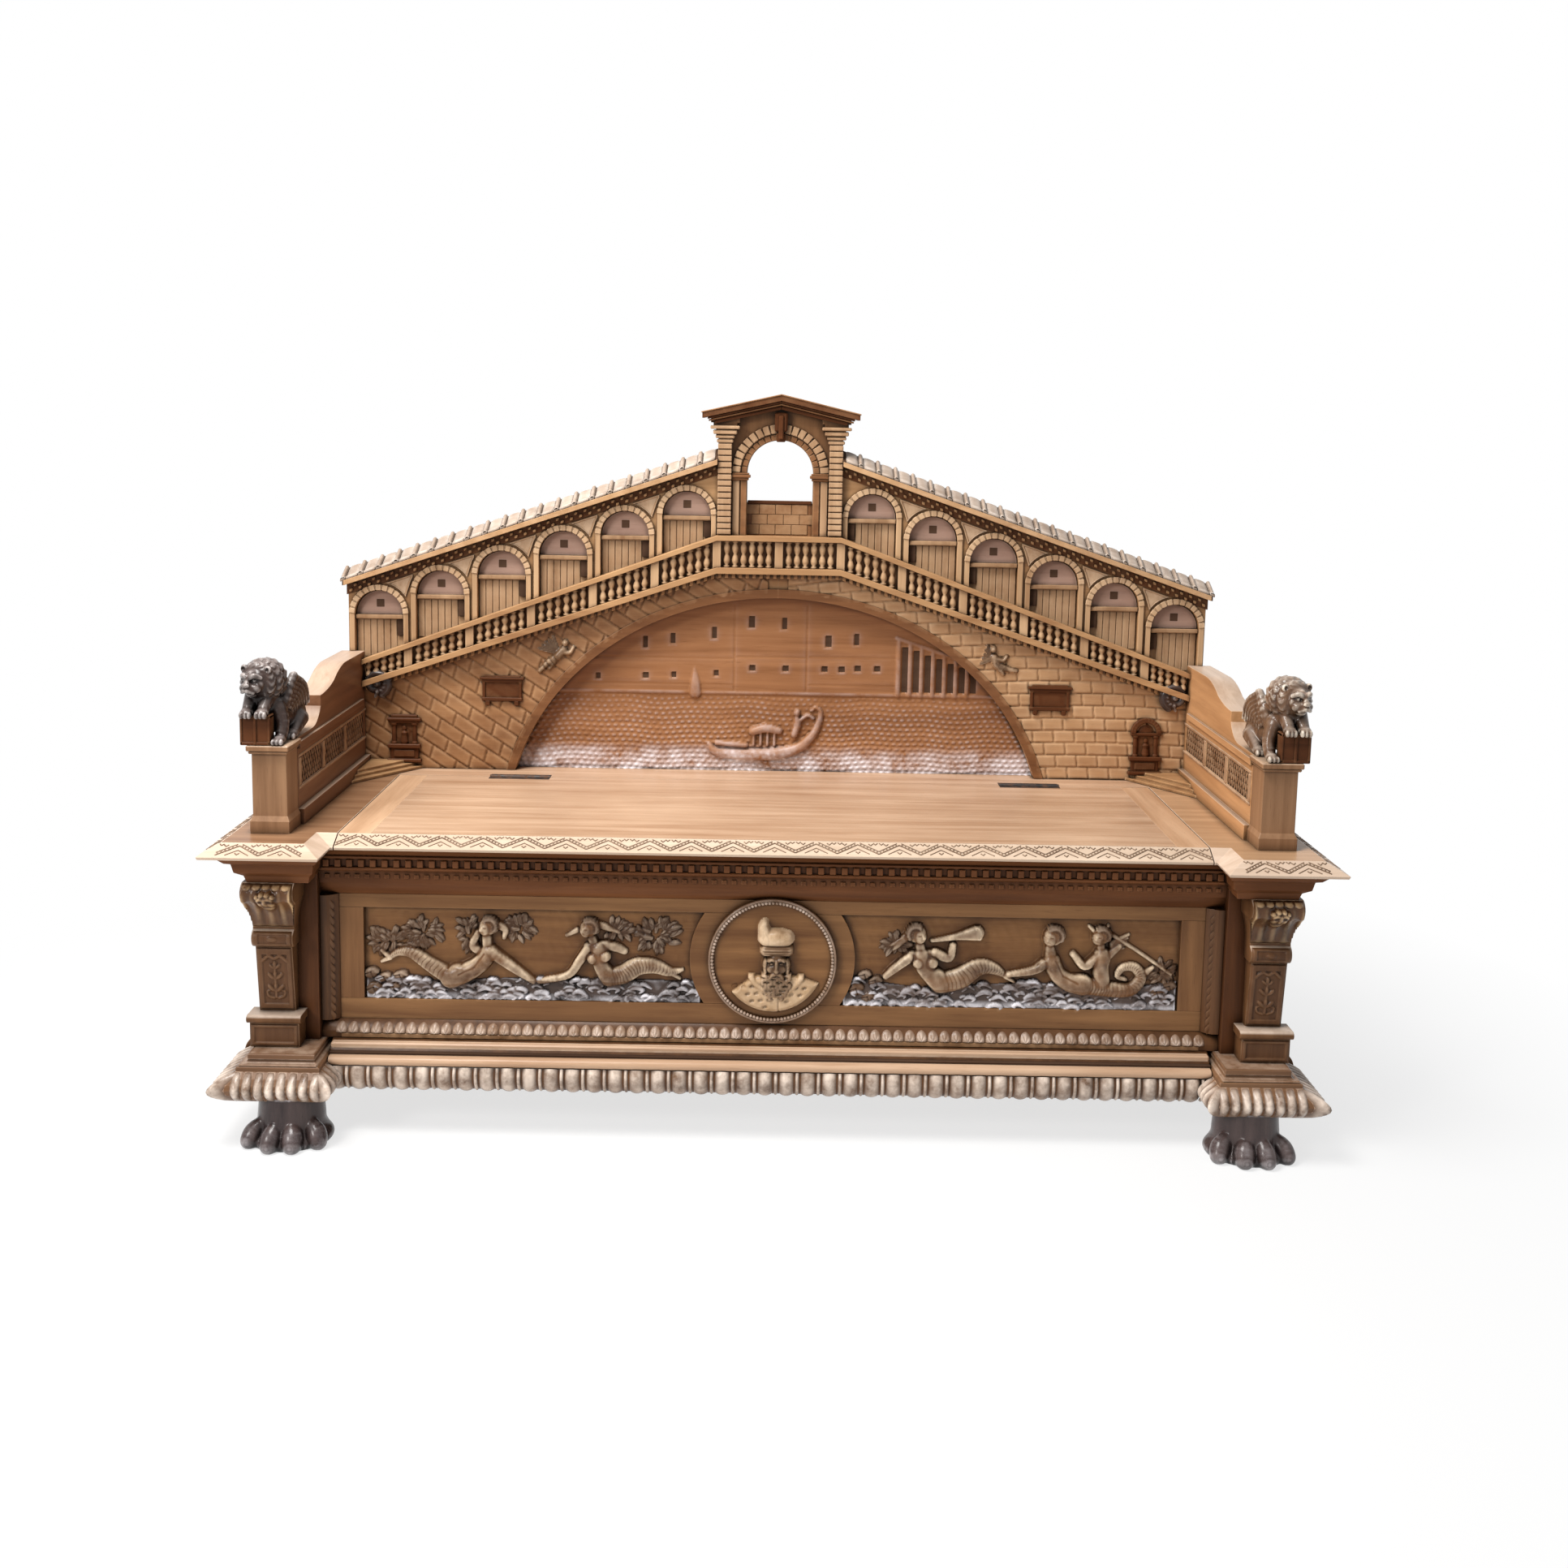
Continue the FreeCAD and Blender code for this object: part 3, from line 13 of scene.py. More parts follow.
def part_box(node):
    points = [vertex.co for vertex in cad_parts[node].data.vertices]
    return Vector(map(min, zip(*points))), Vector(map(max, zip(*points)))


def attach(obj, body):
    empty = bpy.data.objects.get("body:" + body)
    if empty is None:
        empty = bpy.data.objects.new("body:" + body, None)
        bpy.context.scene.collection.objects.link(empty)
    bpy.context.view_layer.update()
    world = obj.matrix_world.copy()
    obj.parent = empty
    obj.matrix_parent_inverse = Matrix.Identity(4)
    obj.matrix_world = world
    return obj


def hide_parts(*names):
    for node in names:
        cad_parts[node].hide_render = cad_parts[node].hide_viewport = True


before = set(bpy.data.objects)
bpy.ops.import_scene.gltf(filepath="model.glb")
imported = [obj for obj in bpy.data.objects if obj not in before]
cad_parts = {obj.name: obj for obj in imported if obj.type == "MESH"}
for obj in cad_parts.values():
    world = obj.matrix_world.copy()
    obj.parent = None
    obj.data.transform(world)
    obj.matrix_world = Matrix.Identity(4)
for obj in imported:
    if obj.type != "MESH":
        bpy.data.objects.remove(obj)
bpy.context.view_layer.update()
scene = bpy.context.scene
METRE = 1000.0


def corners(node):
    """Lowest and highest corner of a solid of the frame, in millimetres."""
    low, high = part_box(node)
    return np.array(low) * METRE, np.array(high) * METRE


# Places read from the frame
wall_front = corners("bridge_wall_right")[0][1]
wall_half = corners("bridge_wall_right")[1][0]
backing_front = corners("bridge_backing")[0][1]
rail_front = corners("handrail")[0][1]
arm_inner = corners("handrail")[1][0]
seat_top = corners("bridge_wall_right")[0][2]
frame_front = corners("front_bottom_rail")[0][1]
panel_low, panel_high = corners("relief_panel_right")
medal_low, medal_high = corners("medallion")
lid_low, lid_high = corners("lid_edge_moulding")
base_low, base_high = corners("base_moulding_front")
cushion_low, cushion_high = corners("pedestal_bases")
leaf_low, leaf_high = corners("leaf_moulding")
post_low, post_high = corners("arm_posts")
tip_x = corners("seat_end_right")[1][0]
tip_y = corners("seat_end_right")[0][1]
foot_top = corners("foot_front_right")[1][2]

# Rake of the bridge, as on the solids
shops = 6
portico_half = 121.5
bay_pitch = (wall_half - portico_half) / shops
eave_slope = 0.3415
eave_foot = seat_top + 369.0
foot_rail_crown = seat_top + 404.0
foot_rail_slope = 0.341
foot_rail_thickness = 12.0
handrail_crown = corners("handrail")[1][2]
handrail_slope = 0.369
handrail_thickness = 10.0
arch_half_span = 538.0
arch_rise = 480.0
arch_centre = seat_top - 125.0

# Other places, as on the solids; a shop's arch springs below its own crown
shop_spring = -58.0
door_front = wall_front + 12.0
pier_inner = 776.0
post_inner = post_high[0] - 62.0
console_middle = 842.0
surround_radius = 143.0
splay_run = 32.0
splay_drop = 17.0


def eave_z(x):
    """Eave line over a place on the wall."""
    return eave_foot + eave_slope * (wall_half - np.abs(x))


def foot_z(x):
    """Underside of the balustrade's foot rail."""
    return foot_rail_crown - foot_rail_slope * np.maximum(0.0, np.abs(x) - portico_half)


def hand_z(x):
    """Top of the handrail."""
    return handrail_crown - handrail_slope * np.maximum(0.0, np.abs(x) - portico_half)


# Node building

def fill(tree, socket, value):
    """Set a socket, or link it where the value is another node's socket."""
    if isinstance(value, bpy.types.NodeSocket):
        tree.links.new(value, socket)
    else:
        socket.default_value = value


def wire(tree, node, **values):
    """Fill a node's named sockets."""
    for label, value in values.items():
        fill(tree, node.inputs[label.replace("_", " ")], value)


def add(tree, kind, *values, **settings):
    """New node; lower-case settings are properties, the others are sockets, and values fill its first sockets."""
    node = tree.nodes.new(kind)
    for key, value in settings.items():
        if key[0].islower():
            setattr(node, key, value)
        else:
            wire(tree, node, **{key: value})
    for socket, value in zip(node.inputs, values):
        fill(tree, socket, value)
    return node


def reckon(tree, operation, *values):
    """Result of a sum on values or sockets."""
    return add(tree, "ShaderNodeMath", *values, operation=operation).outputs[0]


def remap(tree, value, low, high, to_low=0.0, to_high=1.0):
    """Clamped change of range of a value socket."""
    return add(tree, "ShaderNodeMapRange", value, low, high, to_low, to_high).outputs["Result"]


def mix_colour(tree, factor, first, second):
    """Mix of two colours by a mask."""
    node = add(tree, "ShaderNodeMix", data_type="RGBA")
    for place, value in zip((0, 6, 7), (factor, first, second)):
        fill(tree, node.inputs[place], value)
    return node.outputs[2]


def noise(tree, place, scale, detail, roughness, distortion=0.0):
    """Noise over a place."""
    return add(tree, "ShaderNodeTexNoise", Vector=place, Scale=scale, Detail=detail, Roughness=roughness,
               Distortion=distortion).outputs["Fac"]


def node_group(name, kind, inputs, outputs):
    """Empty node group with named sockets: its tree, its inputs and its output node."""
    tree = bpy.data.node_groups.new(name, kind)
    for in_out, sockets in (("INPUT", inputs), ("OUTPUT", outputs)):
        for label, (what, *default) in sockets.items():
            face = tree.interface.new_socket(name=label, in_out=in_out, socket_type="NodeSocket" + what)
            if default:
                face.default_value = default[0]
    return tree, add(tree, "NodeGroupInput").outputs, add(tree, "NodeGroupOutput")


# Shader groups

def walnut_grain_group():
    """Long fibres, dark veins, pores and broad cloudiness of planed walnut."""
    tree, given, answer = node_group("walnut_grain", "ShaderNodeTree", {
        "Stretch": ("Vector", (2.0, 30.0, 30.0)), "Light": ("Color", (0.5, 0.3, 0.16, 1.0)),
        "Dark": ("Color", (0.25, 0.12, 0.06, 1.0)), "Veins": ("Float", 0.5)},
        {"Colour": ("Color",), "Height": ("Float",), "Polish": ("Float",)})
    place = add(tree, "ShaderNodeTexCoord").outputs["Object"]
    fibres = add(tree, "ShaderNodeMapping", Vector=place, Scale=given["Stretch"]).outputs["Vector"]
    streak = noise(tree, fibres, 1.6, 7.0, 0.62, 0.35)
    vein = noise(tree, fibres, 0.55, 3.0, 0.5, 1.2)
    pore = noise(tree, fibres, 14.0, 2.0, 0.7)
    cloud = noise(tree, place, 3.2, 3.0, 0.55)
    body = remap(tree, reckon(tree, "MULTIPLY_ADD", cloud, 0.55, streak), 0.5, 1.02)
    ground = mix_colour(tree, body, given["Dark"], given["Light"])
    line = reckon(tree, "MULTIPLY", remap(tree, vein, 0.62, 0.72), given["Veins"])
    veined = mix_colour(tree, line, ground, given["Dark"])
    speck = remap(tree, pore, 0.62, 0.75, 0.0, 0.5)
    wire(tree, answer, Colour=mix_colour(tree, speck, veined, given["Dark"]),
         Height=reckon(tree, "SUBTRACT", body, speck), Polish=remap(tree, cloud, 0.3, 0.7, -0.07, 0.09))
    return tree


def shaded_recess_and_wear_group():
    """Old wax and dust, with painted shade, in the hollows; scuffed wood with a painted highlight on the raised
    edges.
    """
    tree, given, answer = node_group("shaded_recess_and_wear", "ShaderNodeTree",
                                     {"Colour": ("Color",), "Hollow Colour": ("Color", (0.03, 0.015, 0.008, 1.0)),
                                      "Rubbed Colour": ("Color", (0.6, 0.4, 0.25, 1.0)),
                                      "Hollow Reach": ("Float", 0.02), "Hollow Depth": ("Float", 0.8),
                                      "Crest": ("Float", 0.0), "Rub": ("Float", 0.5)}, {"Colour": ("Color",)})
    hollow = add(tree, "ShaderNodeAmbientOcclusion", samples=8, Distance=given["Hollow Reach"]).outputs["AO"]
    blotch = noise(tree, add(tree, "ShaderNodeTexCoord").outputs["Object"], 28.0, 4.0, 0.65)
    # Painted shade with dust and wax: the hollows found by occlusion are darkened.
    dirt_and_shade = reckon(tree, "MULTIPLY", remap(tree, hollow, 0.9, 0.35), given["Hollow Depth"])
    dulled_and_shaded = mix_colour(tree, dirt_and_shade, given["Colour"], given["Hollow Colour"])
    # Painted highlight with scuffing: the crests are paled in blotches.
    worn_and_highlit = reckon(tree, "MULTIPLY", given["Crest"], remap(tree, blotch, 0.3, 0.62))
    share = reckon(tree, "MULTIPLY", worn_and_highlit, given["Rub"])
    wire(tree, answer, Colour=mix_colour(tree, share, dulled_and_shaded, given["Rubbed Colour"]))
    return tree


def arris_group():
    """Mask of the outer arrises of a solid piece."""
    tree, given, answer = node_group("outer_arris", "ShaderNodeTree", {"Reach": ("Float", 0.003)},
                                     {"Crest": ("Float",)})
    edge = add(tree, "ShaderNodeAmbientOcclusion", samples=6, inside=True, Distance=given["Reach"])
    wire(tree, answer, Crest=remap(tree, edge.outputs["AO"], 0.75, 0.35))
    return tree


grain_group = walnut_grain_group()
shade_and_wear_group = shaded_recess_and_wear_group()
edge_group = arris_group()
ALONG_SEAT = (1.6, 26.0, 26.0)
ALONG_DEPTH = (26.0, 1.6, 26.0)
UPRIGHT = (26.0, 26.0, 1.6)


def plain_material(name):
    """New material: itself, its tree and its surface."""
    material = bpy.data.materials.new(name)
    material.use_nodes = True
    return material, material.node_tree, material.node_tree.nodes["Principled BSDF"]


def wood(name, light, dark, rubbed, stretch=ALONG_SEAT, rough=0.42, coat=0.12, veins=0.5, hollow=0.8, reach=0.022,
         rub=0.5, carved=False, splay=None, shine=0.14):
    """Waxed wood: grain, dust and painted shade in the hollows and a thin coat of wax; splay gives a painted sheen, a
    paler grain on faces that look up.

    The crests, paled by scuffing and by a painted highlight, come from the carving's own mark on its points, or from
    the arrises of a plain solid.
    """
    # Colour of the hollows: grime and painted shade.
    soot_and_shade = 0.16
    grain_depth = 0.0006
    material, tree, surface = plain_material(name)
    grain = add(tree, "ShaderNodeGroup", node_tree=grain_group, Stretch=stretch, Light=(*light, 1.0),
                Dark=(*dark, 1.0), Veins=veins)
    ground = grain.outputs["Colour"]
    # Painted sheen: with splay, faces that look up are mixed towards a paler grain.
    if splay:
        pale = add(tree, "ShaderNodeGroup", node_tree=grain_group, Stretch=stretch, Light=(*splay[0], 1.0),
                   Dark=(*splay[1], 1.0))
        facing = add(tree, "ShaderNodeSeparateXYZ", add(tree, "ShaderNodeTexCoord").outputs["Normal"])
        ground = mix_colour(tree, remap(tree, facing.outputs["Z"], *splay[2:]), ground, pale.outputs["Colour"])
    if carved:
        crest = add(tree, "ShaderNodeAttribute", attribute_name="rubbed").outputs["Fac"]
    else:
        crest = add(tree, "ShaderNodeGroup", node_tree=edge_group).outputs["Crest"]
    # Painted shade darkens the hollows and a painted highlight pales the crests, along with dust and scuffing.
    wear_and_highlight = add(tree, "ShaderNodeGroup", node_tree=shade_and_wear_group, Colour=ground,
               Hollow_Colour=(*[soot_and_shade * c for c in dark], 1.0), Rubbed_Colour=(*rubbed, 1.0), Hollow_Reach=reach,
               Hollow_Depth=hollow, Crest=crest, Rub=rub)
    relief = add(tree, "ShaderNodeBump", Strength=0.25, Distance=grain_depth, Height=grain.outputs["Height"])
    wire(tree, surface, Base_Color=wear_and_highlight.outputs["Colour"], Normal=relief.outputs["Normal"],
         Roughness=reckon(tree, "ADD", grain.outputs["Polish"], rough), Specular_IOR_Level=shine, Coat_Weight=coat,
         Coat_Roughness=0.22)
    return material


# Third colour of each finish: its crest colour, paler by scuffing and by a painted highlight.
bridge_wood = wood("bridge_walnut", (0.54, 0.32, 0.155), (0.27, 0.13, 0.056), (0.7, 0.46, 0.27), reach=0.012,
                   hollow=0.95, coat=0.05)
bridge_upright = wood("bridge_walnut_upright", (0.62, 0.41, 0.235), (0.31, 0.17, 0.085), (0.74, 0.54, 0.36),
                      stretch=UPRIGHT, reach=0.011, hollow=0.95, coat=0.05)
stone_wood = wood("portico_stone_walnut", (0.54, 0.35, 0.205), (0.28, 0.15, 0.075), (0.74, 0.56, 0.4),
                  stretch=UPRIGHT, reach=0.012, hollow=0.97, coat=0.05)
portico_ground = wood("portico_walnut", (0.3, 0.15, 0.066), (0.14, 0.062, 0.026), (0.5, 0.3, 0.16),
                      stretch=UPRIGHT, coat=0.05)
band_wood = wood("arch_band_walnut", (0.26, 0.115, 0.047), (0.125, 0.05, 0.02), (0.46, 0.27, 0.14), rough=0.4,
                 coat=0.05, reach=0.008)
facing_wood = wood("stone_facing_walnut", (0.37, 0.19, 0.085), (0.185, 0.08, 0.034), (0.6, 0.38, 0.21), coat=0.05,
                   reach=0.012, hollow=0.95, rub=0.6, carved=True)
sunlit_facing = wood("stone_facing_walnut_pale", (0.56, 0.335, 0.175), (0.3, 0.155, 0.072), (0.74, 0.52, 0.33),
                     coat=0.05, reach=0.012, hollow=0.95, rub=0.6, carved=True)
scene_wood = wood("scene_board_walnut", (0.4, 0.19, 0.085), (0.2, 0.08, 0.03), (0.86, 0.83, 0.88), rough=0.36,
                  coat=0.08, reach=0.012, hollow=0.95, rub=1.0, carved=True)
gable_wood = wood("gable_walnut", (0.13, 0.046, 0.018), (0.06, 0.021, 0.009), (0.36, 0.2, 0.1), coat=0.02, rub=0.22,
                  shine=0.06, reach=0.007)
seat_wood = wood("seat_walnut", (0.63, 0.43, 0.29), (0.37, 0.21, 0.12), (0.76, 0.58, 0.43), rough=0.34, coat=0.1,
                 veins=1.0, hollow=0.9, reach=0.01)
cleat_wood = wood("seat_walnut_cross", (0.66, 0.43, 0.27), (0.41, 0.23, 0.125), (0.76, 0.56, 0.4),
                  stretch=ALONG_DEPTH, rough=0.36, coat=0.1, hollow=0.8, reach=0.008)
# Shaded copy of the seat-end finish for the left end; splay paints the faces that slope away from the flat top paler
# as painted light.
shaded_seat_end_wood = wood("seat_end_walnut_shaded", (0.35, 0.197, 0.108), (0.18, 0.086, 0.042), (0.76, 0.6, 0.47), rough=0.36,
                     coat=0.1, hollow=0.9, splay=((0.74, 0.58, 0.46), (0.52, 0.37, 0.26), 0.97, 0.93))
# Sunlit copy for the right end: painted light.
sunlit_end = wood("seat_end_walnut_sunlit", (0.57, 0.355, 0.205), (0.34, 0.19, 0.1), (0.76, 0.6, 0.47), rough=0.36,
                  coat=0.1, hollow=0.9, splay=((0.74, 0.58, 0.46), (0.52, 0.37, 0.26), 0.97, 0.93))
# Shaded copy of the arm finish for the left arm, with painted sheen on faces that look up.
shaded_arm_wood = wood("arm_walnut_shaded", (0.26, 0.122, 0.062), (0.125, 0.053, 0.026), (0.5, 0.32, 0.2), stretch=ALONG_DEPTH,
                rough=0.4, coat=0.06, hollow=0.92, reach=0.012,
                splay=((0.6, 0.44, 0.33), (0.38, 0.25, 0.17), 0.3, 0.9))
# Sunlit copy for the right arm: painted light, with the same painted sheen on faces that look up.
sunlit_arm = wood("arm_walnut_sunlit", (0.64, 0.35, 0.165), (0.35, 0.17, 0.072), (0.74, 0.52, 0.32),
                  stretch=ALONG_DEPTH, rough=0.4, coat=0.08, hollow=0.92,
                  splay=((0.66, 0.5, 0.38), (0.42, 0.28, 0.19), 0.25, 0.7))
# Pale as painted light on the edge's upward-facing splay.
sunlit_edge_wood = wood("carved_edge_sunlit", (0.7, 0.55, 0.42), (0.46, 0.32, 0.22), (0.78, 0.66, 0.54), rough=0.4, coat=0.1,
                 hollow=0.9, reach=0.008)
incised_wood = wood("incised_lines", (0.2, 0.12, 0.075), (0.1, 0.055, 0.034), (0.4, 0.28, 0.19),
                    rough=0.5, reach=0.006)
chest_wood = wood("chest_walnut", (0.295, 0.147, 0.059), (0.13, 0.055, 0.021), (0.46, 0.28, 0.15), rough=0.4,
                  coat=0.06, hollow=0.9)
chest_upright = wood("chest_walnut_upright", (0.285, 0.137, 0.056), (0.12, 0.051, 0.02), (0.46, 0.28, 0.15),
                     stretch=UPRIGHT, coat=0.06, hollow=0.9)
# splay: painted sheen, a paler grain on faces that look up.
post_wood = wood("post_walnut", (0.36, 0.2, 0.105), (0.18, 0.088, 0.042), (0.58, 0.39, 0.25), stretch=UPRIGHT,
                 coat=0.06, splay=((0.6, 0.44, 0.32), (0.4, 0.26, 0.17), 0.4, 0.8))
# Darkened as painted shade on top of the walnut's tone.
shaded_pier_wood = wood("pier_walnut_shaded", (0.125, 0.046, 0.017), (0.055, 0.02, 0.008), (0.34, 0.17, 0.08), stretch=UPRIGHT,
                 rough=0.38, coat=0.04, shine=0.08)
# Darkened as painted shade under the lid's overhang, on top of the walnut's tone.
shaded_cornice_wood = wood("cornice_walnut_shaded", (0.19, 0.072, 0.027), (0.09, 0.032, 0.012), (0.36, 0.18, 0.085), rough=0.4,
                    coat=0.04, shine=0.08, hollow=0.92)
base_wood = wood("base_walnut", (0.23, 0.12, 0.06), (0.11, 0.05, 0.024), (0.6, 0.44, 0.33), rough=0.34, coat=0.1,
                 hollow=0.97, reach=0.012, rub=0.5)
relief_wood = wood("relief_walnut", (0.305, 0.148, 0.056), (0.118, 0.047, 0.017), (0.5, 0.3, 0.16), rough=0.36,
                   coat=0.06, reach=0.03, hollow=0.97, rub=0.4, carved=True)
figure_wood = wood("figure_walnut", (0.205, 0.09, 0.033), (0.062, 0.025, 0.01), (0.94, 0.74, 0.52), rough=0.28,
                   coat=0.2, reach=0.024, hollow=0.99, rub=0.95, carved=True, shine=0.2)
wave_wood = wood("wave_walnut", (0.13, 0.085, 0.066), (0.036, 0.024, 0.021), (0.96, 0.93, 0.98), rough=0.26,
                 coat=0.15, reach=0.02, hollow=0.98, rub=1.0, carved=True, shine=0.16)
foliage_wood = wood("foliage_walnut", (0.13, 0.062, 0.028), (0.045, 0.02, 0.01), (0.66, 0.5, 0.37), rough=0.28,
                    coat=0.12, reach=0.02, hollow=0.98, rub=0.6, carved=True, shine=0.12)
robe_wood = wood("robe_walnut", (0.5, 0.32, 0.17), (0.3, 0.17, 0.08), (0.82, 0.61, 0.41), rough=0.32, coat=0.2,
                 reach=0.012, hollow=0.97, rub=0.9, carved=True)
beard_wood = wood("beard_walnut", (0.16, 0.078, 0.033), (0.055, 0.024, 0.01), (0.76, 0.54, 0.35), rough=0.3,
                  coat=0.25, reach=0.016, hollow=0.98, rub=0.65, carved=True)
moulding_wood = wood("carved_moulding", (0.2, 0.112, 0.064), (0.07, 0.034, 0.018), (0.95, 0.8, 0.68), rough=0.3,
                     coat=0.25, reach=0.016, hollow=0.99, rub=1.0, carved=True, shine=0.18)
leaf_wood = wood("leaf_walnut", (0.28, 0.165, 0.097), (0.13, 0.066, 0.035), (0.82, 0.66, 0.55), rough=0.32, coat=0.25,
                 reach=0.016, hollow=0.98, rub=1.0, carved=True)
stile_wood = wood("stile_leaf_walnut", (0.15, 0.066, 0.027), (0.06, 0.025, 0.01), (0.34, 0.19, 0.1), stretch=UPRIGHT,
                  reach=0.014, hollow=0.98, rub=0.45, carved=True)
console_wood = wood("console_walnut", (0.155, 0.069, 0.029), (0.07, 0.029, 0.012), (0.42, 0.25, 0.14),
                    stretch=UPRIGHT, rough=0.36, coat=0.08, reach=0.014, hollow=0.8, rub=0.3, carved=True)
volute_wood = wood("volute_walnut", (0.16, 0.07, 0.027), (0.035, 0.014, 0.006), (0.78, 0.53, 0.29), stretch=UPRIGHT,
                   rough=0.26, coat=0.2, reach=0.024, hollow=0.99, rub=0.8, carved=True, shine=0.18)
# splay: painted sheen, a paler grain on faces that look up.
console_plain = wood("console_plain_walnut", (0.19, 0.09, 0.038), (0.08, 0.034, 0.014), (0.46, 0.29, 0.17),
                     stretch=UPRIGHT, rough=0.38, coat=0.06, splay=((0.66, 0.53, 0.43), (0.42, 0.3, 0.22), 0.35, 0.8))
# Painted sheen on faces that look up and a near-white painted highlight on crests; the left lion's darker finish
# beside the sunlit copy.
dark_wood = wood("dark_walnut", (0.07, 0.04, 0.03), (0.018, 0.011, 0.01), (0.95, 0.86, 0.82), stretch=UPRIGHT,
                 rough=0.24, coat=0.3, reach=0.03, hollow=0.99, rub=0.66, shine=0.14, carved=True,
                 splay=((0.36, 0.3, 0.28), (0.2, 0.155, 0.145), 0.4, 1.5))
# Near-white crest colour: painted highlight with scuffing.
paw_wood = wood("paw_walnut", (0.1, 0.068, 0.063), (0.027, 0.018, 0.019), (0.95, 0.88, 0.9), stretch=UPRIGHT,
                rough=0.24, coat=0.3, reach=0.03, hollow=0.99, rub=0.95, shine=0.16, carved=True)
# Sunlit copy of the dark finish for the right lion: painted light, with painted sheen on faces that look up.
sunlit_lion = wood("dark_walnut_sunlit", (0.21, 0.112, 0.06), (0.045, 0.022, 0.014), (0.98, 0.86, 0.72),
                   stretch=UPRIGHT, rough=0.24, coat=0.3, reach=0.03, hollow=0.99, rub=0.9, carved=True,
                   splay=((0.6, 0.48, 0.4), (0.36, 0.28, 0.22), 0.4, 1.4))
lattice_wood = wood("lattice_walnut", (0.26, 0.125, 0.056), (0.11, 0.048, 0.02), (0.48, 0.3, 0.18),
                    stretch=ALONG_DEPTH, rough=0.45)
lunette_wood = wood("lunette_walnut", (0.44, 0.285, 0.22), (0.27, 0.16, 0.12), (0.56, 0.4, 0.31), rough=0.55,
                    reach=0.014, coat=0.0)
door_wood = wood("shop_door_walnut", (0.46, 0.29, 0.165), (0.23, 0.12, 0.058), (0.58, 0.4, 0.25), stretch=UPRIGHT,
                 rough=0.55, reach=0.01, coat=0.0, veins=0.9)
# Painted shade for gaps, holes and grounds where shade falls.
shadow_wood = wood("painted_shade_recess", (0.1, 0.056, 0.035), (0.05, 0.026, 0.016), (0.16, 0.1, 0.07), rough=0.7, rub=0.1,
                   coat=0.0, shine=0.05)
tile_wood = wood("roof_tile_walnut", (0.5, 0.395, 0.315), (0.27, 0.185, 0.13), (0.78, 0.7, 0.63), rough=0.33,
                 coat=0.15, reach=0.014, hollow=0.97)
pine = wood("carcass_pine", (0.52, 0.36, 0.2), (0.36, 0.22, 0.11), (0.6, 0.45, 0.28), rough=0.62, coat=0.0)


def iron_finish():
    """Dull old iron with brown rust in patches."""
    material, tree, surface = plain_material("old_iron")
    rust = noise(tree, add(tree, "ShaderNodeTexCoord").outputs["Object"], 90.0, 5.0, 0.6)
    bare, brown = (0.055, 0.05, 0.048, 1.0), (0.11, 0.05, 0.025, 1.0)
    wire(tree, surface, Base_Color=mix_colour(tree, remap(tree, rust, 0.45, 0.65), bare, brown),
         Metallic=remap(tree, rust, 0.4, 0.65, 0.85, 0.2), Roughness=remap(tree, rust, 0.4, 0.65, 0.42, 0.75))
    return material


iron = iron_finish()


# Finish of the solids

def soften(node, width):
    """Worn arrises on a solid of the frame, as modifiers over its own mesh."""
    weld = node.modifiers.new("weld", "WELD")
    weld.merge_threshold = 0.00001
    flats = node.modifiers.new("flats", "DECIMATE")
    flats.decimate_type = "DISSOLVE"
    flats.angle_limit = math.radians(1.0)
    arris = node.modifiers.new("arris", "BEVEL")
    arris.width = width / METRE
    arris.segments = 2
    arris.limit_method = "ANGLE"
    arris.angle_limit = math.radians(35.0)
    arris.harden_normals = False


finishes = {
    bridge_wood: ("bridge_wall_left", "bridge_wall_right", "foot_rail", "handrail", "corner_steps"),
    # Painted shade in the gaps between the roof tiles.
    shadow_wood: ("roofs",),
    bridge_upright: ("balustrade_posts", "arcade_arches", "arcade_doors", "balusters"),
    portico_ground: ("portico",),
    band_wood: ("archivolt",),
    scene_wood: ("bridge_backing",),
    gable_wood: ("pediment", "wall_plaques"),
    seat_wood: ("lid_boards", "seat_back_rail"),
    shaded_seat_end_wood: ("seat_end_left",),
    sunlit_end: ("seat_end_right",),
    cleat_wood: ("lid_cleats",),
    shaded_arm_wood: ("arm_board_left",),
    sunlit_arm: ("arm_board_right",),
    sunlit_edge_wood: ("lid_edge_moulding",),
    chest_wood: ("front_top_rail", "front_bottom_rail", "front_centre_block", "medallion_ring"),
    shaded_cornice_wood: ("dentil_cornice", "end_cornices"),
    base_wood: ("base_moulding_ends", "pedestal_bases"),
    chest_upright: ("front_stiles", "end_frames", "end_panels", "rear_posts"),
    shaded_pier_wood: ("piers",),
    console_plain: ("console_left", "console_right"),
    post_wood: ("arm_posts",),
    # The base front moulding shows only in the gaps between gadroons and bands; its dark finish is painted shade
    # there.
    stile_wood: ("leaf_moulding", "base_moulding_front"),
    relief_wood: ("relief_panel_left", "relief_panel_right", "medallion"),
    dark_wood: ("foot_front_left", "foot_front_right", "rear_feet", "lion_left", "lion_right"),
    pine: ("chest_back", "chest_floor", "floor_bearers", "lid_ledges", "rear_top_rail"),
    iron: ("hinge_leaves_lid", "hinge_leaves_fixed", "hinge_screws_lid", "hinge_screws_fixed", "hinge_pins"),
}
for finish, names in finishes.items():
    for name in names:
        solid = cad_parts[name]
        solid.data.materials.clear()
        solid.data.materials.append(finish)
        if finish not in (iron, dark_wood):
            soften(solid, 0.9)


# Meshes

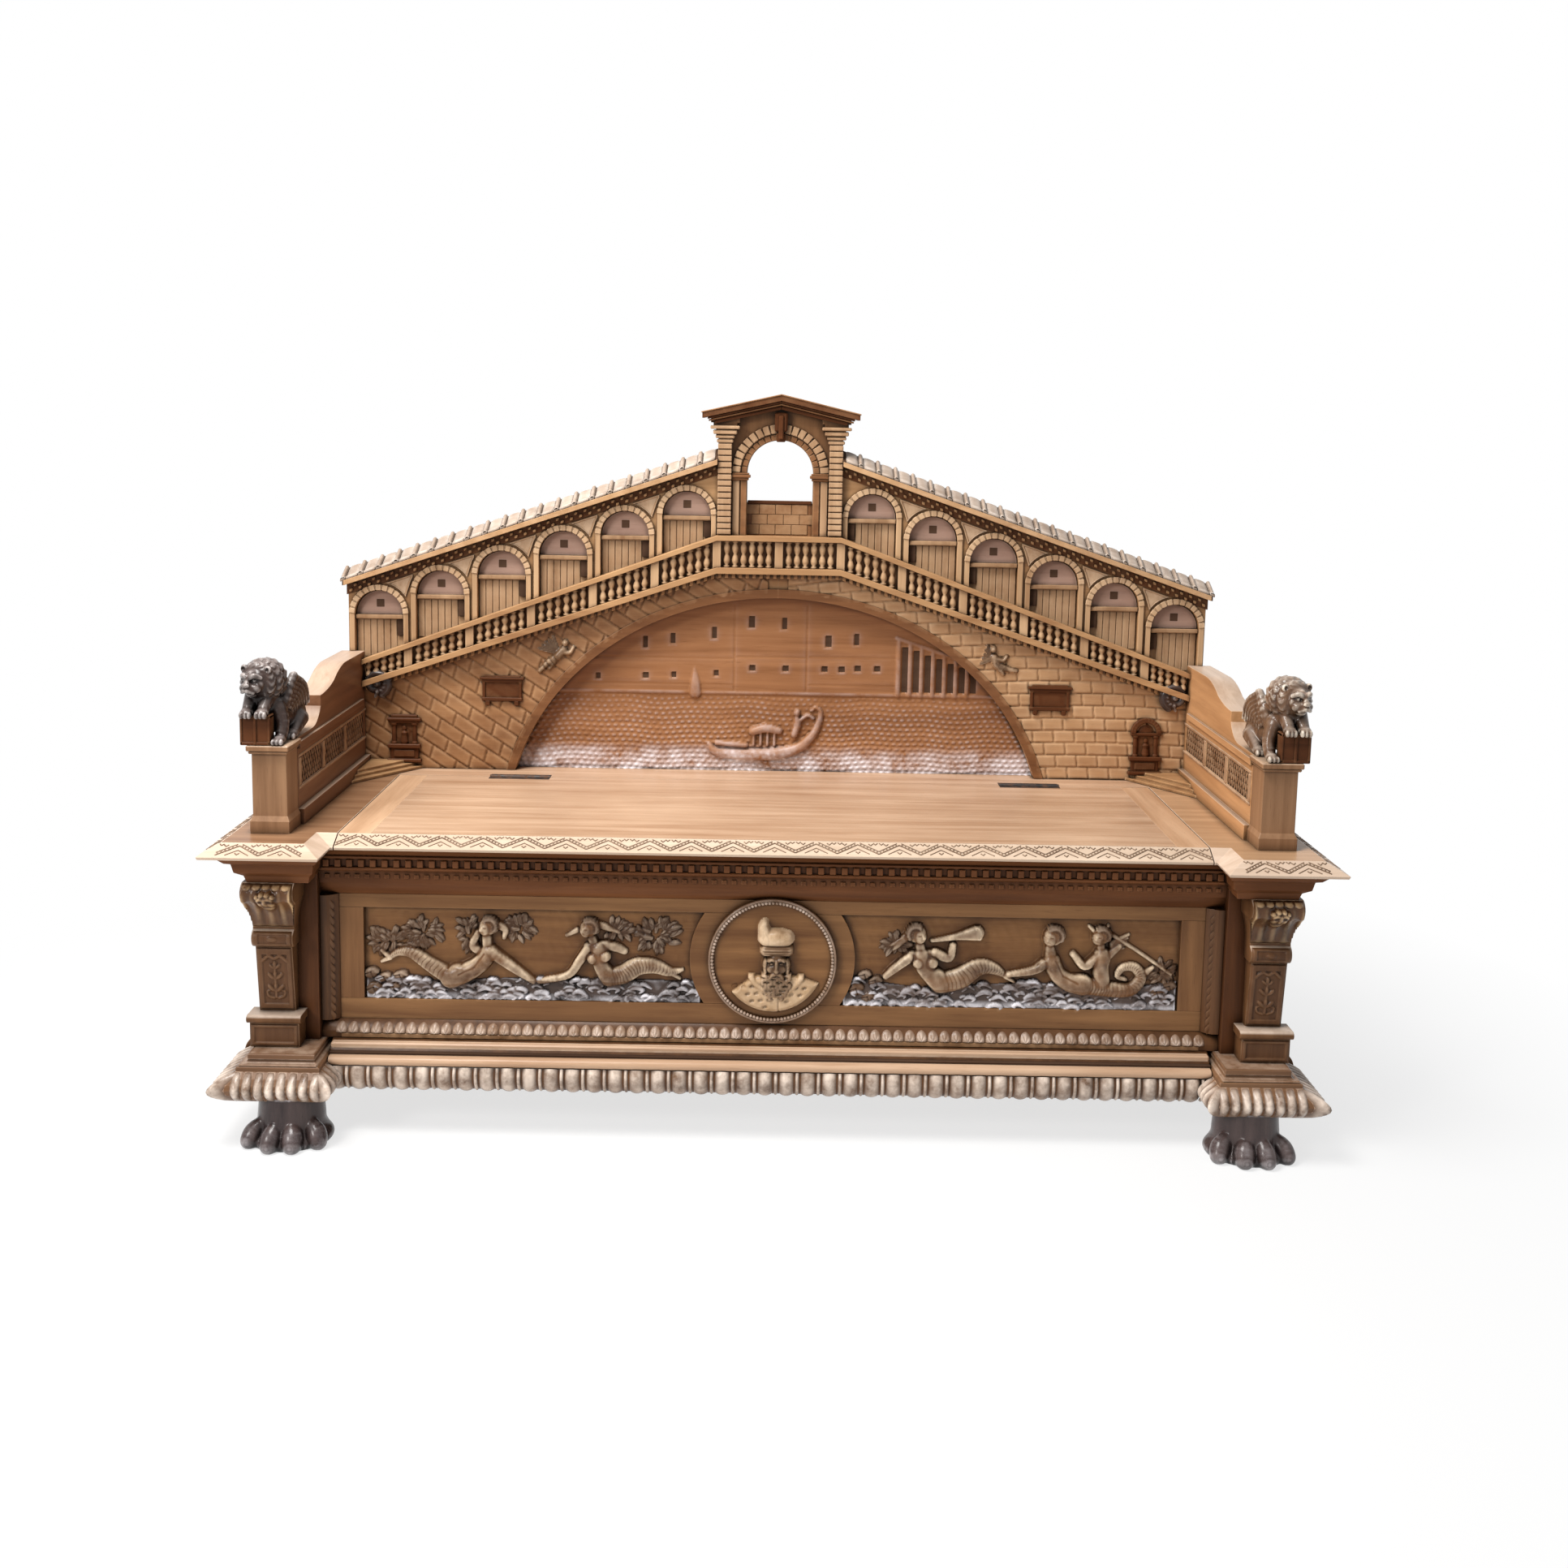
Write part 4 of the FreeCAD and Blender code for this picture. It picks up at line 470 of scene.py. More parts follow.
def mark_rubbed_and_highlit(mesh, shares):
    """Mark how far each point of a mesh is paled by scuffing and by a painted highlight."""
    mesh.attributes.new("rubbed", "FLOAT", "POINT").data.foreach_set("value", np.clip(shares, 0.0, 1.0))


def mesh_of(name, points, faces, rubbed=None):
    """Mesh from points in millimetres, with its marks of scuffing and painted highlight."""
    mesh = bpy.data.meshes.new(name)
    mesh.from_pydata((np.asarray(points, float) / METRE).tolist(), [], [tuple(map(int, f)) for f in faces])
    mark_rubbed_and_highlit(mesh, np.zeros(len(points)) if rubbed is None else rubbed)
    return mesh


def quads(rows, columns, closed=False):
    """Faces between rows of points; closed rows join up with their own start."""
    faces = []
    for i in range(rows - 1):
        for j in range(columns if closed else columns - 1):
            a = i * columns + j
            b = i * columns + (j + 1) % columns
            faces.append((a, b, b + columns, a + columns))
    return faces


def piece(name, mesh, finish, body="settle", smooth=True, twin=False, instead_of=None):
    """Finished piece of one or more meshes that rides on a body, with a twin on the other side where asked."""
    if isinstance(mesh, list):
        mesh = joined(name, mesh)
    if twin:
        mesh = joined(name, both_sides(mesh))
    mesh.materials.clear()
    mesh.materials.append(finish)
    if smooth:
        mesh.shade_smooth()
    made = bpy.data.objects.new(name, mesh)
    scene.collection.objects.link(made)
    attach(made, body)
    if instead_of:
        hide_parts(instead_of)


def joined(name, meshes):
    """One mesh from several."""
    build = bmesh.new()
    for mesh in meshes:
        build.from_mesh(mesh)
    made = bpy.data.meshes.new(name)
    build.to_mesh(made)
    build.free()
    return made


def moved(mesh, matrix):
    """Copy of a mesh, placed by a matrix in millimetres; a mirrored copy keeps its faces outwards."""
    made = mesh.copy()
    shift = matrix.copy()
    shift.translation = shift.translation / METRE
    made.transform(shift)
    if matrix.determinant() < 0:
        made.flip_normals()
    return made


MIRROR = Matrix.Diagonal((-1.0, 1.0, 1.0, 1.0))


def both_sides(mesh):
    """A mesh and its twin on the other side of the settle."""
    return [mesh, moved(mesh, MIRROR)]


def block(low, high, bevel):
    """Bevelled block between two corners."""
    # Every point is paled a little by scuffing and a painted highlight.
    wear_and_highlight = 0.6
    build = bmesh.new()
    bmesh.ops.create_cube(build, size=1.0)
    low = np.array(low, float)
    high = np.array(high, float)
    for vertex in build.verts:
        vertex.co = (low + (np.array(vertex.co) + 0.5) * (high - low)) / METRE
    bmesh.ops.bevel(build, geom=build.edges[:], offset=bevel / METRE, segments=1, affect="EDGES")
    made = bpy.data.meshes.new("block")
    build.to_mesh(made)
    build.free()
    mark_rubbed_and_highlit(made, np.full(len(made.vertices), wear_and_highlight))
    return made


def patch(name, point, across, along):
    """Sheet of quads; point(s, t) gives a place, and how far it is paled by scuffing and a painted highlight, for s
    from -1 to 1 and t from 0 to 1.
    """
    spots = [point(2.0 * j / across - 1.0, i / along) for i in range(along + 1) for j in range(across + 1)]
    rubbed = [1.0 if len(spot) < 4 else spot[3] for spot in spots]
    return mesh_of(name, [spot[:3] for spot in spots], quads(along + 1, across + 1), rubbed)


def turned(name, profile, sides):
    """Form of revolution about Z from (radius, height) pairs, closed at both ends."""
    turns = [2.0 * math.pi * k / sides for k in range(sides)]
    points = [(radius * math.cos(a), radius * math.sin(a), height) for radius, height in profile for a in turns]
    top = (len(profile) - 1) * sides
    faces = [tuple(reversed(range(sides))), *quads(len(profile), sides, True), tuple(range(top, top + sides))]
    return mesh_of(name, points, faces)


# Node trees that repeat a carving

def repeat_tree(name, sockets, lay):
    """Node tree that repeats one carving; lay gives the points, and the turn of each copy, from the tree's inputs."""
    inputs = {"Carving": ("Geometry",), "Count": ("Int", 2), **sockets, "Finish": ("Material",)}
    tree, given, answer = node_group(name, "GeometryNodeTree", inputs, {"Carvings": ("Geometry",)})
    copies = add(tree, "GeometryNodeInstanceOnPoints", Instance=given["Carving"], **lay(tree, given))
    solid = add(tree, "GeometryNodeRealizeInstances", copies.outputs["Instances"])
    paint = add(tree, "GeometryNodeSetMaterial", Geometry=solid.outputs["Geometry"], Material=given["Finish"])
    wire(tree, answer, Carvings=paint.outputs["Geometry"])
    return tree


def lay_row(tree, given):
    """Points of a straight row, with one at each end."""
    line = add(tree, "GeometryNodeMeshLine", mode="END_POINTS", Count=given["Count"], Start_Location=given["Start"],
               Offset=given["End"])
    return {"Points": line.outputs["Mesh"]}


def lay_arc(tree, given):
    """Points round part of a circle that faces the front, each copy's X axis pointing outwards."""
    line = add(tree, "GeometryNodeMeshLine", Count=given["Count"]).outputs["Mesh"]
    number = add(tree, "GeometryNodeInputIndex").outputs[0]
    angle = reckon(tree, "MULTIPLY_ADD", number, given["Step"], given["From"])
    x, z = (reckon(tree, "MULTIPLY", reckon(tree, wave, angle), given["Radius"]) for wave in ("COSINE", "SINE"))
    away = add(tree, "ShaderNodeCombineXYZ", X=x, Z=z).outputs[0]
    place = add(tree, "ShaderNodeVectorMath", away, given["Centre"], operation="ADD").outputs[0]
    ring = add(tree, "GeometryNodeSetPosition", Geometry=line, Position=place).outputs["Geometry"]
    turn = add(tree, "ShaderNodeCombineXYZ", Y=reckon(tree, "MULTIPLY", angle, -1.0)).outputs[0]
    return {"Points": ring, "Rotation": add(tree, "FunctionNodeEulerToRotation", turn).outputs[0]}


carving_row = repeat_tree("carving_row", {"Start": ("Vector",), "End": ("Vector",)}, lay_row)
carving_arc = repeat_tree("carving_arc", {"Centre": ("Vector",), "Radius": ("Float", 0.1), "From": ("Float", 0.0),
                                          "Step": ("Float", 0.1)}, lay_arc)


def grown(carving, tree, finish, values):
    """Plain mesh that a node tree grows from one carving."""
    seed = bpy.data.objects.new("seed", carving)
    scene.collection.objects.link(seed)
    growth = seed.modifiers.new("growth", "NODES")
    growth.node_group = tree
    settings = dict(values, Finish=finish)
    for face in tree.interface.items_tree:
        if face.in_out == "INPUT" and face.name in settings:
            growth[face.identifier] = settings[face.name]
    graph = bpy.context.evaluated_depsgraph_get()
    made = bpy.data.meshes.new_from_object(seed.evaluated_get(graph))
    bpy.data.objects.remove(seed)
    return made


def metres(point):
    """Place in metres from one in millimetres."""
    return tuple(float(c) / METRE for c in point)


def row(carving, finish, count, start, end):
    """Straight row of a carving between two places."""
    return grown(carving, carving_row, finish, {"Count": count, "Start": metres(start), "End": metres(end)})


def arc_of(carving, finish, count, centre, radius, first, step):
    """Carvings round a circle that faces the front."""
    return grown(carving, carving_arc, finish, {"Count": count, "Centre": metres(centre), "Radius": radius / METRE,
                                                "From": first, "Step": step})


# Stage

# Camera solved from the settle's own corners; the image is 1932 pixels square
image_side = 1932.0
focal_pixels = 1917.3
centre_pixel = (963.2, 761.0)
camera_place = Vector((-0.0117, -2.7828, 1.2278))
camera_yaw = math.radians(0.37)
camera_pitch = math.radians(7.2)
camera_roll = math.radians(1.08)


def make_camera():
    """Camera at the photograph's place and angle."""
    data = bpy.data.cameras.new("camera")
    data.sensor_width = 36.0
    data.lens = data.sensor_width * focal_pixels / image_side
    data.shift_x = (image_side / 2 - centre_pixel[0]) / image_side
    data.shift_y = (centre_pixel[1] - image_side / 2) / image_side
    forward = Vector((math.sin(camera_yaw) * math.cos(camera_pitch), math.cos(camera_yaw) * math.cos(camera_pitch),
                      -math.sin(camera_pitch)))
    right = Vector((math.cos(camera_yaw), -math.sin(camera_yaw), 0.0))
    up = right.cross(forward)
    across = math.cos(camera_roll) * right + math.sin(camera_roll) * up
    upward = -math.sin(camera_roll) * right + math.cos(camera_roll) * up
    camera = bpy.data.objects.new("camera", data)
    camera.matrix_world = Matrix((
        (across.x, upward.x, -forward.x, camera_place.x),
        (across.y, upward.y, -forward.y, camera_place.y),
        (across.z, upward.z, -forward.z, camera_place.z),
        (0.0, 0.0, 0.0, 1.0)))
    scene.collection.objects.link(camera)
    scene.camera = camera


def seen_directly(tree):
    """Mask of rays that come from the camera, a reflection or glass."""
    path = add(tree, "ShaderNodeLightPath").outputs
    mask = reckon(tree, "MAXIMUM", path["Is Camera Ray"], path["Is Glossy Ray"])
    return reckon(tree, "MAXIMUM", mask, path["Is Transmission Ray"])


WHITE = (1.0, 1.0, 1.0, 1.0)
floor_half = 9000.0


def white_surroundings():
    """World that lights softly and looks white."""
    world = bpy.data.worlds.new("studio")
    world.use_nodes = True
    scene.world = world
    tree = world.node_tree
    dim = tree.nodes["Background"]
    wire(tree, dim, Color=(0.93, 0.96, 1.0, 1.0), Strength=0.24)
    white = add(tree, "ShaderNodeBackground", Color=WHITE, Strength=1.0)
    shown = add(tree, "ShaderNodeMixShader", seen_directly(tree), dim.outputs[0], white.outputs[0])
    wire(tree, tree.nodes["World Output"], Surface=shown.outputs[0])


def pale_floor():
    """Matt floor that takes a shadow near the settle and fades to white away from it."""
    material, tree, matt = plain_material("pale_floor")
    wire(tree, matt, Base_Color=(0.86, 0.86, 0.86, 1.0), Roughness=0.9)
    glow = add(tree, "ShaderNodeEmission", Color=WHITE, Strength=1.0)
    away = add(tree, "ShaderNodeVectorMath", add(tree, "ShaderNodeTexCoord").outputs["Object"], operation="LENGTH")
    fade = remap(tree, away.outputs["Value"], 0.9, 1.9, 0.72, 1.0)
    share = reckon(tree, "MULTIPLY", fade, seen_directly(tree))
    blend = add(tree, "ShaderNodeMixShader", share, matt.outputs[0], glow.outputs[0])
    wire(tree, tree.nodes["Material Output"], Surface=blend.outputs[0])
    ring = ((-1, -1), (1, -1), (1, 1), (-1, 1))
    mesh = mesh_of("floor", [(floor_half * x, floor_half * y, 0.0) for x, y in ring], [(0, 1, 2, 3)])
    mesh.materials.append(material)
    floor = bpy.data.objects.new("floor", mesh)
    scene.collection.objects.link(floor)


def soft_lamps():
    """Broad light overhead and a weak one in front."""
    for name, place, target, size, power, colour in (
            ("overhead", (-1.1, -0.9, 3.3), (0.0, 0.0, 0.5), 1.4, 140.0, (1.0, 0.985, 0.96)),
            ("front_left", (-2.9, -3.0, 2.5), (0.0, 0.0, 0.6), 1.0, 76.0, (1.0, 0.98, 0.95))):
        lamp = bpy.data.lights.new(name, "AREA")
        lamp.size, lamp.energy, lamp.color = size, power, colour
        holder = bpy.data.objects.new(name, lamp)
        holder.location = place
        holder.rotation_euler = (Vector(target) - Vector(place)).to_track_quat("-Z", "Y").to_euler()
        scene.collection.objects.link(holder)


make_camera()
white_surroundings()
pale_floor()
soft_lamps()
scene.view_settings.view_transform = "Standard"


# Bridge back: arcade, balustrade, roofs and portico

def vase(height):
    """Small turned baluster with two bellies and a square-cut foot and head."""
    profile = ((6.2, 0.0), (6.2, 0.08), (3.4, 0.11), (6.6, 0.21), (7.0, 0.3), (5.0, 0.42), (3.0, 0.5), (5.0, 0.58),
               (6.9, 0.7), (6.4, 0.79), (3.4, 0.89), (6.2, 0.92), (6.2, 1.0))
    return turned("vase", [(radius, height * rise) for radius, rise in profile], 10)


def balustrade():
    """Balusters in every bay, standing on the raking foot rail before a sheet of painted shade."""
    meshes = []
    post_half = 8.0
    per_bay = 6
    depth = (rail_front + wall_front) / 2
    stops = [0.0] + [portico_half + k * bay_pitch for k in range(shops)] + [arm_inner + post_half]
    for left, right in zip(stops, stops[1:]):
        x0 = left + post_half
        x1 = right - post_half
        count = max(1, round(per_bay * (x1 - x0) / (bay_pitch - 2 * post_half)))
        pitch = (x1 - x0) / (count + 0.4)
        first = x0 + 0.7 * pitch
        last = x1 - 0.7 * pitch
        middle = (first + last) / 2
        height = hand_z(middle) - handrail_thickness - foot_z(middle) - foot_rail_thickness + 2.0
        ends = [(x, depth, foot_z(x) + foot_rail_thickness - 1.0) for x in (first, last)]
        meshes += both_sides(row(vase(height), bridge_upright, count, *ends))
    piece("turned_balusters", meshes, bridge_upright, instead_of="balusters")

    def ground(s, t):
        x = (arm_inner - 2.0) * s
        low = foot_z(x) + foot_rail_thickness - 3.0
        high = hand_z(x) - handrail_thickness + 3.0
        return (x, wall_front - 1.0, low + t * (high - low), 0.0)

    # Painted shade: a dark sheet on the wall behind the balusters.
    piece("balustrade_ground", patch("balustrade_ground", ground, 60, 2), band_wood, smooth=False)


def shop_front():
    """Details of one shop, about the top of its arch: voussoirs, planked doors and the lintel over them."""
    radius = 48.0
    stones = 13
    step = math.pi / stones
    voussoir = block((-0.8, -2.0, -5.0), (10.6, 2.5, 5.0), 0.9)
    arch = arc_of(voussoir, bridge_upright, stones, (0, wall_front - 5.0, shop_spring), radius, step / 2, step)
    lintel_low = -69.0
    plank = block((-6.2, -2.2, -76.0), (6.2, 1.0, 0.0), 1.1)
    planks = row(plank, bridge_upright, 6, (-26.0, door_front, lintel_low), (40.0, door_front, lintel_low))
    lintel = block((-47.5, -12.0, lintel_low + 1.0), (47.5, 0.5, -60.0), 1.4)
    return arch, [planks, moved(lintel, Matrix.Translation((0, door_front, 0)))]


def lunette():
    """Half-round panel over a shop, and painted shade in its small square window."""
    radius = 46.5
    base = -59.5
    steps = 20
    turns = [math.pi * k / steps for k in range(steps + 1)]
    points = [(radius * math.cos(a), y, base + radius * math.sin(a))
              for y in (door_front - 2.5, door_front) for a in turns]
    faces = [tuple(reversed(range(steps + 1))), *quads(2, steps + 1)]
    panel = mesh_of("lunette", points, [face[::-1] for face in faces])
    half = 7.5
    z = base + 22.0
    return panel, block((-half, door_front - 3.1, z - half), (half, door_front - 2.2, z + half), 0.2)


def spandrel_panel():
    """Raised rim and sunk field of the curved triangle between two arches, about the top of the inner arch."""
    reach = 63.5
    top = -1.5

    def flank(middle, drop, first, last):
        turns = np.radians(np.linspace(first, last, 9))
        line = [(middle + reach * math.cos(a), shop_spring - drop + reach * math.sin(a)) for a in turns]
        return [p for p in line if p[1] < top - eave_slope * p[0]]

    left = flank(0.0, 0.0, 24.0, 82.0)
    right = flank(bay_pitch, eave_slope * bay_pitch, 98.0, 146.0)
    corner = [(x, top - eave_slope * x) for x in (left[-1][0], right[0][0])]
    ring = np.array((left + corner + right)[::-1])
    middle = np.mean(ring, axis=0)
    levels = ((1.0, 0.3), (1.0, -3.6), (0.86, -3.6), (0.76, -1.6))
    points = [(x, wall_front + y, z) for share, y in levels for x, z in middle + share * (ring - middle)]
    field = tuple(range(3 * len(ring), 4 * len(ring)))
    return mesh_of("spandrel_panel", points, [*quads(len(levels), len(ring), True), field])


def arcade():
    """Stones, lunettes, doors and panels of all twelve shops."""
    first = portico_half + bay_pitch / 2
    start = np.array((first, 0.0, eave_z(first) - 22.0))
    step = np.array((bay_pitch, 0.0, -eave_slope * bay_pitch))
    end = start + (shops - 1) * step
    stones, doors = shop_front()
    panel, hole = lunette()
    # Painted shade at the side of each door's recess.
    painted_shade_side = block((-47.0, wall_front + 6.0, -102.0), (-33.5, wall_front + 11.0, -70.0), 0.4)
    for name, meshes, finish in (
            ("arcade_voussoirs", [stones], bridge_upright), ("shop_doors", doors, door_wood),
            ("shop_lunettes", [panel], lunette_wood), ("shop_shadows", [hole, painted_shade_side], shadow_wood)):
        piece(name, row(joined(name, meshes), finish, shops, start, end), finish, smooth=False, twin=True)
    panels = row(spandrel_panel(), stone_wood, shops - 1, start, end - step)
    piece("spandrel_panels", panels, stone_wood, smooth=False, twin=True)


def raking_row(carving, finish, count, x0, x1, depth, height, rise):
    """Row along a raking line of the bridge on both sides; height is a function of the place, rise is over it."""
    ends = [(x, depth, height(x) + rise) for x in (x0, x1)]
    return both_sides(row(carving, finish, count, *ends))


# Middle and half width of a tile's pan and of the roll beside it
tile_parts = ((0.0, 11.6), (17.7, 5.0))


def roof_tile():
    """Flat pan tile and the narrow roll beside it, on the roof's bevelled face and with the roof's rake."""
    bevel_run = 36.0
    bevel_rise = 19.3

    def cover(middle, width, rise, power):
        def point(s, t):
            swell = rise * max(0.0, math.cos(0.5 * math.pi * s)) ** power - 0.6
            x = middle + 0.5 * width * s
            return (x, bevel_run * t - 0.45 * swell - 1.0, bevel_rise * t + swell - eave_slope * x)
        return patch("cover", point, 6, 3)

    return joined("roof_tile", [cover(tile_parts[0][0], 23.6, 2.6, 0.3), cover(tile_parts[1][0], 10.4, 6.6, 0.6)])


def roofs():
    """Tiles on both roofs, fascia and dentils below the eaves and dentils below the foot rail."""
    roof_front = corners("roofs")[0][1]
    run = (21, portico_half + 18.0, wall_half - 12.0, roof_front + 5.0, eave_z)
    tiles = raking_row(roof_tile(), tile_wood, *run, 10.7)
    shear = Matrix.Identity(4)
    shear[2][0] = -eave_slope
    for middle, half in tile_parts:
        lip = moved(block((middle - half, -2.0, -3.5), (middle + half, 6.0, 3.5), 1.2), shear)
        tiles += raking_row(lip, tile_wood, *run, 12.0)
    piece("roof_tiles", tiles, tile_wood)
    crown = Matrix.Translation((0.0, 0.0, eave_z(0.0)))
    for name, finish, front, back, low, high in (
            ("eave_fascia", bridge_wood, roof_front - 1.5, roof_front + 7.0, -0.6, 9.4),
            ("eave_frieze", gable_wood, wall_front - 2.0, wall_front + 0.5, -21.0, 0.5)):
        strip = block((portico_half + 1.0, front, low), (wall_half + 3.0, back, high), 0.7)
        piece(name, moved(strip, crown @ shear), finish, smooth=False, twin=True)
    tooth = moved(block((-2.9, -6.0, -2.9), (2.9, 0.5, 2.9), 1.2), shear)
    eaves = []
    for start, rise in ((7.0, -6.5), (15.5, -14.5)):
        eaves += raking_row(tooth, bridge_wood, 40, portico_half + start, wall_half - 22.0 + start,
                            wall_front - 1.5, eave_z, rise)
    piece("eave_dentils", eaves, bridge_wood, smooth=False)
    dentil = block((-3.6, -17.0, -9.0), (3.6, 0.5, 0.5), 1.2)
    teeth = raking_row(moved(dentil, shear), bridge_wood, 50, portico_half + 8.0, arm_inner - 8.0, wall_front,
                       foot_z, 0.0)
    teeth.append(row(dentil, bridge_wood, 18, (-portico_half + 6.0, wall_front, foot_rail_crown),
                     (portico_half - 6.0, wall_front, foot_rail_crown)))
    piece("foot_rail_dentils", teeth, bridge_wood, smooth=False)


def portico_stones():
    """Rusticated pilasters with stepped heads, two rings of stones, imposts, keystone and raking mouldings."""
    opening = 64.5
    spring = seat_top + 665.0 - opening
    centre = (0, wall_front, spring)
    jamb_head = spring - 14.0
    back = wall_front + 1.0
    meshes = []
    pilaster = block((-13.4, -3.4, -4.9), (13.4, 1.0, 4.9), 1.3)
    x = portico_half - 13.0
    front = wall_front - 15.0
    meshes += both_sides(row(pilaster, stone_wood, 15, (x, front, handrail_crown + 7.0), (x, front, 1177.0)))
    head_steps = ((16.0, 3.0, 1184.0, 1191.0), (18.5, 5.0, 1192.5, 1199.0), (23.0, 8.0, 1200.5, 1209.0),
                  (28.5, 11.0, 1210.5, 1217.0))
    for half, reach, low, high in head_steps:
        meshes += both_sides(block((x - half, front - reach, low), (x + half, back, high), 1.6))
    outer = block((13.6, -7.0, -6.2), (31.0, 1.5, 6.2), 1.4)
    step = math.pi / 19
    meshes.append(arc_of(outer, stone_wood, 19, centre, opening, step / 2, step))
    meshes += both_sides(block((opening + 15.0, wall_front - 5.0, handrail_crown),
                               (opening + 29.0, back, jamb_head), 1.1))
    piece("portico_stones", meshes, stone_wood, smooth=False)
    inner = block((0.6, -2.4, -6.0), (12.0, 1.5, 6.0), 1.1)
    step = math.pi / 17
    rings = [arc_of(inner, band_wood, 17, centre, opening, step / 2, step)]
    rings += both_sides(block((opening + 1.0, wall_front - 2.4, handrail_crown),
                              (opening + 13.0, back, jamb_head), 1.1))
    for reach, low, high in ((3.0, -14.0, -9.0), (6.5, -9.0, -3.0), (4.0, -3.0, 0.5)):
        rings += both_sides(block((opening - reach, wall_front - 6.0 - reach, spring + low),
                                  (opening + 30.0, wall_front + 2.0, spring + high), 1.0))
    piece("portico_inner_ring", rings, band_wood, smooth=False)
    key_foot = spring + opening
    key = [block((-9.0, wall_front - 13.0, key_foot - 3.0), (9.0, back, key_foot + 15.0), 2.0),
           block((-12.5, wall_front - 17.0, key_foot + 16.5), (12.5, back, key_foot + 54.0), 3.0),
           block((-5.0, wall_front - 21.0, key_foot + 2.0), (5.0, wall_front - 8.0, key_foot + 49.0), 2.0)]
    piece("keystone", key, gable_wood, smooth=False)
    low, high = corners("pediment")
    tip, front, foot = high[0], low[1], low[2]
    rise = high[2] - 13.0 - foot
    tilt = Matrix.Identity(4)
    tilt[2][0] = -rise / tip
    tilt.translation = Vector((0, 0, foot + rise))
    for name, finish, bands in (("pediment_mouldings", band_wood,
                                 ((2.0, 10.5, 13.2, 2.0), (-7.0, -8.5, -5.0, -12.0))),
                                ("pediment_bed", gable_wood,
                                 ((-1.0, 1.0, 9.5, -3.0), (-5.0, -4.0, -0.2, -10.0), (-14.0, -16.0, -9.0, -24.0)))):
        meshes = []
        for reach, low, high, past in bands:
            band = block((0.0, front - reach, low), (tip + past, front + 34.0, high), 0.9)
            meshes += both_sides(moved(band, tilt))
        piece(name, meshes, finish, smooth=False)


balustrade()
arcade()
roofs()
portico_stones()


# Carving by form: raised fields for reliefs, solid fields for figures in the round

def smoothed(path, radii, steps=5):
    """Rounded path through the same places, with the thickness carried along."""
    stops = np.column_stack([np.array(path, float), np.array(radii, float)])
    if len(stops) < 3:
        return stops[:, :-1], stops[:, -1]
    ends = np.vstack([2 * stops[0] - stops[1], stops, 2 * stops[-1] - stops[-2]])
    made = []
    for a, b, c, d in zip(ends, ends[1:], ends[2:], ends[3:]):
        for t in np.arange(steps) / steps:
            made.append(0.5 * (2 * b + (c - a) * t + (2 * a - 5 * b + 4 * c - d) * t ** 2
                               + (3 * b - a - 3 * c + d) * t ** 3))
    made = np.array(made + [stops[-1]])
    return made[:, :-1], made[:, -1]


# Kinds of finish on one relief
GROUND, WATER, FOLIAGE, FIGURE, OPENING, ROBE, BEARD = range(7)


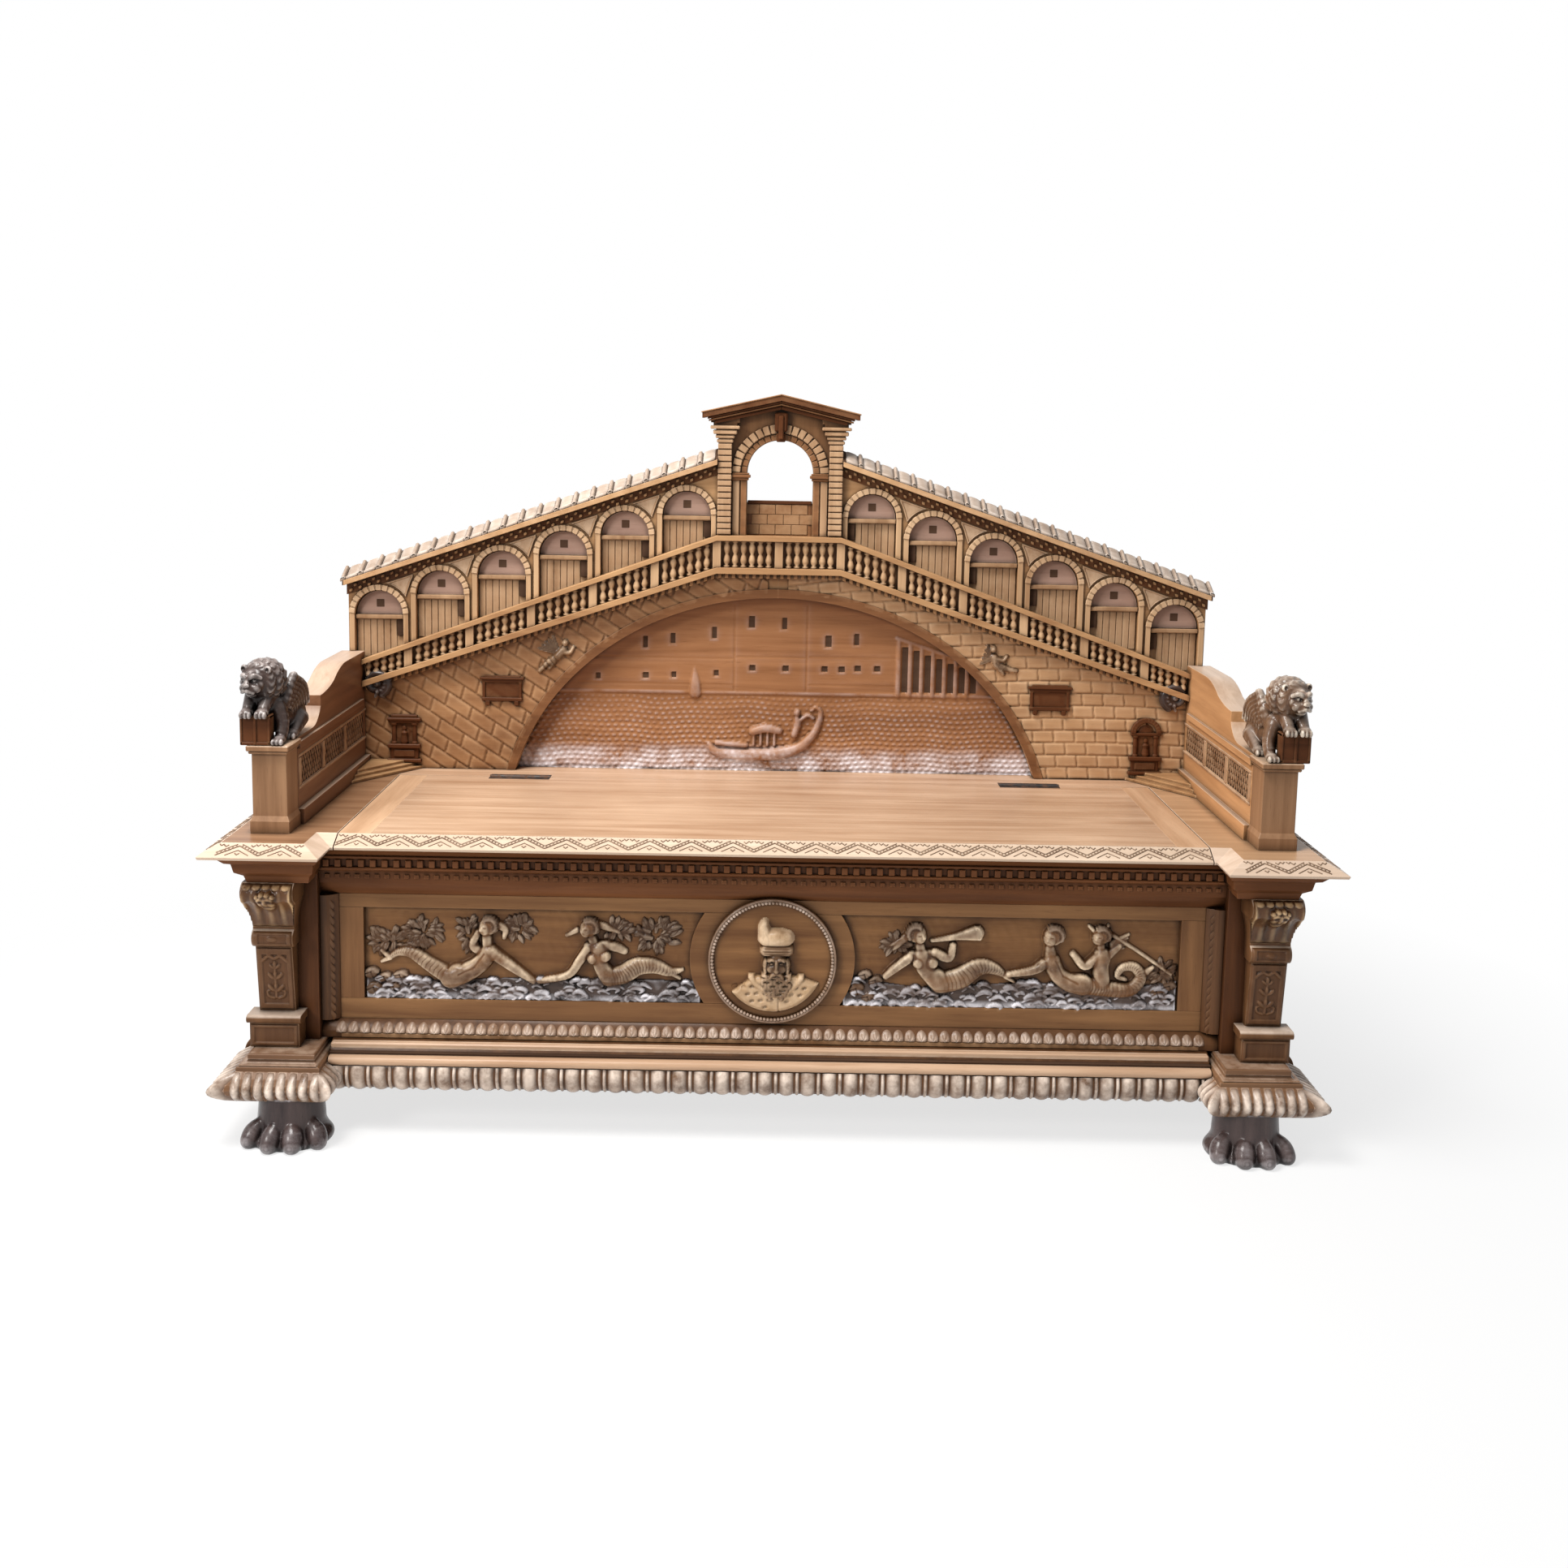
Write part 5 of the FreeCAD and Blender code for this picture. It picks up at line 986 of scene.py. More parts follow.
class Relief:
    """Height carved over an upright board that faces the front; a form falls away steeply past its own edge."""

    def __init__(self, x_span, z_span, step):
        self.xs = np.arange(x_span[0], x_span[1] + 0.5 * step, step)
        self.zs = np.arange(z_span[0], z_span[1] + 0.5 * step, step)
        self.x, self.z = np.meshgrid(self.xs, self.zs, indexing="ij")
        self.height = np.zeros_like(self.x)
        self.pale = np.zeros_like(self.x)
        self.worn_and_highlit = np.ones_like(self.x)
        self.zone = np.zeros(self.x.shape, int)
        self.kind = GROUND
        self.keen = 1.1
        self.fall = 3.0

    def window(self, x0, x1, z0, z1):
        """Part of the field round a shape."""
        i = np.searchsorted(self.xs, (x0, x1))
        j = np.searchsorted(self.zs, (z0, z1))
        return slice(i[0], i[1]), slice(j[0], j[1])

    def beside(self, a, b, room):
        """Part of the field round a line, with each place's share along the line and distance from it."""
        part = self.window(min(a[0], b[0]) - room, max(a[0], b[0]) + room,
                           min(a[1], b[1]) - room, max(a[1], b[1]) + room)
        x = self.x[part] - a[0]
        z = self.z[part] - a[1]
        run = (b[0] - a[0], b[1] - a[1])
        t = np.clip((x * run[0] + z * run[1]) / max(run[0] ** 2 + run[1] ** 2, 1e-6), 0.0, 1.0)
        return part, t, np.hypot(x - t * run[0], z - t * run[1])

    def blend(self, part, form, soft):
        """Raise the field to a form, with a soft joint between them; the form brings its kind of finish."""
        now = self.height[part]
        share = np.clip(0.5 + 0.5 * (form - now) / soft, 0.0, 1.0)
        self.height[part] = now * (1.0 - share) + form * share + soft * share * (1.0 - share)
        self.zone[part] = np.where(share > 0.5, self.kind, self.zone[part])

    def limb(self, path, radii, lift=0.0, flat=0.8, soft=2.0):
        """Rounded limb along a path, thicker or thinner from one place to the next."""
        path, radii = smoothed(path, radii)
        for a, b, ra, rb in zip(path, path[1:], radii, radii[1:]):
            room = max(ra, rb) + soft
            part, t, away = self.beside(a, b, room)
            radius = ra + t * (rb - ra)
            dome = np.sqrt(np.maximum(radius ** 2 - away ** 2, 0.0))
            self.blend(part, lift + flat * dome - self.fall * np.maximum(away - radius, 0.0), soft)

    def mound(self, centre, radii, height, lift=0.0, tilt=0.0, soft=1.5):
        """Oval swelling."""
        room = max(radii) + soft
        part = self.window(centre[0] - room, centre[0] + room, centre[1] - room, centre[1] + room)
        x = self.x[part] - centre[0]
        z = self.z[part] - centre[1]
        u = (x * math.cos(tilt) + z * math.sin(tilt)) / radii[0]
        v = (z * math.cos(tilt) - x * math.sin(tilt)) / radii[1]
        away = np.hypot(u, v)
        dome = np.sqrt(np.maximum(1.0 - away ** 2, 0.0))
        self.blend(part, lift + height * dome - self.fall * min(radii) * np.maximum(away - 1.0, 0.0), soft)

    def groove(self, path, width, depth):
        """Line cut along a path."""
        for a, b in zip(path, path[1:]):
            part, _, away = self.beside(a, b, 3.0 * width)
            self.height[part] -= depth * np.exp(-(away / width) ** 2)

    def sheet(self, name, front, keep=None, kind=None):
        """Carved face as a mesh in front of a board or of a draped surface, or the part of one kind of finish."""
        keep = np.ones(self.x.shape, bool) if keep is None else keep
        rows, columns = self.x.shape
        number = np.arange(rows * columns).reshape(rows, columns)
        cells = keep[:-1, :-1] & keep[1:, :-1] & keep[1:, 1:] & keep[:-1, 1:]
        if kind is not None:
            cells = cells & (self.zone[:-1, :-1] == kind)
        squares = np.stack([number[:-1, :-1][cells], number[1:, :-1][cells], number[1:, 1:][cells],
                            number[:-1, 1:][cells]], 1)
        points = np.stack([self.x, front - self.height, self.z], 2).reshape(-1, 3)
        used, order = np.unique(squares, return_inverse=True)
        return mesh_of(name, points[used], order.reshape(-1, 4), self.crest().reshape(-1)[used])

    def crest(self):
        """How far each place stands above the carving round it."""
        around = self.height.copy()
        for k in range(14):
            edge = np.pad(around, 1, mode="edge")
            around = (edge[:-2, 1:-1] + edge[2:, 1:-1] + edge[1:-1, :-2] + edge[1:-1, 2:]) / 4.0
        # Share of scuffing and painted highlight on the crests.
        return np.maximum(self.worn_and_highlit * np.clip((self.height - around) / self.keen, 0.0, 1.0), self.pale)


def worn_and_highlit_crests(points, faces):
    """How far each point of a figure stands out from the form round it."""
    run = np.concatenate([faces[:, [k, (k + 1) % 4]] for k in range(4)])
    count = np.bincount(run[:, 0], minlength=len(points))[:, None]
    smooth = points
    for k in range(6):
        total = np.zeros_like(points)
        np.add.at(total, run[:, 0], smooth[run[:, 1]])
        smooth = 0.5 * smooth + 0.5 * total / count
    across = np.cross(points[faces[:, 2]] - points[faces[:, 0]], points[faces[:, 3]] - points[faces[:, 1]])
    normal = np.zeros_like(points)
    for k in range(4):
        np.add.at(normal, faces[:, k], across)
    normal /= np.maximum(np.linalg.norm(normal, axis=1), 1e-9)[:, None]
    out = np.einsum("ij,ij->i", points - smooth, normal)
    # Share of scuffing and painted highlight on the figure's crests.
    return np.clip((out - 0.16) / 0.6, 0.0, 1.0)


class Figure:
    """Solid field of a figure in the round, negative inside, about an origin in millimetres."""

    def __init__(self, low, high, step):
        self.step = step
        self.low = np.array(low, float)
        axes = [np.arange(a, b + step, step) for a, b in zip(low, high)]
        self.x, self.y, self.z = np.meshgrid(*axes, indexing="ij")
        self.upright = (self.x, self.y, self.z)
        self.field = np.full(self.x.shape, 1e3)

    def turn(self, centre, angle):
        """Later shapes are turned about an upright axis through a centre."""
        x = self.upright[0] - centre[0]
        y = self.upright[1] - centre[1]
        self.x = centre[0] + x * math.cos(angle) + y * math.sin(angle)
        self.y = centre[1] - x * math.sin(angle) + y * math.cos(angle)

    def blend(self, form, soft):
        """Add a form, with a soft joint."""
        share = np.clip(0.5 + 0.5 * (self.field - form) / soft, 0.0, 1.0)
        self.field = self.field * (1.0 - share) + form * share - soft * share * (1.0 - share)

    def cut(self, form, soft):
        """Take a form away."""
        share = np.clip(0.5 - 0.5 * (self.field + form) / soft, 0.0, 1.0)
        self.field = self.field * (1.0 - share) - form * share + soft * share * (1.0 - share)

    def ball(self, centre, radii):
        """Oval ball."""
        x = (self.x - centre[0]) / radii[0]
        y = (self.y - centre[1]) / radii[1]
        z = (self.z - centre[2]) / radii[2]
        return (np.sqrt(x * x + y * y + z * z) - 1.0) * min(radii)

    def bone(self, a, b, ra, rb):
        """Round bar that may taper."""
        run = np.array(b, float) - np.array(a, float)
        t = ((self.x - a[0]) * run[0] + (self.y - a[1]) * run[1] + (self.z - a[2]) * run[2]) / max(run @ run, 1e-6)
        t = np.clip(t, 0.0, 1.0)
        away = np.sqrt((self.x - a[0] - t * run[0]) ** 2 + (self.y - a[1] - t * run[1]) ** 2
                       + (self.z - a[2] - t * run[2]) ** 2)
        return away - (ra + t * (rb - ra))

    def slab(self, low, high, edge):
        """Block with rounded edges."""
        outside = 0.0
        inside = -1e3
        for grid, a, b in zip((self.x, self.y, self.z), low, high):
            reach = np.abs(grid - (a + b) / 2) - (b - a) / 2 + edge
            outside = outside + np.maximum(reach, 0.0) ** 2
            inside = np.maximum(inside, reach)
        return np.sqrt(outside) + np.minimum(inside, 0.0) - edge

    def limb(self, path, radii, soft=3.0):
        """Add a limb along a path."""
        path, radii = smoothed(path, radii, 3)
        for a, b, ra, rb in zip(path, path[1:], radii, radii[1:]):
            self.blend(self.bone(a, b, ra, rb), soft)

    def mesh(self, name, origin):
        """Closed mesh of quads where the field is zero, one point in each crossed cell."""
        field = self.field
        shape = np.array(field.shape) - 1
        total = np.zeros((*shape, 3))
        count = np.zeros(shape)
        inside = field < 0
        for axis in range(3):
            for u in (0, 1):
                for v in (0, 1):
                    start = [0, 0, 0]
                    others = [k for k in range(3) if k != axis]
                    start[others[0]] = u
                    start[others[1]] = v
                    stop = list(start)
                    stop[axis] = 1
                    a = field[tuple(slice(s, s + n) for s, n in zip(start, shape))]
                    b = field[tuple(slice(s, s + n) for s, n in zip(stop, shape))]
                    crossed = (a < 0) != (b < 0)
                    t = np.where(crossed, a / np.where(crossed, a - b, 1.0), 0.0)
                    for k in range(3):
                        total[..., k] += np.where(crossed, start[k] + (t if k == axis else 0.0), 0.0)
                    count += crossed
        active = count > 0
        number = np.full(shape, -1)
        number[active] = np.arange(active.sum())
        cells = np.argwhere(active)
        points = self.low + origin + self.step * (cells + total[active] / count[active][:, None])
        faces = []
        for axis in range(3):
            others = [(axis + 1) % 3, (axis + 2) % 3]
            first = inside[tuple(slice(0, n) if k == axis else slice(1, n) for k, n in enumerate(shape))]
            second = inside[tuple(slice(1, n + 1) if k == axis else slice(1, n) for k, n in enumerate(shape))]
            for leaving, order in ((first & ~second, 1), (~first & second, -1)):
                spots = np.argwhere(leaving)
                spots[:, others[0]] += 1
                spots[:, others[1]] += 1
                ring = []
                for u, v in ((-1, -1), (0, -1), (0, 0), (-1, 0)):
                    spot = spots.copy()
                    spot[:, others[0]] += u
                    spot[:, others[1]] += v
                    ring.append(number[tuple(spot.T)])
                faces.append(np.stack(ring[::order], 1))
        faces = np.concatenate(faces)
        return mesh_of(name, points, faces, worn_and_highlit_crests(points, faces))


# Lions on the arm posts and paw feet

# A lion sits this far inside the outer face of its post
lion_middle = 29.0


def lion():
    """Winged lion couched on the post, paws on an upright book; about the top of the post's front edge."""
    form = Figure((-56, -36, -4), (68, 152, 148), 1.9)
    head = np.array((17.0, 22.0, 104.0))
    size = 0.84

    def at(x, y, z):
        return head + size * np.array((x, y, z))

    def lump(x, y, z, radii, soft):
        form.blend(form.ball(at(x, y, z), size * np.array(radii)), soft)

    def toes(x, y, z, radii=(3.9, 6, 5.4), soft=1.2):
        for toe in (-6.5, 0, 6.5):
            form.blend(form.ball((x + toe, y, z), radii), soft)

    form.limb([(17, 34, 96), (12, 46, 44)], [27, 27], 1.0)
    form.limb([(12, 46, 38), (-2, 106, 30)], [27, 25], 6.0)
    form.blend(form.ball((-6, 116, 32), (27, 30, 29)), 5.0)
    for side, paw_y in ((-24, 62), (20, 70)):
        form.limb([(side, 108, 26), (side * 1.05, paw_y + 14, 10)], [16, 10], 4.0)
        form.blend(form.ball((side * 1.05, paw_y, 8), (11, 16, 8.5)), 3.0)
        toes(side * 1.05, paw_y - 14, 6)
    form.limb([(-6, 40, 62), (-19, 30, 34), (-20, 20, 9)], [16, 11, 9], 4.0)
    form.blend(form.ball((-20, 10, 7.5), (10, 14, 8)), 3.0)
    toes(-20, -2, 5.5)
    form.limb([(-6, 138, 22), (10, 144, 44), (16, 132, 62)], [6, 5, 7], 2.0)
    for side in (-1.0, 1.0):
        root = np.array((12.0 + 24.0 * side, 48.0, 50.0))
        wrist = np.array((4.0 + 30.0 * side, 74.0, 106.0))
        for k in range(8):
            start = wrist + (root - wrist) * k / 8.0
            end = start + np.array((4.0 * side, 70.0 - 5.0 * k, -58.0 + 4.6 * k))
            middle = 0.5 * (start + end) + np.array((3.0 * side, 6.0, 7.0))
            form.limb([start, middle, end], [5.6, 5.8, 2.8], 0.6)
        form.limb([root, 0.5 * (root + wrist) + np.array((3.0 * side, -9.0, 4.0)), wrist], [11.0, 9.0, 7.5], 2.0)
    for x in (4.0, 29.0):
        form.limb([(x, 26, 74), (x, 6, 60)], [13, 10], 3.0)
        form.blend(form.ball((x, -2, 55), (11, 12, 8)), 2.5)
        toes(x, -11, 52, (3.9, 5.5, 6.5), 1.0)
    form.turn(head, math.radians(16.0))
    lump(0, 0, 0, (30, 29, 31), 3.0)
    for count, inner, outer, near, far, thick in ((15, 25, 38, -8, 2, 7.0), (17, 27, 43, 6, 20, 8.5),
                                                  (15, 22, 41, 18, 38, 9.0)):
        for k in range(count):
            angle = 2.0 * math.pi * (k + 0.5 * (near > 0)) / count
            out = (math.cos(angle), math.sin(angle))
            bend = (math.cos(angle + 0.32), math.sin(angle + 0.32))
            form.limb([at(inner * out[0], near, inner * out[1]),
                       at(0.84 * outer * bend[0], (near + far) / 2, 0.84 * outer * bend[1]),
                       at(0.95 * outer * out[0], far, 0.95 * outer * out[1])],
                      size * np.array((thick, 0.9 * thick, 0.55 * thick)), 1.6)
    lump(0, -26, -8, (15.5, 17, 11), 3.0)
    lump(0, -21, -21, (11, 12, 8), 2.5)
    form.limb([at(0, -22, 15), at(0, -39, -1)], [8.0, 5.6], 2.5)
    lump(0, -43, -2.5, (8.5, 5, 5), 1.0)
    for side in (-1, 1):
        lump(12 * side, -26, -10, (10.5, 12, 9.5), 2.5)
        lump(17 * side, -20, -2, (8, 7, 8), 3.0)
        form.cut(form.ball(at(10.5 * side, -34, 6), size * np.array((6.6, 8, 5.2))), 1.5)
        lump(10.5 * side, -27, 5.2, (4.4, 4.4, 4.0), 0.6)
        form.limb([at(3.5 * side, -33, 11), at(12 * side, -31, 16), at(21 * side, -22, 11)], [3.9, 4.4, 3.2], 1.2)
        lump(27 * side, -6, 25, (7.5, 6, 8.5), 1.5)
        form.cut(form.ball(at(27 * side, -12, 25), size * np.array((4, 5.5, 5))), 1.2)
        form.limb([at(3 * side, -42, -13), at(12 * side, -36, -17)], [3.8, 3.4], 1.2)
    form.cut(form.bone(at(-12, -41, -21), at(12, -41, -21), 2.3, 2.3), 1.0)
    form.field = np.maximum(form.field, -form.upright[2] + 0.2)
    centre = post_high[0] - lion_middle
    return form.mesh("lion", np.array((centre, post_low[1], post_high[2])))


def lions():
    """Both lions, each with an upright book under its forepaws."""
    # The right lion takes the sunlit copy and the left one the dark finish: painted light and shade.
    for node, mesh, finish in zip(("lion_right", "lion_left"), both_sides(lion()), (sunlit_lion, dark_wood)):
        piece(node + "_carved", mesh, finish, instead_of=node)
    book = [block((-9.0, -4.0, 0.0), (41.0, 20.0, 6.0), 1.2), block((-7.0, -2.0, 5.0), (39.0, 18.0, 46.0), 0.8),
            block((-9.0, -4.0, 45.0), (41.0, 20.0, 51.0), 1.2), block((13.5, -5.0, 1.0), (18.5, 19.0, 50.0), 1.2)]
    book += [block((x, -4.0, 1.0), (x + 4.0, 19.5, 50.0), 1.0) for x in (-9.0, 37.0)]
    place = Matrix.Translation((post_high[0] - lion_middle, post_low[1], post_high[2] - 0.2))
    piece("lion_books", moved(joined("book", book), place), gable_wood, smooth=False, twin=True)


def paw():
    """Lion's paw foot: round ankle that flares into four broad toes, about the foot's sole."""
    form = Figure((-98, -92, -4), (98, 92, 94), 2.1)
    form.limb([(0, 6, 90), (0, 4, 60), (0, 2, 24)], [53, 54, 57], 2.0)
    form.blend(form.ball((0, -4, 8), (72, 62, 24)), 8.0)
    for dx in (-54.0, -18.0, 18.0, 54.0):
        back = 0.0072 * dx * dx
        form.limb([(0.66 * dx, -42 + 0.7 * back, 44), (0.94 * dx, -56 + back, 25), (1.07 * dx, -66 + back, 12)],
                  [6.0, 15.5, 14.5], 4.0)
        form.blend(form.ball((1.0 * dx, -64 + back, 22), (8.0, 7.0, 7.0)), 3.0)
    form.field = np.maximum(form.field, -form.z)
    form.field = np.maximum(form.field, form.z - foot_top - 8.0)
    return form.mesh("paw", np.array((816.0, -250.0, 0.0)))


def paws():
    """Both front feet."""
    for node, mesh in zip(("foot_front_right", "foot_front_left"), both_sides(paw())):
        piece(node + "_carved", mesh, paw_wood, instead_of=node)


lions()
paws()


# Carved mouldings of the chest

def gadroon():
    """Wide lobe with a narrow dart beside it, wrapped on the lower part of the base torus."""
    half_height = 28.5
    round_radius = 30.4
    foot = -math.asin(half_height / round_radius)
    head = math.radians(30.0)
    tip_share = 0.2
    height = base_low[2] + half_height
    depth = base_low[1] + round_radius

    def lobe(middle, width, swell):
        def point(s, t):
            angle = foot + (head - foot) * t
            end = math.sqrt(max(0.0, 1.0 - max(0.0, (tip_share - t) / tip_share) ** 2))
            edge = max(0.0, math.cos(0.5 * math.pi * s)) ** 0.75 * end
            radius = round_radius - 0.6 + swell * edge
            # Last value: share of scuffing and painted highlight, paler towards the top of the lobe.
            return (middle + 0.5 * width * s * (0.55 + 0.45 * end), depth - radius * math.cos(angle),
                    height + radius * math.sin(angle),
                    edge ** 1.3 * (0.45 + 0.55 * t) * (0.8 + 0.2 * math.sin(math.pi * s) ** 2))
        return patch("lobe", point, 10, 9)

    return joined("gadroon", [lobe(0.0, 25.5, 5.0), lobe(18.3, 7.4, 3.4)])


def ovolo(z_low, z_high, front, bulge, back):
    """Plain half-round moulding along the front, closed above to the moulding behind it."""
    reach = base_high[0] - 2.0

    def point(s, t):
        angle = math.radians(-80.0 + 170.0 * min(1.0, t / 0.85))
        y = front + bulge - bulge * math.cos(angle) + back * max(0.0, t - 0.86) / 0.14
        # Last value: share of scuffing and painted highlight, growing towards the top.
        return (reach * s, y, (z_low + z_high) / 2 + 0.5 * (z_high - z_low) * math.sin(angle), 0.38 + 0.3 * t)
    return patch("ovolo", point, 40, 9)


def cushion_lobe(across, width=17.0, swell=6.5):
    """Lobe of the pedestal's cushion; across gives the place for a distance along, out from the core, and height."""
    def point(s, t):
        bulge = math.sin(math.pi * t)
        edge = max(0.0, math.cos(0.5 * math.pi * s)) ** 0.75 * max(0.0, bulge) ** 0.4
        # Last value: share of scuffing and painted highlight, growing towards the top.
        return (*across(0.5 * width * s * (0.75 + 0.25 * bulge), 14.0 + 20.0 * bulge - 0.6 + swell * edge,
                        cushion_low[2] + 52.0 * t), edge ** 1.2 * min(1.0, 0.55 + 0.9 * t))
    return patch("cushion_lobe", point, 6, 10)


def gadroons():
    """Lobes of the base torus and of the two pedestal cushions, and the plain moulding over the torus."""
    pitch = 36.6
    last = base_high[0] - 14.0
    count = int(2.0 * last / pitch) + 1
    reach = 0.5 * pitch * (count - 1)
    piece("base_gadroons", row(gadroon(), moulding_wood, count, (-reach - 9.0, 0, 0), (reach - 9.0, 0, 0)),
          moulding_wood)
    strip = ovolo(base_low[2] + 45.0, base_low[2] + 61.0, base_low[1] - 1.5, 9.0, 22.0)
    piece("base_ovolo", strip, seat_wood)
    band = block((-base_high[0], base_low[1] + 24.0, base_low[2] + 65.0),
                 (base_high[0], leaf_low[1] + 4.0, base_low[2] + 77.5), 2.4)
    piece("base_band", band, seat_wood, smooth=False)
    # Painted shade: a dark line over the ovolo.
    line = block((-base_high[0], base_low[1] + 14.0, base_low[2] + 61.0),
                 (base_high[0], base_low[1] + 30.0, base_low[2] + 64.6), 0.4)
    piece("base_quirk", line, shadow_wood, smooth=False)
    fillets = []
    for x0, x1, front, low, high in ((761.0, 892.0, 287.5, 138.0, 142.0), (766.0, 879.0, 280.0, 147.0, 157.2)):
        fillets += both_sides(block((x0, -front, low), (x1, -150.0, high), 1.4))
    piece("pedestal_fillets", fillets, base_wood, smooth=False)
    front_swell = 34.0
    side_swell = 54.0
    side_share = side_swell / front_swell
    core_front = cushion_low[1] + front_swell
    core_outer = cushion_high[0] - side_swell
    core_inner = pier_inner - 6.0
    front = cushion_lobe(lambda a, out, z: (a, core_front - out, z))
    outer = cushion_lobe(lambda a, out, z: (core_outer + out * side_share, a, z))
    inner = cushion_lobe(lambda a, out, z: (core_inner - out, -a, z))
    fold = cushion_lobe(lambda a, out, z: (core_outer + out * side_share + min(0.0, a),
                                           core_front - out + max(0.0, a), z), 34.0, 6.5)
    near_fold = cushion_lobe(lambda a, out, z: (core_inner - out + max(0.0, a), core_front - out + max(0.0, -a), z),
                             30.0, 6.0)
    meshes = [row(front, moulding_wood, 8, (core_inner - 10.0, 0, 0), (core_outer + 18.0, 0, 0)),
              row(outer, moulding_wood, 8, (0, core_front - 8.0, 0), (0, core_front + 104.0, 0)),
              row(inner, moulding_wood, 4, (0, core_front - 8.0, 0), (0, core_front + 42.0, 0)), fold, near_fold]
    piece("cushion_gadroons", meshes, moulding_wood, twin=True)


def leaf():
    """Low round leaf on the sloping moulding, with a rib and side folds."""
    def point(s, t):
        angle = 0.5 * math.pi * (s + 1.0)
        x = -10.3 * t * math.cos(angle)
        z = leaf_low[2] + 10.0 + 17.0 * t * math.sin(angle)
        slope = max(0.0, z - leaf_low[2] - 12.0) / 18.0
        ground = leaf_low[1] + 12.0 * slope ** 1.5
        fold = math.cos(3.0 * (angle - 0.5 * math.pi)) ** 2
        swell = 4.6 * math.sqrt(max(0.0, 1.0 - t * t)) * (0.7 + 0.3 * fold) - 0.4
        return (x, ground - swell, z, (0.35 + 0.5 * fold) * (1.0 - t ** 3))
    return patch("leaf", point, 14, 5)


def stile_leaf():
    """Small pointed leaf of the upright runs of the moulding."""
    def point(s, t):
        swell = 2.6 * math.cos(0.5 * math.pi * s) ** 0.6 * math.sin(math.pi * t) ** 0.6 * (0.55 + 0.45 * abs(s)) - 0.3
        return (8.0 * s * math.sin(math.pi * (0.12 + 0.84 * t)), -swell, 18.0 * t - 5.0 * abs(s),
                0.25 * max(0.0, swell))
    return patch("stile_leaf", point, 8, 6)


def bead(radius):
    """Half bead that faces the front."""
    def point(s, t):
        angle = -math.pi * s
        swell = math.sqrt(max(0.0, 1.0 - t * t))
        return (radius * t * math.cos(angle), -radius * 0.9 * swell, radius * t * math.sin(angle), 0.8 * swell)
    return patch("bead", point, 10, 4)


def hoop(radius, thick, front, middle):
    """Half-round hoop that faces the front."""
    def point(s, t):
        around = -math.pi * s
        turn = math.pi * (t - 0.5)
        reach = radius + thick * math.sin(turn)
        return (reach * math.cos(around), front - thick * math.cos(turn), middle + reach * math.sin(around),
                0.25 * math.cos(turn))
    return patch("hoop", point, 96, 7)


def chest_mouldings():
    """Leaves, dentils and beads round the chest front, and the hoop round the medallion."""
    reach = pier_inner - 34.0
    piece("chest_leaves", row(leaf(), leaf_wood, 75, (-reach, 0, 0), (reach, 0, 0)), leaf_wood)
    foot = block((-reach, leaf_low[1] - 1.0, leaf_low[2] + 0.5), (reach, leaf_low[1] + 3.0, leaf_low[2] + 8.5), 1.0)
    piece("leaf_foot", foot, chest_wood, smooth=False)
    run_front = frame_front - 11.0
    ends = (leaf_low[2] + 34.0, leaf_high[2] - 22.0)
    runs = [row(stile_leaf(), stile_wood, 15, *[(x, run_front, z) for z in ends])
            for x in (pier_inner - 17.0, -pier_inner + 17.0)]
    piece("stile_leaves", runs, stile_wood)
    front = frame_front - 18.0
    middle = corners("dentil_cornice")[0][2] + 60.0
    reach = pier_inner - 14.0
    dentil = block((-5.2, -6.0, -6.4), (5.2, 0.6, 6.4), 1.2)
    teeth = [row(dentil, shaded_cornice_wood, 77, (-reach, front, middle), (reach, front, middle))]
    teeth += [block((-reach - 8.0, front - 5.0, middle + low), (reach + 8.0, front + 1.0, middle + high), 1.5)
              for low, high in ((7.0, 13.0), (-12.0, -7.0))]
    piece("cornice_dentils", teeth, shaded_cornice_wood, smooth=False)
    tooth = block((-4.4, -3.0, -3.6), (4.4, 4.0, 3.6), 1.0)
    ends = [(x, front + 6.0, middle - 25.0) for x in (-reach, reach)]
    piece("cornice_low_dentils", row(tooth, shaded_cornice_wood, 91, *ends), shaded_cornice_wood, smooth=False)
    ring_middle = (medal_low[2] + medal_high[2]) / 2
    ring_front = corners("medallion_ring")[0][1]
    pearls = 108
    ring = arc_of(bead(3.3), leaf_wood, pearls, (0, ring_front + 0.6, ring_middle), 104.0, 0.0,
                  2.0 * math.pi / pearls)
    piece("ring_pearls", [hoop(108.4, 2.4, ring_front + 1.4, ring_middle), ring], leaf_wood)


# Carved splay of the seat edge

def ridge(path, width, height, place):
    """Low ridge along a path on a flat face; place(u, s, h) gives the point."""
    points = []
    for k, (u, s) in enumerate(path):
        a = path[max(0, k - 1)]
        b = path[min(len(path) - 1, k + 1)]
        length = math.hypot(b[0] - a[0], b[1] - a[1])
        across = (-(b[1] - a[1]) / length, (b[0] - a[0]) / length)
        for offset, rise in ((0.5, -0.3), (0.25, height), (-0.25, height), (-0.5, -0.3)):
            points.append(place(u + width * offset * across[0], s + width * offset * across[1], rise))
    return mesh_of("ridge", points, quads(len(path), 4))


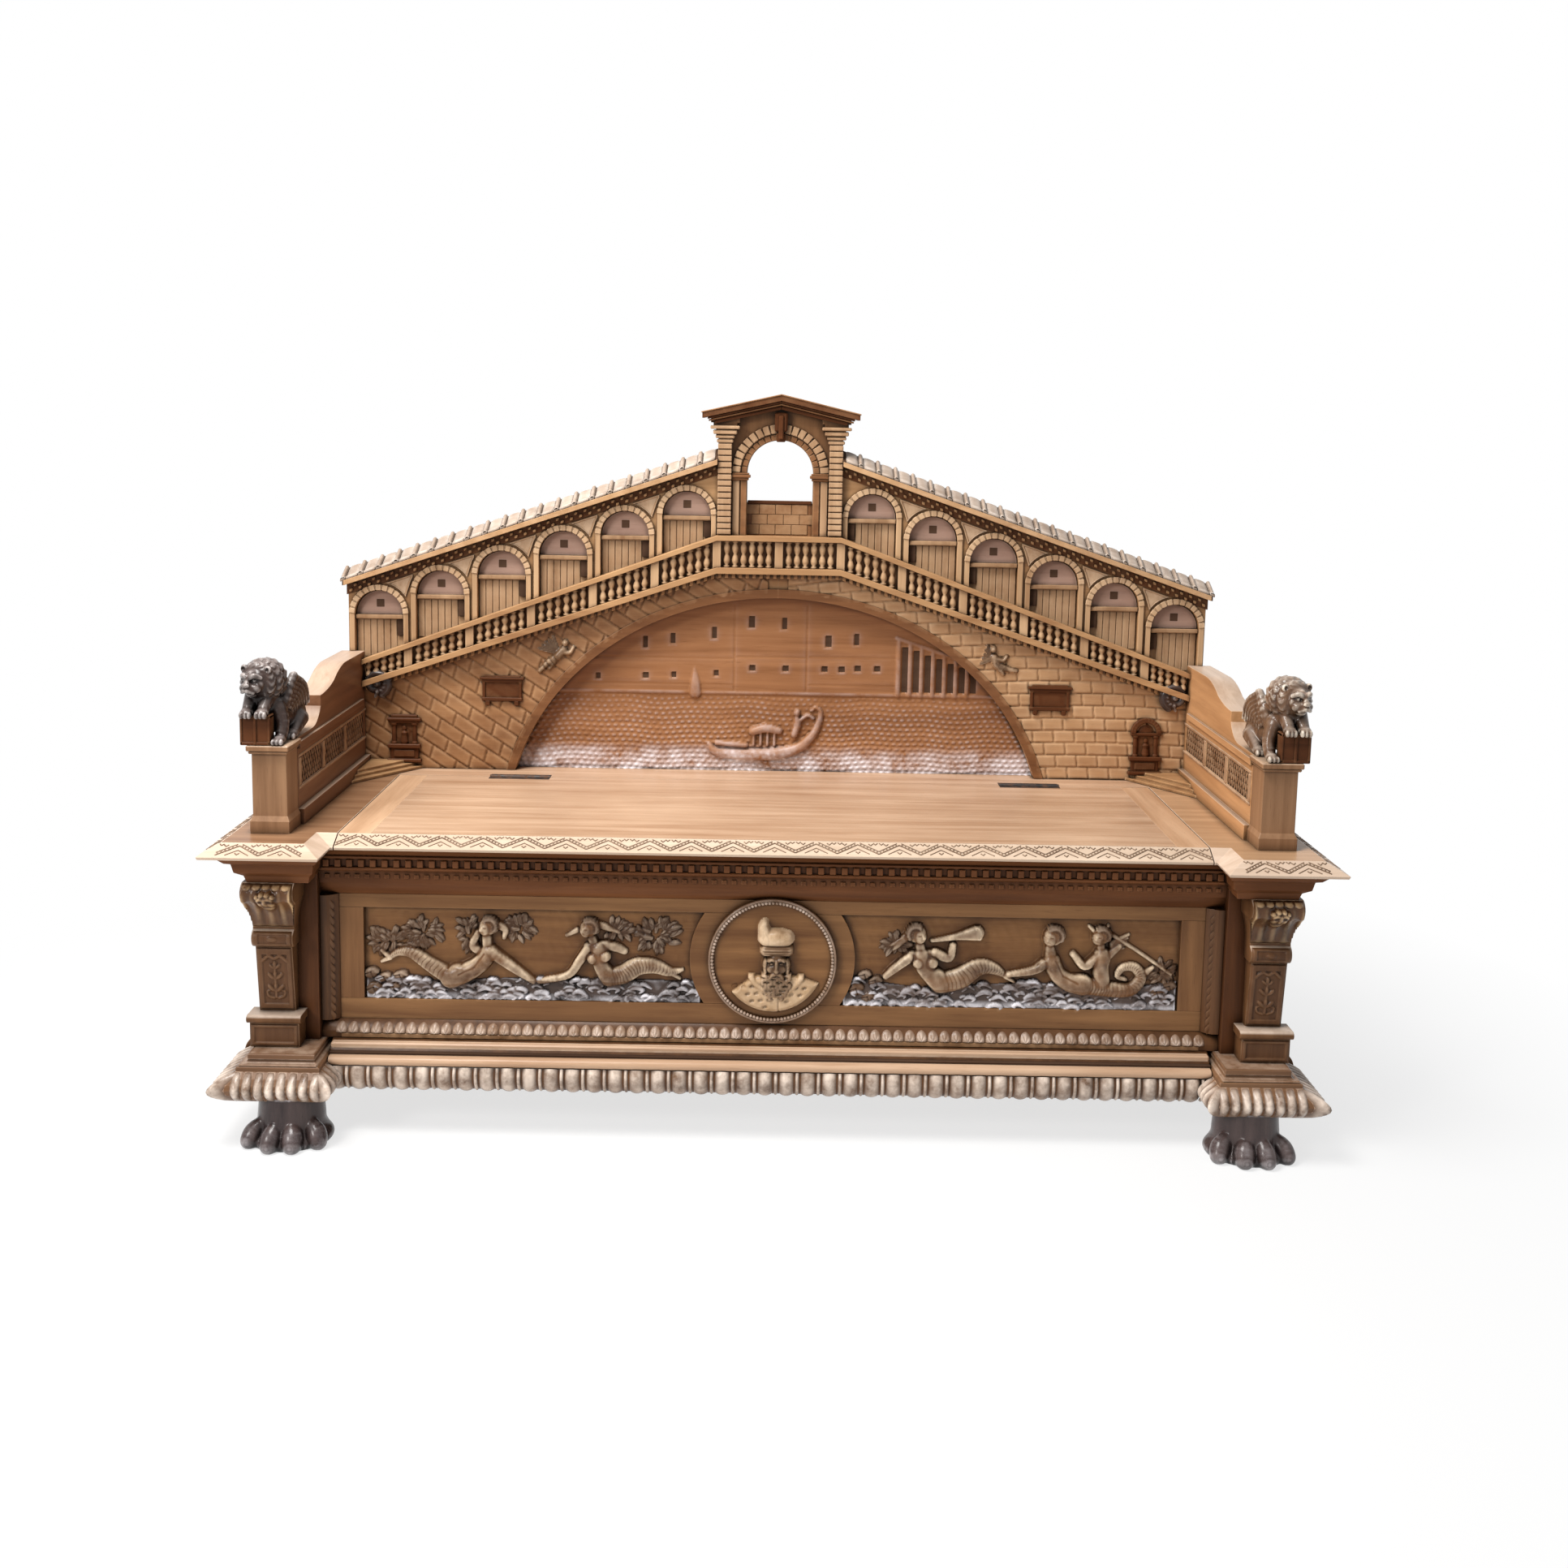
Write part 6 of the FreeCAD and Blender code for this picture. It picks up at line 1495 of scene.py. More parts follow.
def chevron(place):
    """One zigzag of the edge with a smaller one inside it and three drops."""
    zigzag = [(-34.5, 30.0), (0.0, 8.0), (34.5, 30.0)]
    outside = [(-34.5, 23.5), (-4.0, 4.0)], [(4.0, 4.0), (34.5, 23.5)]
    inside = [(-19.0, 30.0), (0.0, 18.0), (19.0, 30.0)]
    drops = [[(u - 3.5, s - 2.0), (u, s + 2.0), (u + 3.5, s - 2.0)]
             for u, s in ((-30.0, 6.0), (-22.0, 8.0), (22.0, 8.0), (30.0, 6.0), (0.0, 27.0))]
    hatch = []
    for k in range(6):
        u = 4.0 + 5.4 * k
        hatch += [[(side * u, 10.0 + 3.5 * k), (side * (u + 2.0), 5.5 + 3.5 * k)] for side in (1.0, -1.0)]
    return joined("chevron", [ridge(zigzag, 2.8, 1.1, place), ridge(inside, 2.2, 0.9, place)]
                  + [ridge(line, 2.0, 0.9, place) for line in outside]
                  + [ridge(d, 2.6, 0.9, place) for d in drops + hatch])


def splay(run_axis, edge, start_z, side):
    """Place on a splayed edge: u along it, s down the slope, h out of the face."""
    length = math.hypot(splay_run, splay_drop)

    def place(u, s, h):
        out = edge + side * (s * splay_run / length + h * splay_drop / length)
        z = start_z - s * splay_drop / length + h * splay_run / length
        return (u, out, z) if run_axis == "x" else (out, u, z)
    return place


def seat_edges():
    """Zigzag carving on the lid's edge and round the seat ends."""
    pitch = 70.0
    count = int(2.0 * lid_high[0] / pitch)
    reach = 0.5 * pitch * (count - 1)
    carving = chevron(splay("x", lid_low[1] + splay_run, seat_top, -1.0))
    piece("lid_edge_zigzag", row(carving, incised_wood, count, (-reach, 0, 0), (reach, 0, 0)), incised_wood,
          body="lid", smooth=False)
    end_edge = tip_y + splay_run
    first_x = 805.0
    first_y = end_edge + 40.0
    on_end = chevron(splay("x", end_edge, seat_top, -1.0))
    on_side = chevron(splay("y", tip_x - splay_run, seat_top, 1.0))
    meshes = [row(on_end, incised_wood, 2, (first_x, 0, 0), (first_x + pitch, 0, 0)),
              row(on_side, incised_wood, 8, (0, first_y, 0), (0, first_y + 7 * pitch, 0))]
    piece("seat_end_zigzag", meshes, incised_wood, smooth=False, twin=True)


# Relief panels: sea nymphs and a triton on the waves

def carved_pieces(relief, front, keep, parts):
    """One piece for each kind of finish on a relief."""
    for name, kind, finish in parts:
        piece(name, relief.sheet(name, front, keep, kind), finish)


def sunk_panel(left, right):
    """Field that laps over one sunk panel, measured up from the panel's foot."""
    lap = 2.0
    return Relief((left - lap, right + lap), (-lap, panel_high[2] - panel_low[2] + lap), 1.25)


def thicket(relief, centre, reach, count, seed):
    """Cluster of ribbed leaves that lie every way in low relief."""
    chance = np.random.default_rng(seed)
    relief.kind = FOLIAGE
    for k in range(2 * count):
        angle = chance.uniform(0.0, 2.0 * math.pi)
        away = math.sqrt(chance.uniform(0.0, 1.0))
        root = np.array((centre[0] + reach[0] * away * math.cos(angle),
                         centre[1] + reach[1] * away * math.sin(angle)))
        lean = angle + chance.uniform(-0.9, 0.9)
        size = chance.uniform(11.0, 18.0)
        tip = root + size * np.array((math.cos(lean), math.sin(lean)))
        relief.limb([root, 0.5 * (root + tip) + (0.0, 1.5), tip], [0.2 * size, 0.3 * size, 0.08 * size],
                    chance.uniform(0.4, 2.6), 0.8, 0.6)
        relief.groove([root, tip], 0.8, 1.0)
    relief.kind = GROUND


def curls(relief, centre, radius, turn, lift):
    """Locks of hair over the top and back of a head that looks to one side."""
    relief.kind = FOLIAGE
    for ring, count in ((0.95, 8), (0.5, 5)):
        for k in range(count):
            angle = 0.5 * math.pi + turn * (-0.5 + 2.6 * k / (count - 1))
            spot = (centre[0] + ring * radius * math.cos(angle), centre[1] + ring * radius * math.sin(angle))
            relief.mound(spot, (0.4 * radius, 0.26 * radius), 3.6, lift, angle + 1.1, 0.6)
    relief.kind = FIGURE


def small_head(relief, centre, radius, lift, turn):
    """Head of a relief figure with plain features, turned to one side."""
    x, z = centre
    relief.mound((x - 0.2 * turn * radius, z + 0.12 * radius), (radius, 1.02 * radius), 0.75 * radius, lift)
    relief.mound((x + 0.1 * turn * radius, z - 0.05 * radius), (0.74 * radius, 0.92 * radius), 0.95 * radius,
                 lift, 0.15 * turn)
    curls(relief, (x - 0.3 * turn * radius, z + 0.2 * radius), 0.85 * radius, turn, lift + 0.45 * radius)
    relief.limb([(x + 0.4 * turn * radius, z + 0.2 * radius), (x + 0.55 * turn * radius, z - 0.15 * radius)],
                [0.14 * radius, 0.2 * radius], lift + 0.75 * radius, 0.9, 0.8)
    for k in (0.08, 0.72):
        relief.groove([(x + (k - 0.1) * turn * radius, z + 0.12 * radius),
                       (x + (k + 0.12) * turn * radius, z + 0.14 * radius)], 1.1, 1.4)
    relief.groove([(x + 0.25 * turn * radius, z - 0.42 * radius), (x + 0.6 * turn * radius, z - 0.4 * radius)],
                  0.8, 0.9)


def waves(relief, crest, left, right, seed):
    """Broken water along the foot of a panel; crest gives the height of the water at a place."""
    chance = np.random.default_rng(seed)
    relief.kind = WATER
    part = relief.window(left, right, -20.0, 200.0)
    x = relief.x[part]
    z = relief.z[part]
    top = np.interp(x, *crest)
    water = 3.0 + 3.0 * np.clip(1.0 - z / np.maximum(top, 1.0), 0.0, 1.0) + 1.2 * np.sin(0.11 * x + 0.12 * z)
    wet = (z < top) & (z > 5.0 + 2.5 * np.sin(0.16 * x))
    relief.blend(part, np.where(wet, water, -6.0), 2.5)
    relief.pale[part] += np.where(wet, 0.7 * np.clip((20.0 - z) / 8.0, 0.0, 1.0), 0.0)
    # Crest share of scuffing and painted highlight, fading upwards on the water.
    relief.worn_and_highlit[part] = np.where(wet, np.clip(1.3 - z / 45.0, 0.35, 1.0), 1.0)
    for k in range(int((right - left) / 4.6)):
        u = chance.uniform(left + 12.0, right - 12.0)
        v = chance.uniform(8.0, float(np.interp(u, *crest)) - 2.0)
        size = chance.uniform(7.0, 16.0)
        turn = size * chance.choice((-1.0, 1.0))
        relief.limb([(u - turn, v - 0.3 * size), (u, v + 0.35 * size), (u + 0.8 * turn, v + 0.1 * size),
                     (u + 0.5 * turn, v - 0.3 * size)], [1.5, 0.34 * size, 0.28 * size, 0.15 * size],
                    4.5 + 0.06 * (40.0 - v), 1.0, 0.8)
    relief.kind = GROUND


def rocks(relief, places):
    """Broken rocks, each cut by a crack."""
    relief.kind = FOLIAGE
    for x, z, width, height in places:
        relief.mound((x, z), (width, height), 6.0, 3.0, 0.4, 1.0)
        relief.mound((x + 0.5 * width, z + 0.4 * height), (0.6 * width, 0.5 * height), 5.0, 4.0, -0.5, 0.8)
        relief.groove([(x - width, z - 0.3 * height), (x, z + 0.2 * height), (x + 0.3 * width, z - height)], 1.0, 2.0)
    relief.kind = GROUND


def fish_tail(relief, path, radii, lift):
    """Scaled tail with a forked fin at its end."""
    relief.limb(path, radii, lift, 0.75, 2.0)
    path, radii = smoothed(path, radii)
    for a, b, ra, rb in zip(path, path[1:], radii, radii[1:]):
        steps = max(1, round(math.hypot(b[0] - a[0], b[1] - a[1]) / 6.0))
        run = (b[0] - a[0], b[1] - a[1])
        length = math.hypot(*run)
        for k in range(steps):
            t = (k + 0.5) / steps
            half = 0.8 * (ra + t * (rb - ra))
            spot = (a[0] + t * run[0], a[1] + t * run[1])
            across = (-run[1] / length * half, run[0] / length * half)
            relief.groove([(spot[0] - across[0], spot[1] - across[1]),
                           (spot[0] + 2.5 * run[0] / length, spot[1] + 2.5 * run[1] / length),
                           (spot[0] + across[0], spot[1] + across[1])], 0.8, 0.7)


def left_relief():
    """Two sea nymphs reaching hands to each other."""
    panel = sunk_panel(-panel_high[0], -panel_low[0])
    for k, (x, z, wide, high, count) in enumerate(((-655, 108, 42, 17, 34), (-604, 126, 26, 18, 24),
                                                   (-526, 124, 12, 24, 16), (-438, 136, 20, 16, 20),
                                                   (-272, 134, 22, 10, 14), (-200, 126, 30, 22, 30))):
        thicket(panel, (x, z), (wide, high), count, 40 + k)
    crest = ((-708, -668, -563, -491, -398, -329, -208, -125), (58, 46, 37, 44, 45, 46, 46, 44))
    waves(panel, crest, -702.0, -124.0, 11)
    rocks(panel, ((-694, 52, 13, 10), (-672, 44, 14, 8), (-645, 48, 15, 8), (-690, 24, 14, 12), (-656, 27, 12, 8)))
    panel.kind = FIGURE
    fish_tail(panel, [(-555, 46), (-591, 68), (-623, 89), (-645, 90), (-662, 80)], [16, 13, 10, 7, 4], 4.0)
    panel.limb([(-662, 80), (-676, 92)], [5, 2], 5.0)
    panel.limb([(-662, 80), (-676, 72)], [5, 2], 5.0)
    panel.limb([(-490, 93), (-505, 72), (-531, 55), (-556, 46)], [15, 15, 17, 19], 5.0, 0.8, 4.0)
    panel.mound((-545, 56), (19, 15), 14.0, 6.0, 0.3, 4.0)
    panel.limb([(-494, 122), (-492, 100)], [7.5, 9.0], 6.0)
    panel.limb([(-487, 95), (-454, 71), (-430, 54), (-413, 42)], [10.5, 8.5, 6.5, 4.5], 8.0, 0.95, 1.5)
    panel.limb([(-502, 92), (-518, 104), (-508, 128)], [8, 7, 5], 4.0, 0.85, 1.5)
    panel.groove([(-497, 92), (-514, 68), (-540, 56)], 1.6, 1.2)
    small_head(panel, (-494, 137), 15.0, 6.0, -1.0)
    panel.limb([(-478, 142), (-462, 134), (-464, 118)], [7, 6, 3], 5.0)
    fish_tail(panel, [(-281, 50), (-257, 57), (-233, 71), (-205, 72), (-176, 62), (-156, 66)],
              [16, 17, 16, 13, 8, 3], 4.0)
    panel.limb([(-176, 62), (-160, 50)], [6, 2], 5.0)
    panel.limb([(-300, 100), (-296, 72), (-283, 52)], [15, 13, 16], 5.0, 0.85, 4.0)
    panel.limb([(-318, 104), (-288, 108)], [9, 9], 5.0)
    for spot in ((-310, 86), (-290, 90)):
        panel.mound(spot, (9.5, 9.5), 9.0, 12.0, 0.0, 1.5)
    panel.limb([(-319, 101), (-334, 79), (-352, 55), (-390, 45), (-404, 42)], [8.5, 7.5, 6.5, 5.5, 4.0], 7.0,
               0.95, 1.5)
    panel.limb([(-287, 108), (-268, 104), (-256, 98)], [8, 8, 6], 4.0, 0.9, 1.5)
    panel.limb([(-312, 120), (-307, 108)], [7, 8], 6.0)
    small_head(panel, (-320, 137), 15.0, 6.0, -1.0)
    panel.limb([(-306, 146), (-288, 140), (-266, 131)], [7, 6, 3], 3.0)
    panel.limb([(-338, 134), (-356, 124)], [5, 3], 3.0)
    return panel


def right_relief():
    """Nymph with a shell horn, a swimming woman and a young triton."""
    panel = sunk_panel(panel_low[0], panel_high[0])
    crest = ((124, 162, 254, 353, 452, 552, 647, 705), (60, 52, 40, 46, 54, 40, 50, 60))
    waves(panel, crest, 124.0, 702.0, 23)
    thicket(panel, (214, 118), (18, 12), 14, 51)
    thicket(panel, (676, 74), (20, 14), 18, 52)
    rocks(panel, ((160, 62, 12, 8), (179, 52, 13, 8), (146, 36, 14, 12), (166, 22, 13, 9), (690, 50, 13, 8),
                  (668, 40, 14, 9)))
    panel.kind = FIGURE
    fish_tail(panel, [(292, 50), (326, 60), (358, 80), (385, 77), (406, 64)], [18, 19, 15, 10, 4], 4.0)
    panel.limb([(406, 64), (422, 72)], [5, 2], 5.0)
    panel.limb([(406, 64), (420, 54)], [5, 2], 5.0)
    panel.limb([(258, 98), (266, 76), (292, 52)], [15, 15, 19], 5.0, 0.85, 4.0)
    panel.limb([(240, 98), (278, 102)], [9, 9], 5.0)
    for spot in ((253, 88), (276, 88)):
        panel.mound(spot, (10, 10), 9.0, 12.0, 0.0, 1.5)
    panel.limb([(238, 96), (213, 76), (197, 61)], [8.5, 7.0, 5.0], 7.0, 0.95, 1.5)
    panel.limb([(281, 104), (306, 97), (312, 118)], [8.5, 7.5, 5.5], 7.0, 0.95, 1.5)
    panel.limb([(276, 126), (313, 133), (336, 138), (352, 141)], [3.0, 5.5, 9.5, 13.0], 6.0, 0.8, 1.0)
    panel.mound((355, 142), (4.0, 11.0), -5.0, 15.0, 0.2, 1.0)
    panel.limb([(254, 120), (258, 104)], [7, 9], 6.0)
    small_head(panel, (252, 136), 15.5, 6.0, 1.0)
    for path in ([(236, 140), (220, 124), (202, 115)], [(234, 132), (216, 116), (206, 106)]):
        panel.limb(path, [6, 5, 2], 3.0)
    fish_tail(panel, [(535, 52), (585, 44), (622, 44), (640, 66), (628, 84), (608, 83), (600, 68), (614, 61)],
              [18, 14, 12, 10, 8.5, 7, 5, 3], 4.0)
    panel.limb([(484, 92), (495, 70), (514, 56), (538, 52)], [15, 14, 16, 19], 5.0, 0.85, 4.0)
    panel.limb([(470, 88), (451, 76), (410, 68)], [9, 7.5, 5], 7.0, 0.95, 1.5)
    panel.limb([(480, 120), (482, 102)], [7, 10], 6.0)
    panel.groove([(490, 96), (503, 70), (528, 58)], 1.6, 1.2)
    small_head(panel, (482, 136), 16.0, 6.0, -1.0)
    panel.limb([(571, 104), (569, 84), (572, 58)], [15, 14, 14], 5.0, 0.85, 4.0)
    panel.limb([(563, 102), (541, 86), (521, 106)], [8, 7, 5], 8.0, 0.95, 1.5)
    panel.limb([(582, 106), (600, 122)], [7.5, 5], 6.0, 0.95, 1.5)
    panel.limb([(584, 143), (640, 108), (692, 72)], [3.4, 3.0, 2.6], 4.0, 0.9, 1.0)
    for k in range(5):
        panel.limb([(588, 116 + 3 * k), (608 + 2 * k, 118 + 6 * k)], [5, 2.4], 3.0, 0.8, 1.0)
    panel.limb([(568, 124), (570, 108)], [6.5, 8], 6.0)
    small_head(panel, (565, 138), 14.5, 6.0, -1.0)
    panel.limb([(556, 148), (547, 156)], [4, 1.8], 6.0)
    panel.limb([(574, 150), (580, 158)], [4, 1.8], 6.0)
    panel.limb([(650, 76), (660, 84)], [6, 3], 4.0)
    return panel


def relief_panels():
    """Carved faces over the two sunk panels, ended by the hollow round the medallion."""
    middle = (medal_low + medal_high) / 2
    for name, panel in (("relief_left", left_relief()), ("relief_right", right_relief())):
        panel.z += panel_low[2]
        panel.keen = np.where(panel.zone == WATER, 1.2, 2.0)
        chance = np.random.default_rng(5)
        ground = np.zeros_like(panel.height)
        for k in range(60):
            spot = chance.uniform(0.0, 1.0, 3)
            ground += 0.12 * np.sin(panel.x * (0.1 + 0.3 * spot[0]) + 6.0 * spot[1] + panel.z * 0.6 * (spot[2] - 0.5))
        panel.height += 0.3 + 0.25 * ground
        clear = np.hypot(panel.x, panel.z - middle[2]) > surround_radius - 1.5
        carved_pieces(panel, panel_low[1], clear, (
            (name + "_ground", GROUND, relief_wood), (name + "_water", WATER, wave_wood),
            (name + "_foliage", FOLIAGE, foliage_wood), (name + "_figures", FIGURE, figure_wood)))


def bust():
    """Bearded man in a horned cap and embroidered robe: a calm, plain face of even proportions."""
    radius = (medal_high[0] - medal_low[0]) / 2 + 0.6
    disc = Relief((-radius, radius), (-radius, radius), 1.1)
    disc.keen = 2.0
    axis = 7.0
    disc.kind = ROBE
    part = disc.window(-radius, radius, -radius, -16.0)
    x = disc.x[part]
    z = disc.z[part]
    shoulder = np.interp(x, (-84, -34, 8, 48, 92), (-66, -27, -20, -26, -42))
    drop = np.clip(np.minimum(shoulder - z, 89.0 - np.hypot(x, z)) / 7.0, 0.0, 1.0)
    disc.blend(part, np.where(drop > 0.0, 1.5 + 8.0 * np.sqrt(drop) + 2.5 * np.cos((x - 8.0) / 50.0), -6.0), 1.0)
    disc.pale[part] += np.where(drop > 0.3, 0.5, 0.0)
    for level in range(5):
        for k in range(-6, 8):
            x = 11.0 + 15.0 * k + 7.5 * (level % 2)
            z = -40.0 - 13.0 * level - 0.1 * abs(x)
            if math.hypot(x, z) < 81.0 and abs(x - 10.0) > 7.0:
                disc.groove([(x - 1.5, z), (x + 1.5, z + 1.0)], 2.8, 4.4)
    disc.groove([(11, -46), (12, -90)], 1.3, 2.6)
    disc.limb([(-36, -27), (-26, -40), (4, -60)], [4.5, 5, 4], 9.5, 0.9, 1.0)
    disc.limb([(50, -27), (40, -40), (16, -60)], [4.5, 5, 4], 9.5, 0.9, 1.0)
    disc.kind = BEARD
    disc.mound((axis, -5), (19, 30), 19.0, 2.0, 0.0, 2.0)
    for side in (-0.8, 0.8):
        disc.mound((axis + 24 * side, -4), (4.5, 9.5), 7.0, 5.0, 0.0, 1.5)
        disc.groove([(axis + 24 * side, 1), (axis + 23 * side, -8)], 1.3, 1.5)
        hollow = np.exp(-(((disc.x - axis - 9.6 * side) / 6.4) ** 2 + ((disc.z - 0.6) / 4.2) ** 2))
        disc.height -= 4.6 * hollow
        disc.mound((axis + 9.4 * side, 0.4), (4.2, 2.5), 2.6, 16.6, 0.0, 0.5)
        disc.groove([(axis + 5.6 * side, 0.8), (axis + 9.5 * side, 3.0), (axis + 13.6 * side, 0.9)], 0.7, 1.0)
        disc.limb([(axis + 4 * side, 6.0), (axis + 10 * side, 7.6), (axis + 16.5 * side, 5.0)], [2.2, 2.4, 1.6],
                  19.0, 0.8, 1.0)
        disc.mound((axis + 11 * side, -10), (7, 6), 3.0, 17.0, 0.4 * side, 3.0)
        disc.limb([(axis + 1 * side, -17), (axis + 8 * side, -19), (axis + 14 * side, -25)], [3.0, 3.2, 1.8],
                  19.5, 0.9, 0.9)
        disc.mound((axis + 4.2 * side, -12.0), (2.8, 2.4), 3.0, 19.5, 0.0, 0.8)
    disc.limb([(axis, 5), (axis, -8), (axis, -12)], [2.6, 3.4, 4.4], 20.0, 1.1, 1.5)
    disc.limb([(axis - 6, -23.5), (axis + 6, -23.5)], [2.4, 2.4], 18.0, 0.8, 0.8)
    disc.groove([(axis - 7, -21.5), (axis + 7, -21.5)], 0.9, 1.4)
    chance = np.random.default_rng(17)
    for level, half in enumerate((20.0, 21.0, 20.0, 17.0, 13.0, 8.0)):
        z = -25.0 - 7.4 * level
        count = max(2, round(half / 4.2))
        for k in range(count):
            x = axis + half * (2.0 * k / (count - 1) - 1.0) + chance.uniform(-0.8, 0.8)
            lift = 14.0 - 0.7 * level
            turn = -1.0 if (k + level) % 2 else 1.0
            disc.limb([(x - 3.0 * turn, z + 3.0), (x + 2.5 * turn, z + 2.0), (x + 2.0 * turn, z - 3.5),
                       (x - 2.0 * turn, z - 4.0)], [2.6, 3.5, 3.2, 2.0], lift, 1.3, 0.6)
    for side in (-0.82, 0.82):
        for level in range(5):
            disc.limb([(axis + 21 * side, 4 - 6 * level), (axis + 23 * side, -1 - 6 * level),
                       (axis + 20 * side, -4 - 6 * level)], [2.4, 3.0, 2.0], 12.0, 1.1, 0.8)
    disc.limb([(-12, 22), (26, 22)], [8.5, 8.5], 13.0, 0.8, 1.0)
    for z in (17.0, 22.0, 27.0):
        disc.groove([(-20, z), (34, z)], 1.0, 1.6)
    disc.kind = ROBE
    before = disc.height.copy()
    disc.limb([(-12, 42), (6, 44), (23, 42)], [12, 14, 12], 8.0, 0.9, 2.0)
    disc.limb([(-12, 47), (-16, 62), (-14, 70)], [11, 7.5, 4.5], 8.0, 0.95, 3.0)
    disc.pale += np.where(disc.height > before + 0.5, 0.9, 0.0)
    for k in range(2):
        disc.groove([(-20 + 14 * k, 34), (-14 + 8 * k, 46), (-16 + 2 * k, 58)], 1.0, 0.8)
    middle = (medal_low[2] + medal_high[2]) / 2
    disc.z += middle
    disc.height += 0.4
    inside = np.hypot(disc.x, disc.z - middle) < radius
    carved_pieces(disc, medal_low[1], inside, (
        ("medallion_ground", GROUND, relief_wood), ("medallion_robe", ROBE, robe_wood),
        ("medallion_head", BEARD, beard_wood)))


gadroons()
chest_mouldings()
seat_edges()
relief_panels()
bust()


# Scene board under the arch and stone facing of the bridge

def arch_share(field, lap):
    """Under one inside the arch with a lap round it, over one outside."""
    return (field.x / (arch_half_span + lap)) ** 2 + ((field.z - arch_centre) / (arch_rise + lap)) ** 2


def scene_board():
    """Waterside palace front, water and a long boat with a high curled prow."""
    board = Relief((-arch_half_span - 6.0, arch_half_span + 6.0), (seat_top, arch_centre + arch_rise + 4.0), 2.3)
    board.height += 1.6
    quay = 684.0
    wall = (board.z > quay) & (np.abs(board.x) < 470.0)
    board.height += np.where(wall, 1.4, 0.0)
    for x0, x1, z in ((-400, -90, 753), (-80, 55, 757), (66, 240, 759), (-400, -90, 700), (66, 240, 702)):
        board.groove([(x0, z), (x1, z)], 1.5, 1.1)
    for x in (-85.0, 60.0):
        board.groove([(x, quay), (x, 862)], 1.3, 2.2)
    for x, z in ((-264, 784), (-209, 792), (-126, 804), (-52, 828), (13, 825), (102, 790), (159, 795)):
        window_opening(board, x, z, 5.0, 11.0)
    for x, z in ((-359, 714), (-263, 716), (-207, 719), (-122, 722), (-49, 735), (18, 734), (96, 734), (130, 735),
                 (162, 736), (201, 737)):
        window_opening(board, x, z, 5.5, 5.5)
    for k in range(7):
        x = 244.0 + 23.0 * k
        board.limb([(x, quay), (x, 796.0 - 8.0 * k)], [5.0, 4.6], 2.6, 0.7, 1.0)
        # Slot between posts, kept apart to take painted shade.
        slot = (np.abs(board.x - x - 11.5) < 5.5) & (board.z > quay + 5.0) & (board.z < 782.0 - 8.0 * k)
        board.height -= np.where(slot, 2.2, 0.0)
        board.zone = np.where(slot, OPENING, board.zone)
    board.limb([(240, 800), (400, 748)], [5, 5], 2.4, 0.6, 1.0)
    board.limb([(-163, quay), (-163, 708), (-165, 736)], [12, 9, 1.5], 2.6, 0.5, 1.5)
    board.limb([(-440, quay), (440, quay)], [3.6, 3.6], 1.8, 0.7, 1.0)
    water = board.z < quay - 3.0
    # Share of scuffing and painted highlight on the crests, higher on the water.
    board.worn_and_highlit = np.where(water, 0.25, 0.15)
    depth = np.clip((quay - board.z) / (quay - seat_top), 0.0, 1.0)
    drift = 2.0 * np.sin(board.x / 47.0) + 1.5 * np.sin(board.x / 19.0 + 1.3)
    course = np.floor((board.z + drift) / 10.0)
    bands = 0.5 + 0.5 * np.sin(2.0 * np.pi * (board.z + drift) / 10.0)
    ripple = bands * (0.55 + 0.45 * np.sin(2.0 * np.pi * board.x / 14.0 + 2.4 * course))
    board.height += np.where(water, (1.2 + 2.6 * depth) * ripple - 0.4, 0.0)
    board.pale += np.where(water, np.clip((depth - 0.66) / 0.16, 0.0, 1.0) * (0.55 + 0.45 * ripple), 0.0)
    hull = [(-134, 579), (-114, 562), (-26, 558), (40, 570), (74, 599), (88, 630), (90, 648), (80, 656), (72, 650)]
    board.limb(hull, [4, 9, 12, 10.5, 8, 6, 4.5, 3.6, 3.0], 3.0, 0.85, 1.5)
    board.groove([(-118, 574), (-26, 571), (38, 583), (70, 608)], 1.3, 1.4)
    board.limb([(-118, 581), (-60, 577)], [4.5, 4.5], 6.0, 0.8, 1.0)
    board.limb([(-46, 606), (-20, 613), (6, 608)], [8, 9, 7], 5.0, 0.9, 1.5)
    for x in (-44.0, -30.0, -16.0, -2.0):
        board.limb([(x, 604), (x, 578)], [2.2, 2.2], 6.0, 0.9, 0.8)
    board.limb([(38, 600), (44, 622), (43, 636)], [6, 6.5, 4], 5.0, 0.9, 1.5)
    board.mound((43, 645), (6.0, 7.0), 6.5, 5.0, 0.0, 1.0)
    board.limb([(46, 628), (64, 640), (76, 634)], [3.4, 2.8, 2.2], 6.0, 0.9, 1.0)
    # The window holes and slots take a sheet of painted shade.
    carved_pieces(board, backing_front, arch_share(board, 3.0) < 1.0, (
        ("scene_board_carved", GROUND, scene_wood), ("scene_openings", OPENING, shadow_wood)))


def window_opening(board, x, z, half_width, half_height):
    """Small sunk window, its hole kept apart for painted shade, with a pale sill."""
    part = board.window(x - half_width - 3.0, x + half_width + 3.0, z - half_height - 6.0, z + half_height + 4.0)
    u = np.abs(board.x[part] - x)
    v = np.abs(board.z[part] - z)
    opening = (u < half_width) & (v < half_height)
    board.height[part] -= np.where(opening, 2.4, 0.0)
    board.zone[part] = np.where(opening, OPENING, board.zone[part])
    sill = z - half_height - 3.0
    board.limb([(x - half_width - 3.0, sill), (x + half_width + 3.0, sill)], [2.0, 2.0], 2.8, 0.4, 0.6)


